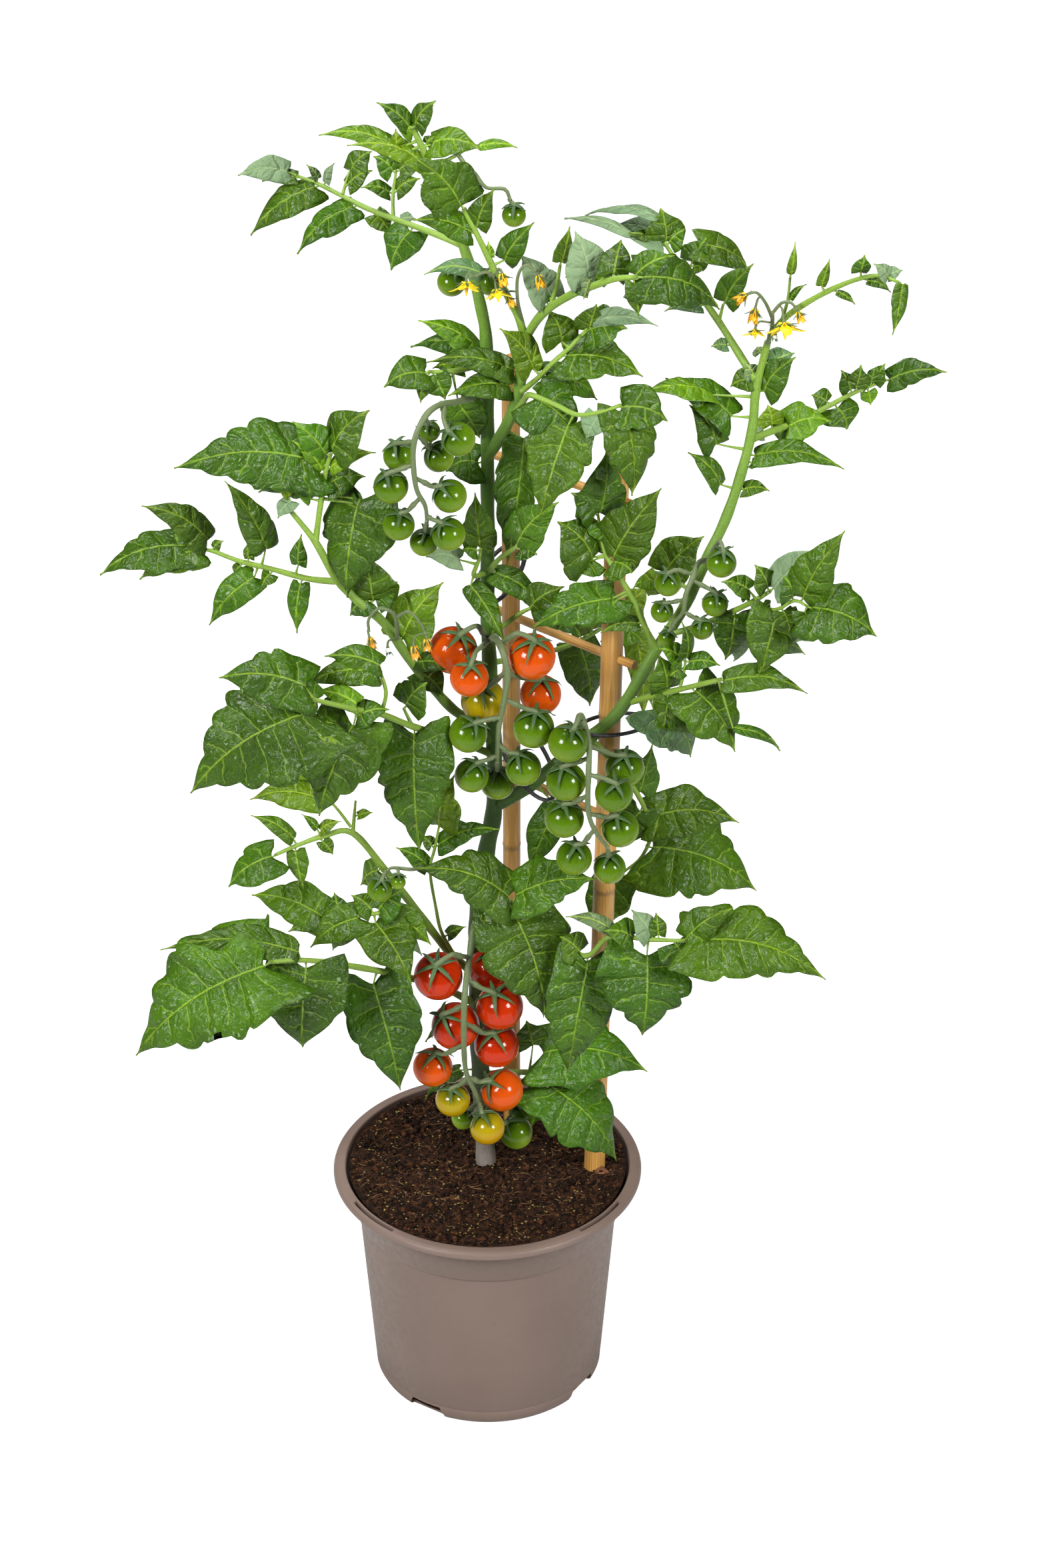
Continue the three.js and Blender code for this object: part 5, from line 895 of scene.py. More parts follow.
def frames_along(route):
    """Unit ways along, beside and over each place of a route, without twist."""
    ways = np.gradient(route, axis=0)
    ways = ways / np.maximum(np.linalg.norm(ways, axis=1, keepdims=True), 1e-9)
    first = [0.0, 1.0, 0.0] if abs(ways[0][1]) < 0.9 else [1.0, 0.0, 0.0]
    side = across_of(np.array(first), ways[0])
    sides = []
    for way in ways:
        side = across_of(side, way)
        sides.append(side)
    sides = np.array(sides)
    return ways, sides, np.cross(ways, sides)


def add_tube(skin, route, radii, sides, slot=0, tints=(1, 1, 1, 1), seed=0.0, ridge=0.0):
    """A tube along a route with rounded ends. Skin values: distance round, distance along and a seed."""
    route = np.asarray(route, float)
    radii = np.asarray(radii, float)
    _, beside, over = frames_along(route)
    turns = np.linspace(0, 2 * np.pi, sides, endpoint=False)
    swell = 1 + ridge * np.sin(3 * turns + seed)
    ring = (beside[:, None] * (np.cos(turns) * swell)[None, :, None]
            + over[:, None] * (np.sin(turns) * swell)[None, :, None])
    places = route[:, None] + ring * radii[:, None, None]
    lengths = np.concatenate([[0], np.cumsum(np.linalg.norm(np.diff(route, axis=0), axis=1))])
    wrapped = np.minimum(turns, 2 * np.pi - turns)
    values = np.stack([wrapped[None] * radii[:, None], np.repeat(lengths[:, None], sides, 1),
                       np.full((len(route), sides), seed)], -1)
    tints = np.broadcast_to(np.asarray(tints, float), (len(route), 4))
    tint = np.repeat(tints[:, None], sides, 1)
    nose = route[-1] + unit(route[-1] - route[-2]) * radii[-1] * 0.6
    ends = [route[0] - (route[1] - route[0]) * 0.01, nose]
    skin.add(np.vstack([places.reshape(-1, 3), ends]), capped_faces(len(route), sides, flip=True), slot,
             skin=np.vstack([values.reshape(-1, 3), values[0, :1], values[-1, :1]]),
             tint=np.vstack([tint.reshape(-1, 4), tint[0, :1], tint[-1, :1]]))


def add_hairs(skin, route, radii, rand, share, length, slot):
    """Fine pale hairs that stand off a stem: closed spikes of three sides."""
    _, beside, over = frames_along(route)
    spans = np.linalg.norm(np.diff(route, axis=0), axis=1)
    per_mm = HAIRS_PER_MM * share
    for i, span in enumerate(spans):
        amount = span * per_mm
        for _ in range(int(amount) + (rand.random() < amount % 1)):
            t = rand.random()
            turn = rand.uniform(0, 2 * math.pi)
            out = around(beside[i], over[i], turn)
            root = route[i] + (route[i + 1] - route[i]) * t + out * radii[i] * 0.92
            lean = np.array([rand.uniform(-0.35, 0.35) for _ in range(3)])
            tip = root + unit(out + lean) * length * rand.uniform(0.5, 1.15)
            along, off = unit(route[i + 1] - route[i]), np.cross(out, beside[i])
            base = [root + HAIR_RADIUS * (around(beside[i], off, a) + along * math.sin(a + 1))
                    for a in THIRDS]
            skin.add([*base, tip], [[0, 1, 3], [1, 2, 3], [2, 0, 3], [2, 1, 0]], slot, tint=HAIR_TINT)


# ---------- materials ----------


class Shade:
    """Short names for the nodes of one material."""

    def __init__(self, tree):
        self.tree = tree

    def node(self, kind, **settings):
        made = self.tree.nodes.new("ShaderNode" + kind)
        for key, value in settings.items():
            setattr(made, key, value)
        return made

    def feed(self, socket, value):
        if isinstance(value, bpy.types.NodeSocket):
            self.tree.links.new(value, socket)
        else:
            socket.default_value = value

    def maths(self, operation, a, b=0.0):
        made = self.node("Math", operation=operation)
        self.feed(made.inputs[0], a)
        self.feed(made.inputs[1], b)
        return made.outputs[0]

    def times(self, a, b):
        return self.maths("MULTIPLY", a, b)

    def plus(self, a, b):
        return self.maths("ADD", a, b)

    def minus(self, a, b):
        return self.maths("SUBTRACT", a, b)

    def step(self, value, low, high, to_low=0.0, to_high=1.0):
        made = self.node("MapRange", interpolation_type="SMOOTHSTEP")
        keys = ("Value", "From Min", "From Max", "To Min", "To Max")
        for key, part in zip(keys, (value, low, high, to_low, to_high)):
            self.feed(made.inputs[key], part)
        return made.outputs[0]

    def blend(self, share, a, b, kind="MIX"):
        made = self.node("Mix", data_type="RGBA", blend_type=kind)
        for socket, value in ((made.inputs[0], share), (made.inputs[6], a), (made.inputs[7], b)):
            self.feed(socket, value)
        return made.outputs[2]

    def tinted(self, a, b):
        return self.blend(1.0, a, b, "MULTIPLY")

    def value(self, name):
        """What a mesh carries at each place under a name."""
        return self.node("Attribute", attribute_name=name).outputs

    def parts(self, vector):
        made = self.node("SeparateXYZ")
        self.feed(made.inputs[0], vector)
        return made.outputs

    def place(self, vector, scale):
        made = self.node("Mapping")
        self.feed(made.inputs["Vector"], vector)
        made.inputs["Scale"].default_value = scale
        return made.outputs[0]

    def noise(self, vector, scale, detail=2.0, rough=0.5):
        made = self.node("TexNoise")
        self.feed(made.inputs["Vector"], vector)
        made.inputs["Scale"].default_value = scale
        made.inputs["Detail"].default_value = detail
        made.inputs["Roughness"].default_value = rough
        return made.outputs[0]

    def cells(self, vector, scale, feature="F1"):
        made = self.node("TexVoronoi", feature=feature)
        self.feed(made.inputs["Vector"], vector)
        made.inputs["Scale"].default_value = scale
        return made.outputs["Distance"]

    def bump(self, shader, height, strength, distance):
        made = self.node("Bump")
        made.inputs["Strength"].default_value = strength
        made.inputs["Distance"].default_value = distance * MM
        self.feed(made.inputs["Height"], height)
        self.feed(shader.inputs["Normal"], made.outputs[0])

    def where(self):
        """Object coordinates in millimetres."""
        return self.place(self.node("TexCoord").outputs["Object"], (1000, 1000, 1000))


def make_material(name, base, roughness, sheen=0.0):
    material = bpy.data.materials.new(name)
    material.use_nodes = True
    shader = material.node_tree.nodes["Principled BSDF"]
    shader.inputs["Base Color"].default_value = colour(base)
    shader.inputs["Roughness"].default_value = roughness
    shader.inputs["Sheen Weight"].default_value = sheen
    return material, shader, Shade(material.node_tree)


def leaf_material():
    """Green blades with a pale net of veins, raised between them, and painted shade in the low band along the
    net; the underside is paler and matt.
    """
    material, shader, s = make_material("leaf", "#3f7a22", 0.4)
    skin = s.value("skin")["Vector"]
    across = s.parts(skin)[0]
    phase, out, spacing = s.parts(s.value("vein")["Vector"])
    tint = s.value("tint")
    outward = s.maths("ABSOLUTE", out)
    wander = s.node("TexNoise")
    s.feed(wander.inputs["Vector"], skin)
    wander.inputs["Scale"].default_value = 0.16
    bent = s.node("VectorMath", operation="MULTIPLY_ADD")
    s.feed(bent.inputs[0], wander.outputs["Color"])
    bent.inputs[1].default_value = (2.5, 2.5, 0)
    s.feed(bent.inputs[2], skin)
    swerve = s.times(s.minus(s.noise(skin, 0.13, 2), 0.5), outward)
    turned = s.plus(s.plus(phase, 0.5), swerve)
    off_vein = s.maths("ABSOLUTE", s.minus(s.maths("FRACT", turned), 0.5))
    to_vein = s.times(off_vein, spacing)
    wide = s.minus(0.85, s.times(outward, 0.45))
    lateral = s.times(s.step(to_vein, 0.0, wide, 1.0, 0.0), s.step(outward, 0.7, 1.0, 1.0, 0.3))
    middle = s.step(s.maths("ABSOLUTE", across), 0.15, 0.8, 1.0, 0.0)
    ladder = s.node("CombineXYZ")
    s.feed(ladder.inputs["X"], s.times(across, 0.9))
    s.feed(ladder.inputs["Y"], s.times(s.times(turned, spacing), 1.25))
    lean = s.node("VectorMath", operation="MULTIPLY_ADD")
    s.feed(lean.inputs[0], wander.outputs["Color"])
    lean.inputs[1].default_value = (1.6, 1.6, 0)
    s.feed(lean.inputs[2], ladder.outputs[0])
    net_edge = s.cells(lean.outputs[0], 0.21, "DISTANCE_TO_EDGE")
    net = s.step(net_edge, 0.0, 0.06, 1.0, 0.0)
    small_edge = s.cells(bent.outputs[0], 0.5, "DISTANCE_TO_EDGE")
    fine = s.step(small_edge, 0.0, 0.09, 1.0, 0.0)
    veins = s.maths("MAXIMUM", s.times(lateral, 0.7), middle)
    veins = s.maths("MAXIMUM", veins, s.times(net, 0.22))
    veins = s.maths("MAXIMUM", veins, s.times(fine, 0.1))
    darker = s.tinted(tint["Color"], (0.5, 0.62, 0.5, 1))
    base = s.blend(s.step(s.noise(skin, 0.06, 3), 0.35, 0.68, 0.0, 0.7), tint["Color"], darker)
    lighter = s.tinted(tint["Color"], (1.7, 1.45, 1.1, 1))
    base = s.blend(s.step(s.noise(skin, 0.5, 2), 0.5, 0.75, 0.0, 0.5), base, lighter)
    # Painted shade: the colour is darkened in a band along the net's low channels, as if the raised cells
    # shaded them.
    painted_hollow_shade = s.step(net_edge, 0.0, 0.25, 0.5, 0.0)
    base = s.blend(painted_hollow_shade, base, s.tinted(base, (0.4, 0.55, 0.36, 1)))
    pale = s.blend(0.6, s.tinted(tint["Color"], (2.8, 2.2, 1.6, 1)), colour("#9ab83c"))
    top = s.blend(s.times(veins, 0.68), base, pale)
    grey = s.blend(0.6, tint["Color"], colour("#77906a"))
    under = s.blend(s.times(veins, 0.45), grey, colour("#9db27c"))
    s.feed(shader.inputs["Base Color"], s.blend(tint["Alpha"], top, under))
    gloss = s.step(s.noise(skin, 0.16, 3), 0.3, 0.7, 0.3, 0.44)
    s.feed(shader.inputs["Roughness"], s.plus(gloss, s.times(tint["Alpha"], 0.3)))
    raised = s.plus(s.step(net_edge, 0.0, 0.4), s.times(s.step(small_edge, 0.0, 0.35), 0.18))
    raised = s.plus(raised, s.times(s.maths("MAXIMUM", lateral, middle), -0.45))
    raised = s.plus(raised, s.times(s.step(off_vein, 0.0, 0.3), 1.1))
    s.bump(shader, raised, 0.65, 0.9)
    shader.inputs["Specular IOR Level"].default_value = 0.3
    return material


def stem_material():
    """Hairy green stems: streaks along, fine dark dots and a pale sheen."""
    material, shader, s = make_material("stem", "#5d8a34", 0.55, sheen=0.25)
    skin = s.value("skin")["Vector"]
    tint = s.value("tint")["Color"]
    streaks = s.step(s.noise(s.place(skin, (1.4, 0.06, 1)), 1.0, 3), 0.35, 0.68, 0.0, 0.45)
    dots = s.step(s.noise(skin, 1.5, 2, 0.6), 0.5, 0.75, 0.0, 0.6)
    base = s.blend(streaks, tint, s.tinted(tint, colour("#c9d6a0")))
    base = s.blend(dots, base, s.tinted(base, colour("#7d8466")))
    s.feed(shader.inputs["Base Color"], base)
    shader.inputs["Sheen Roughness"].default_value = 0.35
    shader.inputs["Sheen Tint"].default_value = colour("#e6f0cf")
    s.bump(shader, s.noise(s.place(skin, (1.0, 0.25, 1)), 1.3, 3), 0.35, 0.5)
    return material


def hair_material():
    """Pale hairs, all of one colour."""
    return make_material("hair", "#b4c28e", 0.6)[0]


def fruit_material(name, deep, light, crown, speckle):
    """Glossy fruit skin that turns from its shoulder's colour to its own, with fine pale specks."""
    material, shader, s = make_material(name, deep, 0.13)
    skin = s.value("skin")["Vector"]
    height = s.parts(skin)[1]
    streak = s.noise(s.place(skin, (3.2, 0.5, 1)), 1.6, 3)
    rise = s.plus(height, s.times(s.minus(streak, 0.5), 0.8))
    base = s.blend(s.step(rise, -0.9, 0.5), colour(light), colour(deep))
    base = s.blend(s.step(rise, 0.45, 1.05, 0.0, 0.85), base, colour(crown))
    specks = s.step(s.cells(s.where(), 1.1), 0.1, 0.2, 1.0, 0.0)
    base = s.blend(s.times(specks, 0.22), base, colour(speckle))
    s.feed(shader.inputs["Base Color"], base)
    shader.inputs["Subsurface Weight"].default_value = 0.05
    shader.inputs["Subsurface Radius"].default_value = (0.003, 0.001, 0.0004)
    shader.inputs["Specular IOR Level"].default_value = 0.32
    s.bump(shader, s.noise(s.where(), 0.35, 2), 0.08, 0.5)
    return material


def petal_material():
    """Thin petals whose colour comes with the flower, with fine lines along them."""
    material, shader, s = make_material("petal", "#f2cf1c", 0.5)
    tint = s.value("tint")["Color"]
    skin = s.value("skin")["Vector"]
    lines = s.step(s.noise(s.place(skin, (3.0, 0.25, 1)), 1.2, 2), 0.4, 0.7, 0.0, 0.5)
    s.feed(shader.inputs["Base Color"], s.blend(lines, tint, s.tinted(tint, colour("#d9a94a"))))
    s.bump(shader, s.noise(s.place(skin, (3.0, 0.25, 1)), 1.2, 2), 0.3, 0.3)
    return material


def pot_material():
    """Taupe moulded plastic: a fine grain, faint mottling, dust and paler scuffs."""
    material, shader, s = make_material("pot", "#82726a", 0.42)
    where = s.where()
    cloud = s.step(s.noise(where, 0.02, 3), 0.3, 0.7)
    base = s.blend(cloud, colour("#705e54"), colour("#746258"))
    dust = s.step(s.noise(where, 0.7, 4, 0.7), 0.66, 0.8, 0.0, 0.3)
    base = s.blend(dust, base, colour("#8a7a70"))
    grime = s.step(s.noise(where, 0.2, 5, 0.6), 0.62, 0.8, 0.0, 0.2)
    base = s.blend(grime, base, colour("#5d4c42"))
    s.feed(shader.inputs["Base Color"], base)
    s.feed(shader.inputs["Roughness"], s.step(s.noise(where, 0.25, 3), 0.3, 0.7, 0.36, 0.5))
    s.bump(shader, s.noise(where, 2.2, 2), 0.12, 0.2)
    return material


def soil_material():
    """Dark peat: browns that vary from crumb to crumb, with a rough, uneven face."""
    material, shader, s = make_material("soil", "#2b1b12", 0.95)
    where = s.where()
    tint = s.value("tint")["Color"]
    base = s.blend(s.step(s.noise(where, 0.25, 4, 0.7), 0.4, 0.62), colour("#0a0502"), colour("#402616"))
    base = s.blend(s.step(s.noise(where, 1.3, 3, 0.6), 0.52, 0.7, 0.0, 0.7), base, colour("#6e4a2c"))
    s.feed(shader.inputs["Base Color"], s.tinted(base, tint))
    shader.inputs["Specular IOR Level"].default_value = 0.2
    s.bump(shader, s.noise(where, 0.8, 6, 0.75), 1.0, 2.5)
    return material


def bit_material():
    """The specks, fibres and bark in the peat, in the colour that each carries."""
    material, shader, s = make_material("bits", "#7d6032", 0.85)
    tint = s.value("tint")["Color"]
    shadow = s.step(s.noise(s.where(), 1.4, 3), 0.35, 0.7, 0.0, 0.5)
    s.feed(shader.inputs["Base Color"], s.blend(shadow, tint, s.tinted(tint, colour("#8a7a66"))))
    s.bump(shader, s.noise(s.where(), 2.0, 3), 0.4, 0.4)
    return material


def bamboo_material():
    """Tan cane with long fibres, brown cracks and scars round its joints."""
    material, shader, s = make_material("bamboo", "#c79a52", 0.38)
    skin = s.value("skin")["Vector"]
    tint = s.value("tint")["Color"]
    fibre = s.noise(s.place(skin, (1.6, 0.03, 1)), 1.0, 4, 0.6)
    base = s.blend(s.step(fibre, 0.3, 0.7), colour("#a87834"), colour("#d2a660"))
    cracks = s.step(s.noise(s.place(skin, (2.6, 0.035, 1)), 1.0, 5, 0.75), 0.62, 0.7, 0.0, 0.75)
    base = s.blend(cracks, base, colour("#7a5224"))
    spots = s.step(s.noise(s.place(skin, (1.0, 0.35, 1)), 0.8, 4, 0.7), 0.66, 0.75, 0.0, 0.6)
    base = s.blend(spots, base, colour("#8a5d2b"))
    s.feed(shader.inputs["Base Color"], s.tinted(base, tint))
    s.bump(shader, s.minus(s.times(fibre, 0.5), cracks), 0.3, 0.4)
    return material


def tie_material():
    """Near-black ties, worn grey in places."""
    material, shader, s = make_material("tie", "#2a2b2c", 0.55)
    wear = s.step(s.noise(s.where(), 0.7, 3), 0.5, 0.75, 0.0, 0.5)
    s.feed(shader.inputs["Base Color"], s.blend(wear, colour("#232425"), colour("#5d5f60")))
    s.bump(shader, s.noise(s.where(), 2.0, 2), 0.2, 0.3)
    return material


# ---------- places shared with the CAD part ----------


def sighted(x, z, y):
    """The place y behind the plant's middle plane that lines up with (x, z) in that plane."""
    target = np.array([x, 0.0, z])
    return EYE + (target - EYE) * ((y - EYE[1]) / -EYE[1])


def sighted_route(stalk, spacing, thicker=1.0):
    """A stalk of the tables as a smooth route in space, with its radii."""
    points = [sighted(x, z, y) for x, z, y, _ in stalk]
    return smoothed(points, [place[3] * thicker for place in stalk], spacing)


def draws(seed):
    """The CAD part's own sequence of shares for one leaflet."""
    state = seed
    while True:
        state = (state * 16807) % 2147483647
        yield state / 2147483647


def nearest_on(stalks, x, z):
    """The place on the stalks that lines up closest with (x, z): its x, z, y and radius."""
    best, best_distance = None, float("inf")
    for stalk in stalks:
        for a, b in zip(stalk, stalk[1:]):
            dx, dz = b[0] - a[0], b[1] - a[1]
            t = ((x - a[0]) * dx + (z - a[1]) * dz) / (dx * dx + dz * dz)
            t = min(0.97, max(0.03, t))
            place = [p + (q - p) * t for p, q in zip(a, b)]
            distance = math.hypot(place[0] - x, place[1] - z)
            if distance < best_distance:
                best, best_distance = place, distance
    return best


def owner_of(name):
    """The piece that a row of PLANT is part of."""
    row = PLANT[name]
    return owner_of(row["from"]) if row.get("fused") else name


def rotated(way, axis, degrees):
    """A way turned about an axis."""
    turn = math.radians(degrees)
    return (way * math.cos(turn) + np.cross(axis, way) * math.sin(turn)
            + axis * np.dot(axis, way) * (1 - math.cos(turn)))


def facing_of(base, along, roll, draw):
    """The way a leaf faces: to the light above, outwards, and partly to the viewing side."""
    facing = unit(EYE - base) * 0.8 + UP * 0.4 + unit([base[0], base[1], 0]) * 0.25
    facing[0] += 0.3 * (next(draw) - 0.5)
    facing[1] += 0.3 * (next(draw) - 0.5)
    return across_of(rotated(facing, along, roll), along)


def bend_of(corners, x, z, y):
    """How much further back the CAD part took a leaflet's tip to pass its neighbours."""
    if corners is None:
        return 0
    gaps = [np.min(np.linalg.norm(corners - sighted(x, z, y + bend), axis=1)) for bend in BENDS]
    best = int(np.argmin(gaps))
    return BENDS[best] if gaps[best] < BEND_MISS else 0


# ---------- leaves ----------


def outline(shares, width, length, lobes, depth, offset, turn):
    """Half widths and places along a leaflet's edge: a heart-shaped foot, uneven lobes and a long point."""
    phase = shares * lobes + offset + 0.16 * np.sin(2 * np.pi * 1.3 * shares + turn)
    part = phase % 1
    rise = np.sin(np.pi / 2 * np.clip(part / CREST, 0, 1)) ** 0.8
    fall = np.cos(np.pi / 2 * np.clip((part - CREST) / (1 - CREST), 0, 1))
    uneven = 0.5 + 0.5 * np.sin(np.floor(phase) * 2.4 + turn)
    tooth = np.where(part < CREST, rise, fall)
    fade = np.clip(shares / 0.1, 0, 1) * np.clip((1 - shares) / 0.25, 0, 1)
    body = np.sin(np.pi * np.clip(shares, 0, 1) ** 0.52) ** (0.62 + 0.75 * shares)
    cut = depth * fade * (0.35 + 0.65 * uneven)
    half = body * (1 - cut * (1 - 1.25 * tooth)) * (1 + 0.05 * np.sin(5.2 * shares + turn))
    heart = 0.17 * np.clip(width / length - 0.2, 0, 0.5) / 0.35
    along = shares - heart * np.exp(-((shares - 0.08) / 0.08) ** 2)
    along = along + (tooth - 0.4) * cut * 1.1 / lobes
    return half * width / 2, along


def add_blade(skin, base, tip, width, facing, look, rand, slot=0):
    """A leaflet as a thin closed plate: rows follow its side veins, and it is quilted between them."""
    spine = tip - base
    length = np.linalg.norm(spine)
    along = unit(spine)
    normal = across_of(facing, along)
    across = np.cross(along, normal)
    lobes = look["lobes"]
    pairs = max(3, min(8, round(length / 11)))
    steps = ACROSS if width > 17 else ACROSS[::2] + (1.0,)
    rows, columns = max(11, min(46, round(length / 2.2))), 2 * len(steps) - 1
    shares = np.linspace(0.0, 1.0, rows) ** 1.08
    shares[0], shares[-1] = 0.006, 0.998
    out = np.array([*[-v for v in steps[:0:-1]], *steps])
    places = np.zeros((rows, columns, 3))
    veins = np.zeros((rows, columns, 3))
    flat = np.zeros((rows, columns, 3))
    middle = shares - 0.13 * np.sin(np.pi * shares) ** 0.8
    middle[0], middle[-1] = 0.0, 0.996
    seed = rand.uniform(0, 900)
    wave = rand.uniform(0.05, 0.15)
    curl = rand.uniform(-0.03, 0.06)
    fold = rand.uniform(-0.2, 1.0)
    twist = rand.uniform(-0.3, 0.3)
    rise = (rand.uniform(-0.02, 0.02) + ARCH_RISE * np.dot(across, UP)) * length
    for side in (-1, 1):
        turn = rand.uniform(0, SPIN)
        half, edge = outline(shares, width, length, lobes, look["depth"], rand.uniform(0.0, 0.5), turn)
        half = np.maximum(half, 0.3)
        chosen = np.where(out * side >= 0)[0]
        v = np.abs(out[chosen])[None]
        u = middle[:, None] + (edge - middle)[:, None] * v ** 1.3
        reach = half[:, None] * v
        phase = np.repeat((shares * pairs + 0.3 * (side > 0))[:, None], len(chosen), 1)
        spacing = length / pairs
        quilt = np.abs(np.sin(np.pi * phase)) ** 0.9 * np.sin(np.pi * np.clip(v, 0, 1) ** 0.75) ** 0.6
        bumps = np.sin(u * length * 0.85 + seed + 1.4 * np.sin(reach * 0.55)) * np.sin(reach * 0.8 + turn)
        lift = (look["arch"] * length * 4 * u * (1 - u) - look["droop"] * (reach - 0.5 * half[:, None])
                - 0.6 * fold * look["fold"] * reach * (1 - v)
                + look["quilt"] * (0.1 * spacing * quilt + 0.35 * bumps * (1 - v ** 4))
                + wave * half[:, None] * v ** 2 * np.sin(2 * np.pi * shares[:, None] * lobes * 0.5 + turn)
                - curl * length * np.clip((u - 0.6) / 0.4, 0, 1) ** 2 + side * twist * reach * u
                - 0.35 * (v < 0.01))
        drift = rise * np.sin(np.pi * np.clip(u, 0, 1))
        flat[:, chosen] = np.stack([side * reach, u * length, np.full_like(u, seed)], -1)
        veins[:, chosen] = np.stack([phase, np.repeat(side * v, rows, 0), np.full_like(u, spacing)], -1)
        places[:, chosen] = (base + u[..., None] * spine + (side * reach + drift)[..., None] * across
                             + lift[..., None] * normal)
    thick = (LEAF_THICKNESS / 2) * (1 - 0.4 * np.abs(out))[None, :, None] * normal
    top, under = (places + thick).reshape(-1, 3), (places - thick).reshape(-1, 3)
    count = rows * columns
    hue = np.array(look["tint"])
    tints = np.empty((count, 4))
    shade = 1 + 0.14 * np.sin(flat[..., 1] * 0.11 + seed) * np.cos(flat[..., 0] * 0.15)
    tints[:, :3] = np.clip(hue[None] * shade.reshape(-1, 1), 0, 1)
    tints[:, 3] = look["under"]
    below = tints.copy()
    below[:, 3] = 1
    skin.add(np.vstack([top, under]), plate_faces(rows, columns), slot,
             vein=np.vstack([veins.reshape(-1, 3)] * 2),
             skin=np.vstack([flat.reshape(-1, 3)] * 2), tint=np.vstack([tints, below]))


def look_of(tone, teeth, size, rand):
    """How a leaflet of a tone looks: its colour, its lobes and how quilted it is."""
    code, quilt, fold = TONES[tone]
    hue = np.array(colour(code)[:3]) * rand.uniform(0.8, 1.25)
    hue[0] *= rand.uniform(0.85, 1.2)
    lobe = 13 if teeth > 2 else 16
    return {
        "tint": hue, "quilt": quilt * min(1, size / 40), "lobes": max(2, min(7, round(size / lobe))),
        "depth": (0.04, 0.08, 0.1, 0.17)[min(teeth, 3)], "fold": fold,
        "under": 1.0 if tone == 3 and rand.random() < 0.6 else 0.0,
    }


def add_leaflet(skin, stalks, row, seed, corners, rand):
    """A leaflet of the tables with its own short stalk, facing as in the CAD part."""
    x, z, tip_x, tip_z, tip_back, seen_width, teeth, tone, roll = row
    draw = draws(seed)
    root_x, root_z, y, radius = nearest_on(stalks, x, z)
    root = sighted(root_x, root_z, y)
    tip = sighted(tip_x, tip_z, y + tip_back + bend_of(corners, tip_x, tip_z, y + tip_back))
    base = sighted(x, z, y)
    clear = radius + 1.5
    if np.linalg.norm(base - root) < clear:
        base = root + unit(tip - root) * clear
    along = unit(tip - base)
    facing = facing_of(base, along, roll, draw)
    seen = max(0.6, math.sqrt(max(0, 1 - np.dot(np.cross(along, facing), unit(EYE - base)) ** 2)))
    look = look_of(tone, teeth, np.linalg.norm(tip - base), rand)
    look["arch"] = 0.06 + 0.08 * next(draw)
    look["droop"] = 0.12 + 0.25 * next(draw)
    add_blade(skin, base, tip, seen_width / seen * FULLER, facing, look, rand)
    neck = [root, root + (base - root) * 0.6, base + along * 0.5]
    route, radii = smoothed(neck, [min(radius, 1.1), 0.6, 0.5], 3)
    add_tube(skin, route, radii, 6, slot=1, tints=[stem_tint(p) for p in route], seed=rand.uniform(0, 9))


def stem_tint(place, radius=1.0):
    """A stem's colour at a place: grey-purple at its foot, mid green, lighter high up and where it's thin."""
    height = place[2]
    stops = [(150, "#948a84"), (200, "#4c5838"), (300, "#3c5a1c"), (560, "#49731f"), (700, "#5f8a2c")]
    codes = [np.array(colour(code)) for _, code in stops]
    levels = [level for level, _ in stops]
    hue = np.array([np.interp(height, levels, [c[k] for c in codes]) for k in range(4)])
    return hue + (np.array(colour("#8aa83a")) - hue) * np.clip((4.2 - radius) / 3.2, 0, 0.75)


def add_stalks(skin, stalks, rand):
    """Hairy stalks along the routes of the tables."""
    for stalk in stalks:
        route, radii = sighted_route(stalk, 4)
        radii = radii * (1 + 0.05 * np.sin(np.arange(len(radii)) * 0.9 + rand.uniform(0, 6)))
        sides = 18 if radii[0] > 3 else 10
        tints = [stem_tint(*at) for at in zip(route, radii)]
        add_tube(skin, route, radii, sides, slot=1, tints=tints, seed=rand.uniform(0, 90), ridge=0.03)
        add_hairs(skin, route, radii, rand, radii[0] ** 0.6, HAIR_LENGTHS["stem"], 2)


def make_shoot(owner, materials):
    """A stem or compound leaf with all its leaflets, small ones too, in place of its CAD node."""
    skin = Skin()
    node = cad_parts[owner]
    corners = np.array([v.co for v in node.data.vertices]) / MM
    for index, (name, row) in enumerate(PLANT.items()):
        if owner_of(name) != owner:
            continue
        rand = random.Random(index * 31 + 7)
        add_stalks(skin, row["stalks"], rand)
        for k, leaf in enumerate(row["leaves"]):
            seed = 7919 * (index + 1) + 104729 * (k + 1)
            add_leaflet(skin, row["stalks"], leaf, seed, corners, rand)
    piece = skin.piece(owner + "_look", materials)
    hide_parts(owner)


# ---------- fruit ----------


def pose_of(row):
    """How a fruit hangs: its middle, the way its crown points and its radius."""
    x, z, y, diameter, _, crown_x, crown_z = row
    centre = sighted(x, z, y)
    to_eye = unit(EYE - centre)
    right = np.array([1.0, 0.0, 0.0])
    rise = unit(np.cross(to_eye, right))
    radius = diameter / 2
    offset = (right * (crown_x - x) + rise * (crown_z - z) * 0.83) / radius
    if np.linalg.norm(offset) > CROWN_REACH:
        offset = unit(offset) * CROWN_REACH
    crown = offset + to_eye * math.sqrt(1 - np.dot(offset, offset))
    return centre, unit(crown), radius


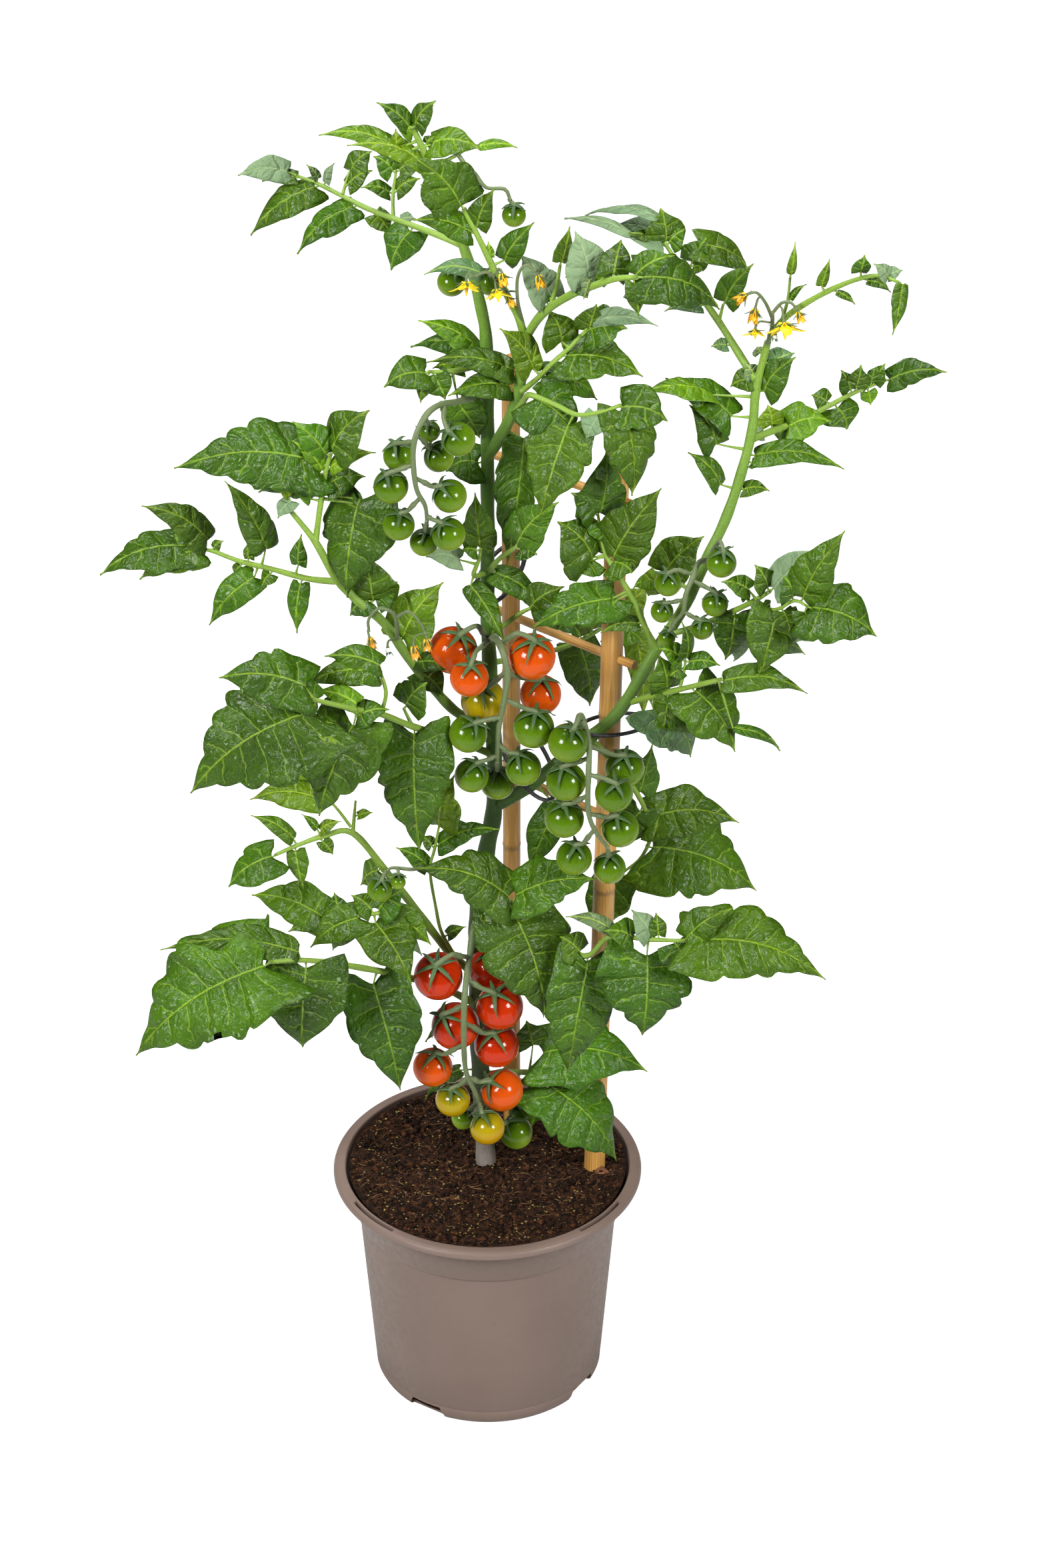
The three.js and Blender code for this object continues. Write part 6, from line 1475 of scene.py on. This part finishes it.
def add_berry(skin, centre, crown, radius, slot=0, flat=0.96):
    """A round fruit with a shallow dimple under its stalk. Skin values: turn, height share and a seed."""
    side = across_of(np.array([0.0, 0.0, 1.0] if abs(crown[2]) < 0.9 else [1.0, 0.0, 0.0]), crown)
    over = np.cross(crown, side)
    tilts = np.linspace(0.03, np.pi - 0.03, BERRY_ROWS)
    turns = np.linspace(0, 2 * np.pi, BERRY_COLUMNS, endpoint=False)
    dimple = 0.07 * np.exp(-(tilts / 0.3) ** 2)
    height = np.cos(tilts) * flat - dimple
    reach = np.sin(tilts)
    ring = side * np.cos(turns)[:, None] + over * np.sin(turns)[:, None]
    places = centre + (crown * height[:, None, None] + ring[None] * reach[:, None, None]) * radius
    wrapped = np.minimum(turns, 2 * np.pi - turns)[None] * radius
    values = np.stack(np.broadcast_arrays(wrapped, np.cos(tilts)[:, None], centre[0]), -1)
    ends = [centre + crown * radius * (flat - 0.07), centre - crown * radius * flat]
    skin.add(np.vstack([places.reshape(-1, 3), ends]), capped_faces(BERRY_ROWS, BERRY_COLUMNS), slot,
             skin=np.vstack([values.reshape(-1, 3), [[0, 1, centre[0]], [0, -1, centre[0]]]]))


def add_sepal(skin, start, way, up, length, width, rise, slot, tint):
    """A narrow pointed sepal: out from the crown, then curling up at its tip."""
    steps = 8
    shares = np.linspace(0, 1, steps)
    beside = np.cross(way, up)
    centre = start + way * (shares * length)[:, None] + up * (rise(shares))[:, None]
    half = width / 2 * np.sin(np.pi * (0.12 + 0.88 * shares) ** 0.7) ** 0.8
    half[-1] = 0.06
    keel = 0.35 * half
    raised = up * keel[:, None]
    reach = beside * half[:, None]
    rows = np.stack([centre - reach + raised, centre, centre + reach + raised], 1)
    thick = 0.28 * up
    top, under = (rows + thick).reshape(-1, 3), (rows - thick).reshape(-1, 3)
    skin.add(np.vstack([top, under]), plate_faces(steps, 3), slot,
             skin=(shares[0], length, start[0]), tint=tint)


def add_hanging(skin, stalk, row, rand):
    """A fruit's own stalk with its knuckle, and the star of sepals on its crown."""
    centre, crown, radius = pose_of(row)
    root_x, root_z, root_y, _ = nearest_on([stalk], row[5], row[6] + radius * 0.6)
    root = sighted(root_x, root_z, root_y)
    neck = centre + crown * (radius + 0.2)
    to_root = root - neck
    aside = across_of(to_root, crown)
    share = min(1, math.acos(max(-1, min(1, np.dot(crown, unit(to_root))))) / (math.pi / 2))
    bend = neck + crown * (radius * 0.2 + 1.2) + aside * radius * (0.2 + 0.5 * share)
    thick = (0.62 + radius * 0.045) * 1.2
    knee = root + (bend - root) * 0.52
    sizes = [thick, thick, thick * 1.35, thick * 0.95, thick * 1.1, thick * 1.7]
    points = [root, root + (bend - root) * 0.36, knee, bend]
    points += [neck + crown * radius * 0.12, neck - crown * radius * 0.06]
    route, radii = smoothed(points, sizes, 1.6)
    add_tube(skin, route, radii, 9, slot=0, tints=TRUSS_TINT, seed=rand.uniform(0, 90))
    add_hairs(skin, route, radii, rand, 0.8, HAIR_LENGTHS["fruit stalk"], 1)
    sepals = 5 if rand.random() < 0.75 else 6
    side = across_of(aside + np.array([0.01, 0.02, 0.03]), crown)
    over = np.cross(crown, side)
    spin = rand.uniform(0, SPIN)
    for k in range(sepals):
        turn = spin + (k + rand.uniform(-0.18, 0.18)) * 2 * math.pi / sepals
        way = around(side, over, turn)
        length = radius * rand.uniform(0.68, 0.92) + 2.0
        lift = rand.uniform(0.4, 3.6)

        def rise(shares, length=length, lift=lift):
            reach = np.minimum(shares * length, radius * 0.97)
            drop = np.sqrt(np.maximum(radius ** 2 - reach ** 2, 0)) - radius
            return drop * 0.85 + 0.5 + lift * shares ** 2 + radius * 0.06

        foot = neck - crown * radius * 0.06
        add_sepal(skin, foot, way, crown, length, 1.3 + radius * 0.09, rise, 0, SEPAL_TINT)


def make_truss(name, row, number, materials):
    """A truss: its stalk, every fruit's own stalk and calyx, and the fruit that are still green."""
    rand = random.Random(number * 101 + 5)
    skin = Skin()
    route, radii = sighted_route(row["stalk"], 2.5, THICKER)
    radii = radii * (1 + 0.06 * np.sin(np.arange(len(radii)) * 0.8))
    add_tube(skin, route, radii, 12, slot=0, tints=TRUSS_TINT, seed=number, ridge=0.04)
    add_hairs(skin, route, radii, rand, 1.4, HAIR_LENGTHS["truss"], 1)
    for fruit in row["fruit"]:
        add_hanging(skin, row["stalk"], fruit, rand)
        if fruit[4] == 0:
            add_berry(skin, *pose_of(fruit), slot=2)
    piece = skin.piece(name + "_look", materials)
    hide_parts(name)


def make_berry(name, row, material):
    """A fruit that has begun to turn, as a piece of its own."""
    skin = Skin()
    add_berry(skin, *pose_of(row))
    piece = skin.piece(name + "_look", [material])
    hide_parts(name)


# ---------- flowers ----------


def add_petal(skin, start, way, out, length, width, curve, slot, tint, tip_tint=None):
    """A narrow petal that sets out along one way and curves outwards."""
    steps = 7
    shares = np.linspace(0, 1, steps)
    turn = curve * shares
    step = length / (steps - 1)
    ways = np.cos(turn)[:, None] * way + np.sin(turn)[:, None] * out
    centre = start + np.vstack([np.zeros(3), np.cumsum((ways[1:] + ways[:-1]) / 2, axis=0)]) * step
    beside = np.cross(way, out)
    normals = np.cross(np.broadcast_to(beside, ways.shape), ways)
    half = width / 2 * np.sin(np.pi * (0.15 + 0.85 * shares) ** 0.75) ** 0.7
    half[-1] = 0.08
    raised = normals * 0.3 * half[:, None]
    reach = beside * half[:, None]
    rows = np.stack([centre - reach + raised, centre, centre + reach + raised], 1)
    thick = normals[:, None] * 0.16
    top, under = (rows + thick).reshape(-1, 3), (rows - thick).reshape(-1, 3)
    count = steps * 3
    tints = np.tile(np.asarray(tint, float), (count, 1))
    if tip_tint is not None:
        fade = np.repeat(shares, 3)[:, None] ** 2
        tints = tints * (1 - fade) + np.asarray(tip_tint) * fade
    flat = np.stack([np.tile([-1, 0, 1], steps) * np.repeat(half, 3), np.repeat(shares * length, 3),
                     np.full(count, start[0])], -1)
    skin.add(np.vstack([top, under]), plate_faces(steps, 3), slot,
             skin=np.vstack([flat, flat]), tint=np.vstack([tints, tints]))


def add_flower(skin, stalks, row, rand):
    """A flower on its bent stalk: five sepals, then petals, a cone or a small round body, by its kind."""
    x, z, y, way_x, way_z, size, kind = row
    way = unit([way_x, -0.35, way_z])
    centre = sighted(x, z, y)
    neck = centre - way * size * 0.42
    root_x, root_z, root_y, _ = nearest_on(stalks, x, z + size * 0.8)
    root = sighted(root_x, root_z, root_y)
    bend = neck - way * size * 0.4
    bend = bend + (root - bend) * 0.25
    route, radii = smoothed([root, bend, neck, neck + way * size * 0.12], [0.6, 0.6, 0.75, 1.1], 1.5)
    add_tube(skin, route, radii, 8, slot=1, tints=TRUSS_TINT, seed=x)
    add_hairs(skin, route, radii, rand, 0.6, HAIR_LENGTHS["flower"], 2)
    side = across_of(np.array([0.3, 0.2, 1.0]), way)
    over = np.cross(way, side)
    spread, sepal_spread, hue, tip_hue = FLOWER_KINDS[kind]
    start = neck + way * size * 0.1
    spin = rand.uniform(0, SPIN)
    for k in range(5):
        turn = spin + (k + rand.uniform(-0.12, 0.12)) * 2 * math.pi / 5
        out = around(side, over, turn)
        first = unit(around(way, out, sepal_spread))
        length = size * rand.uniform(0.55, 0.75)
        add_petal(skin, start, first, across_of(out, first), length, size * 0.11 + 0.5,
                  rand.uniform(0.1, 0.6), 1, SEPAL_TINT)
        if hue is None:
            continue
        turn += math.pi / 5
        out = around(side, over, turn)
        first = unit(around(way, out, spread * 0.5))
        add_petal(skin, start, first, across_of(out, first), size * rand.uniform(0.8, 0.98), size * 0.46,
                  spread * rand.uniform(0.7, 1.2), 0, colour(hue), colour(tip_hue))
    if kind == 2:
        add_berry(skin, centre - way * size * 0.1, way, size * 0.22, slot=1)
    elif kind == 0:
        cone, sizes = smoothed([start, start + way * size * 0.25, start + way * size * 0.62],
                               [size * 0.11, size * 0.12, size * 0.03], 0.8)
        add_tube(skin, cone, sizes, 10, slot=0, tints=colour("#f0c21a"), seed=x)


def make_spray(name, row, number, materials):
    """A flower spray: its stalks and every flower on them."""
    rand = random.Random(number * 57 + 3)
    skin = Skin()
    for stalk in row["stalks"]:
        route, radii = sighted_route(stalk, 2)
        add_tube(skin, route, radii, 10, slot=1, tints=TRUSS_TINT, seed=number)
        add_hairs(skin, route, radii, rand, 1, HAIR_LENGTHS["spray"], 2)
    for flower in row["flowers"]:
        add_flower(skin, row["stalks"], flower, rand)
    piece = skin.piece(name + "_look", materials)
    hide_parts(name)


# ---------- pot, soil, bamboo and ties ----------


def wall_radius(z):
    """How far out the tapering wall is at a height."""
    return POT["base"] + (POT["band"] - 1.3 - POT["base"]) * z / POT["band_height"]


def pot_profile():
    """The pot's section as (radius, height): up the outside from its foot, over the rim, down the inside."""
    base, broad, shelf = POT["base"], POT["band"], POT["band_height"]
    high, brim, mouth = POT["height"], POT["rim"], POT["mouth"]
    lip = high - 1.5 - POT["lip"]
    edge = POT["edge"]
    foot = [(base - edge, 0), (base - 2.4, 0.35), (base - 1.0, 1.3), (wall_radius(edge), edge)]
    ring = POT["foot_ring"]
    wall = [(wall_radius(ring) - 0.1, ring), (wall_radius(ring) - 0.45, ring + 0.9)]
    wall += [(wall_radius(ring + 3), ring + 3)]
    wall += [(wall_radius(z), z) for z in (40, 70, 95, shelf - 3)]
    band = [(wall_radius(shelf - 1.2), shelf - 1.2),
            (broad - 0.35, shelf - 0.25), (broad, shelf + 0.6),
            (broad + 1.3, shelf + 4), (broad + 3.5, shelf + 10),
            (brim - 7, lip - 5.5), (brim - 5, lip - 3.5), (brim - 2.2, lip - 1.4)]
    rim = [(brim - 0.8, lip), (brim - 0.1, lip + 0.9), (brim, lip + 2.2),
           (brim - 0.25, high - 2.4), (brim - 1.1, high - 1.1),
           (brim - 2.6, high - 0.45), (brim - 3.4, high - 0.4),
           (mouth + 1.2, high), (mouth + 0.5, high - 0.15),
           (mouth, high - 0.8)]
    inside = [(mouth - 0.6, lip - 1.5), (mouth - 1.4, lip - 4),
              (broad - POT["wall"], shelf + 6), (wall_radius(60) - POT["wall"], 60),
              (wall_radius(POT["floor"]) - POT["wall"], POT["floor"])]
    return foot + wall + band + rim + inside


def lathe(profile, sides):
    """A closed skin turned round the upright axis, with flat ends on the axis."""
    turns = np.linspace(0, 2 * np.pi, sides, endpoint=False)
    ring = np.stack([np.cos(turns), np.sin(turns)], -1)
    places = np.array([[(r * c, r * s, z) for c, s in ring] for r, z in profile]).reshape(-1, 3)
    ends = [(0, 0, profile[0][1]), (0, 0, profile[-1][1])]
    return np.vstack([places, ends]), capped_faces(len(profile), sides)


def block(corners, faces, name):
    """An object made of corners in millimetres and faces that are turned to face out."""
    mesh = bpy.data.meshes.new(name)
    mesh.from_pydata((np.asarray(corners) * MM).tolist(), [], faces)
    bm = bmesh.new()
    bm.from_mesh(mesh)
    bmesh.ops.recalc_face_normals(bm, faces=bm.faces)
    bm.to_mesh(mesh)
    bm.free()
    obj = bpy.data.objects.new(name, mesh)
    bpy.context.scene.collection.objects.link(obj)
    return obj


def prism(outline_low, outline_high):
    """A closed solid between two outlines of as many places."""
    count = len(outline_low)
    faces = [list(range(count)), list(range(2 * count - 1, count - 1, -1))]
    faces += [[i, (i + 1) % count, (i + 1) % count + count, i + count] for i in range(count)]
    return block([*outline_low, *outline_high], faces, "cutter")


def arch_cutter(turn):
    """One drainage arch: a low trapezoid cut through the foot of the wall."""
    c, s = math.cos(turn), math.sin(turn)
    half, high = POT["arch_width"] / 2, POT["arch_height"]

    def face(depth):
        flat = [(-half, -1), (half, -1), (half, high * 0.35)]
        flat += [(half - 2.6, high), (2.6 - half, high), (-half, high * 0.35)]
        return [(x * c - depth * s, x * s + depth * c, z) for x, z in flat]

    return prism(face(-POT["base"] - 6), face(-POT["base"] + 5))


def slot_cutter(turn):
    """A long narrow slot down through the flat of the rim, with round ends."""
    angles = np.linspace(turn - POT["slot_arc"] / 2, turn + POT["slot_arc"] / 2, 16)
    inner, outer = POT["slot_radius"] - POT["slot_width"] / 2, POT["slot_radius"] + POT["slot_width"] / 2
    loop = [(outer * math.cos(a), outer * math.sin(a)) for a in angles]
    loop += [(inner * math.cos(a), inner * math.sin(a)) for a in angles[::-1]]
    low, high = POT["height"] - 16, POT["height"] + 8
    return prism([(x, y, low) for x, y in loop], [(x, y, high) for x, y in loop])


def applied(obj):
    """The object's mesh with its modifiers worked in."""
    bpy.context.view_layer.update()
    whole = bpy.data.meshes.new_from_object(obj.evaluated_get(bpy.context.evaluated_depsgraph_get()))
    obj.modifiers.clear()
    obj.data = whole
    return obj


def make_pot():
    """The nursery pot, with its drainage arches and the slots in its rim."""
    places, faces = lathe(pot_profile(), POT_SIDES)
    pot = block(places, faces, "pot_look")
    arches = [POT["arch_turn"] + k * 360 / POT["arches"] for k in range(POT["arches"])]
    cutters = [arch_cutter(math.radians(turn)) for turn in arches]
    cutters += [slot_cutter(math.pi * turn) for turn in POT["slots"]]
    for cutter in cutters:
        cut = pot.modifiers.new("cut", "BOOLEAN")
        cut.object = cutter
        cut.solver = "EXACT"
    applied(pot)
    for cutter in cutters:
        bpy.data.objects.remove(cutter)
    pot.data.materials.clear()
    pot.data.materials.append(pot_material())
    for polygon in pot.data.polygons:
        polygon.use_smooth = True
    edges = pot.modifiers.new("edges", "EDGE_SPLIT")
    edges.split_angle = math.radians(SHARP_EDGE)
    applied(pot)
    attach(pot, "root")
    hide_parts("pot")


def soil_spot(rand, share):
    """A random place on the bed, within a share of its radius: how far out, and its turn."""
    return SOIL["radius"] * math.sqrt(rand.random()) * share, rand.uniform(0, WHOLE_TURN)


def soil_height(radius, turn):
    """How high the uneven bed is at a place."""
    share = radius / SOIL["radius"]
    lumps = (np.sin(radius * 0.31 + 2.2 * np.sin(turn * 3)) + np.sin(turn * 7 + radius * 0.23)
             + 0.6 * np.sin(turn * 13 - radius * 0.7))
    fade = np.clip((1 - share) * 8, 0.1, 1)
    return SOIL["level"] + SOIL["mound"] * (0.5 - share ** 2) + 0.55 * lumps * fade


def lump(centre, size, rand, squash=0.75):
    """A rough crumb: an eight-sided ball with uneven corners."""
    places = []
    for x, y, z in ((1, 0, 0), (-1, 0, 0), (0, 1, 0), (0, -1, 0), (0, 0, 1), (0, 0, -1)):
        reach = size * rand.uniform(0.7, 1.25)
        places.append((centre[0] + x * reach, centre[1] + y * reach, centre[2] + z * reach * squash))
    faces = [[0, 2, 4], [2, 1, 4], [1, 3, 4], [3, 0, 4], [2, 0, 5], [1, 2, 5], [3, 1, 5], [0, 3, 5]]
    return places, faces


def make_soil():
    """Peat to the rim's inner edge: a rough bed, loose crumbs, pale specks, fibres and a chip of bark."""
    rand = random.Random(11)
    skin = Skin()
    spokes = 120
    turns = np.linspace(0, 2 * np.pi, spokes, endpoint=False)
    floor, shelf = POT["floor"], POT["band_height"]
    low = [(wall_radius(floor) - 3.5, floor + 0.5), (wall_radius(shelf) - 3.5, shelf + 3)]
    rows = [[(r * math.cos(t), r * math.sin(t), z) for t in turns] for r, z in low]
    for radius in np.linspace(SOIL["radius"], 3, 30):
        heights = soil_height(radius, turns) + np.array([rand.uniform(-0.5, 0.5) for _ in turns])
        rows.append([(radius * math.cos(t), radius * math.sin(t), z) for t, z in zip(turns, heights)])
    ends = [(0, 0, floor + 0.5), (0, 0, SOIL["level"] + 2)]
    skin.add(np.vstack([np.array(rows).reshape(-1, 3), ends]), capped_faces(len(rows), spokes))
    for _ in range(SOIL["crumbs"]):
        radius, turn = soil_spot(rand, 0.985)
        size = min(3.2, 0.5 + rand.expovariate(1.6))
        height = float(soil_height(radius, turn)) + size * rand.uniform(-0.2, 0.55)
        if radius + size > SOIL["radius"] + 1.5:
            continue
        tone = rand.uniform(0.3, 1.0) ** 1.5 * 2.8
        places, faces = lump((radius * math.cos(turn), radius * math.sin(turn), height), size, rand)
        tint = (tone, tone * rand.uniform(0.9, 1.02), tone * rand.uniform(0.8, 1), 1)
        skin.add(places, faces, 0, tint=tint)
    for _ in range(SOIL["specks"]):
        radius, turn = soil_spot(rand, 0.97)
        size = rand.uniform(0.35, 1.0)
        code = rand.choice(["#8f7a34", "#a8914a", "#75602a", "#9a8a5a", "#6d4a2c"])
        height = float(soil_height(radius, turn)) + 0.7
        places, faces = lump((radius * math.cos(turn), radius * math.sin(turn), height), size, rand, 0.5)
        skin.add(places, faces, 1, tint=colour(code))
    for _ in range(SOIL["fibres"]):
        radius, turn = soil_spot(rand, 0.93)
        heading, reach = rand.uniform(0, WHOLE_TURN), rand.uniform(3, 11)
        height = float(soil_height(radius, turn)) + 0.9
        at = np.array([radius * math.cos(turn), radius * math.sin(turn), height])
        points = [at]
        for _ in range(3):
            heading += rand.uniform(-0.9, 0.9)
            at = at + np.array([math.cos(heading), math.sin(heading), rand.uniform(-0.1, 0.14)]) * reach / 3
            if math.hypot(at[0], at[1]) > SOIL["radius"]:
                break
            points.append(at)
        if len(points) > 2:
            route, radii = smoothed(points, [0.16, 0.2, 0.16, 0.1][:len(points)], 1.5)
            tint = colour(rand.choice(["#6a4528", "#7d5a33", "#533320"]))
            add_tube(skin, route, radii, 5, slot=1, tints=tint)
    x, y = SOIL["bark"]
    z = float(soil_height(math.hypot(x, y), math.atan2(y, x))) + 1.6
    corners = [(x - 4, y - 1, z - 0.8), (x + 1, y - 2.4, z - 0.2)]
    corners += [(x + 5, y + 0.5, z - 1), (x - 1, y + 4, z + 2.4)]
    faces = [[0, 1, 2, 3], [7, 6, 5, 4], [0, 4, 5, 1], [1, 5, 6, 2], [2, 6, 7, 3], [3, 7, 4, 0]]
    skin.add([*corners, *[(a, b, c - 1) for a, b, c in corners]], faces, 1, tint=colour("#8a5a3c"))
    piece = skin.piece("soil_look", [soil_material(), bit_material()])
    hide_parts("soil")


def cane_at(cane, z):
    """The middle of a cane at a height."""
    foot, head = np.array(cane["foot"]), np.array(cane["head"])
    return foot + (head - foot) * (z - foot[2]) / (head[2] - foot[2])


def make_cane(name, cane, material):
    """A bamboo cane with a ridge and a groove at each joint, worn and darker there."""
    rand = random.Random(len(name))
    foot, head, radius = cane["foot"], cane["head"], cane["radius"]
    joints = np.arange(foot[2] + NODE_SPACING * 0.7, head[2] - 10, NODE_SPACING)
    near_joints = [j + d for j in joints for d in (-3, -1.5, -0.8, 0, 0.8, 2)]
    levels = sorted({*np.arange(foot[2], head[2], CANE_STEP), *near_joints, head[2] - 0.3})
    route, radii, tints = [], [], []
    for z in levels:
        off = min(joints, key=lambda joint: abs(joint - z)) - z
        swell = 0.3 * math.exp(-(off / 1.6) ** 2) - 0.3 * math.exp(-((off - 1.9) / 0.9) ** 2) - 0.2
        route.append(cane_at(cane, z) + np.array([0.15 * math.sin(z * 0.02), 0.15 * math.cos(z * 0.017), 0]))
        radii.append(radius + swell)
        dark = 1 - 0.42 * math.exp(-((off - 1.2) / 2.2) ** 2) + 0.08 * math.sin(z * 0.05 + rand.random())
        tints.append((dark, dark * 0.97, dark * 0.92, 1))
    skin = Skin()
    add_tube(skin, route, radii, CANE_SIDES, tints=tints, seed=radius)
    piece = skin.piece(name + "_look", [material])
    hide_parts(name)


def make_rung(number, height, material):
    """A thin cane across both canes; its seed is where its CAD node stands."""
    low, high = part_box(f"rung_{number}")
    middle_y = (low[1] + high[1]) / 2 / MM
    left, right = cane_at(CANES["cane_left"], height), cane_at(CANES["cane_right"], height)
    way = unit(right - left)
    start, end = left - way * RUNG["overhang"], right + way * RUNG["overhang"]
    points = [start + (end - start) * t for t in np.linspace(0, 1, RUNG_PLACES)]
    radii = [RUNG["radius"] * (1 - 0.03 * math.sin(k * 2.1 + number)) - 0.05 for k in range(RUNG_PLACES)]
    skin = Skin()
    add_tube(skin, points, radii, RUNG_SIDES, tints=(0.92, 0.9, 0.86, 1), seed=middle_y)
    piece = skin.piece(f"rung_{number}_look", [material])
    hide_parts(f"rung_{number}")


def make_tie(name, tie, material):
    """A thin long ring round a cane and a stem, tilted a little."""
    start, end = np.array(tie["from"], float), np.array(tie["to"], float)
    along = end - start
    reach = np.linalg.norm(along) / 2 + tie["half"]
    middle = (start + end) / 2
    along = along / np.linalg.norm(along)
    places = []
    for turn in np.linspace(0, 2 * np.pi, 49)[:-1]:
        forth, aside = reach * math.cos(turn), tie["half"] * math.sin(turn)
        x = middle[0] + along[0] * forth - along[1] * aside
        y = middle[1] + along[1] * forth + along[0] * aside
        places.append([x, y, tie["height"] + tie["tilt"] * math.cos(turn)])
    places = np.array(places)
    ways = np.roll(places, -1, 0) - np.roll(places, 1, 0)
    ways = ways / np.linalg.norm(ways, axis=1, keepdims=True)
    outs = np.cross(ways, UP)
    outs = outs / np.linalg.norm(outs, axis=1, keepdims=True)
    sides = 10
    turns = np.linspace(0, 2 * np.pi, sides, endpoint=False)
    over = np.cross(outs, ways)
    ring = (outs[:, None] * np.cos(turns)[None, :, None]
            + over[:, None] * np.sin(turns)[None, :, None] * 0.8)
    corners = places[:, None] + ring * TIE_RADIUS
    count = len(places) * sides
    faces = []
    for k in range(len(places)):
        for j in range(sides):
            here, nearby = k * sides + j, k * sides + (j + 1) % sides
            faces.append([here, nearby, (nearby + sides) % count, (here + sides) % count])
    skin = Skin()
    skin.add(corners.reshape(-1, 3), faces)
    piece = skin.piece(name + "_look", [material])
    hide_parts(name)


# ---------- the whole ----------


def main():
    """The scene, then the plant's pieces one after another."""
    make_camera()
    make_world()
    make_floor()
    for name, (place, width, height, power) in SOFTBOXES.items():
        make_softbox(name, place, LIGHT_TARGET, width, height, power)
    leaf, stem, hair, petal = leaf_material(), stem_material(), hair_material(), petal_material()
    fruits = [fruit_material(*row) for row in FRUIT_SKINS]
    bamboo, tie = bamboo_material(), tie_material()
    make_pot()
    make_soil()
    for name, cane in CANES.items():
        make_cane(name, cane, bamboo)
    for number, height in enumerate(RUNG["heights"], 1):
        make_rung(number, height, bamboo)
    for name, row in TIES.items():
        make_tie(name, row, tie)
    for number, (name, row) in enumerate(TRUSSES.items(), 1):
        make_truss(name, row, number, [stem, hair, fruits[0]])
        for k, fruit in enumerate(row["fruit"], 1):
            if fruit[4]:
                make_berry(name.replace("truss", "tomato") + str(k), fruit, fruits[fruit[4]])
    for number, (name, row) in enumerate(SPRAYS.items(), 1):
        make_spray(name, row, number, [petal, stem, hair])
    for name, row in PLANT.items():
        if not row.get("fused"):
            make_shoot(name, [leaf, stem, hair])


main()
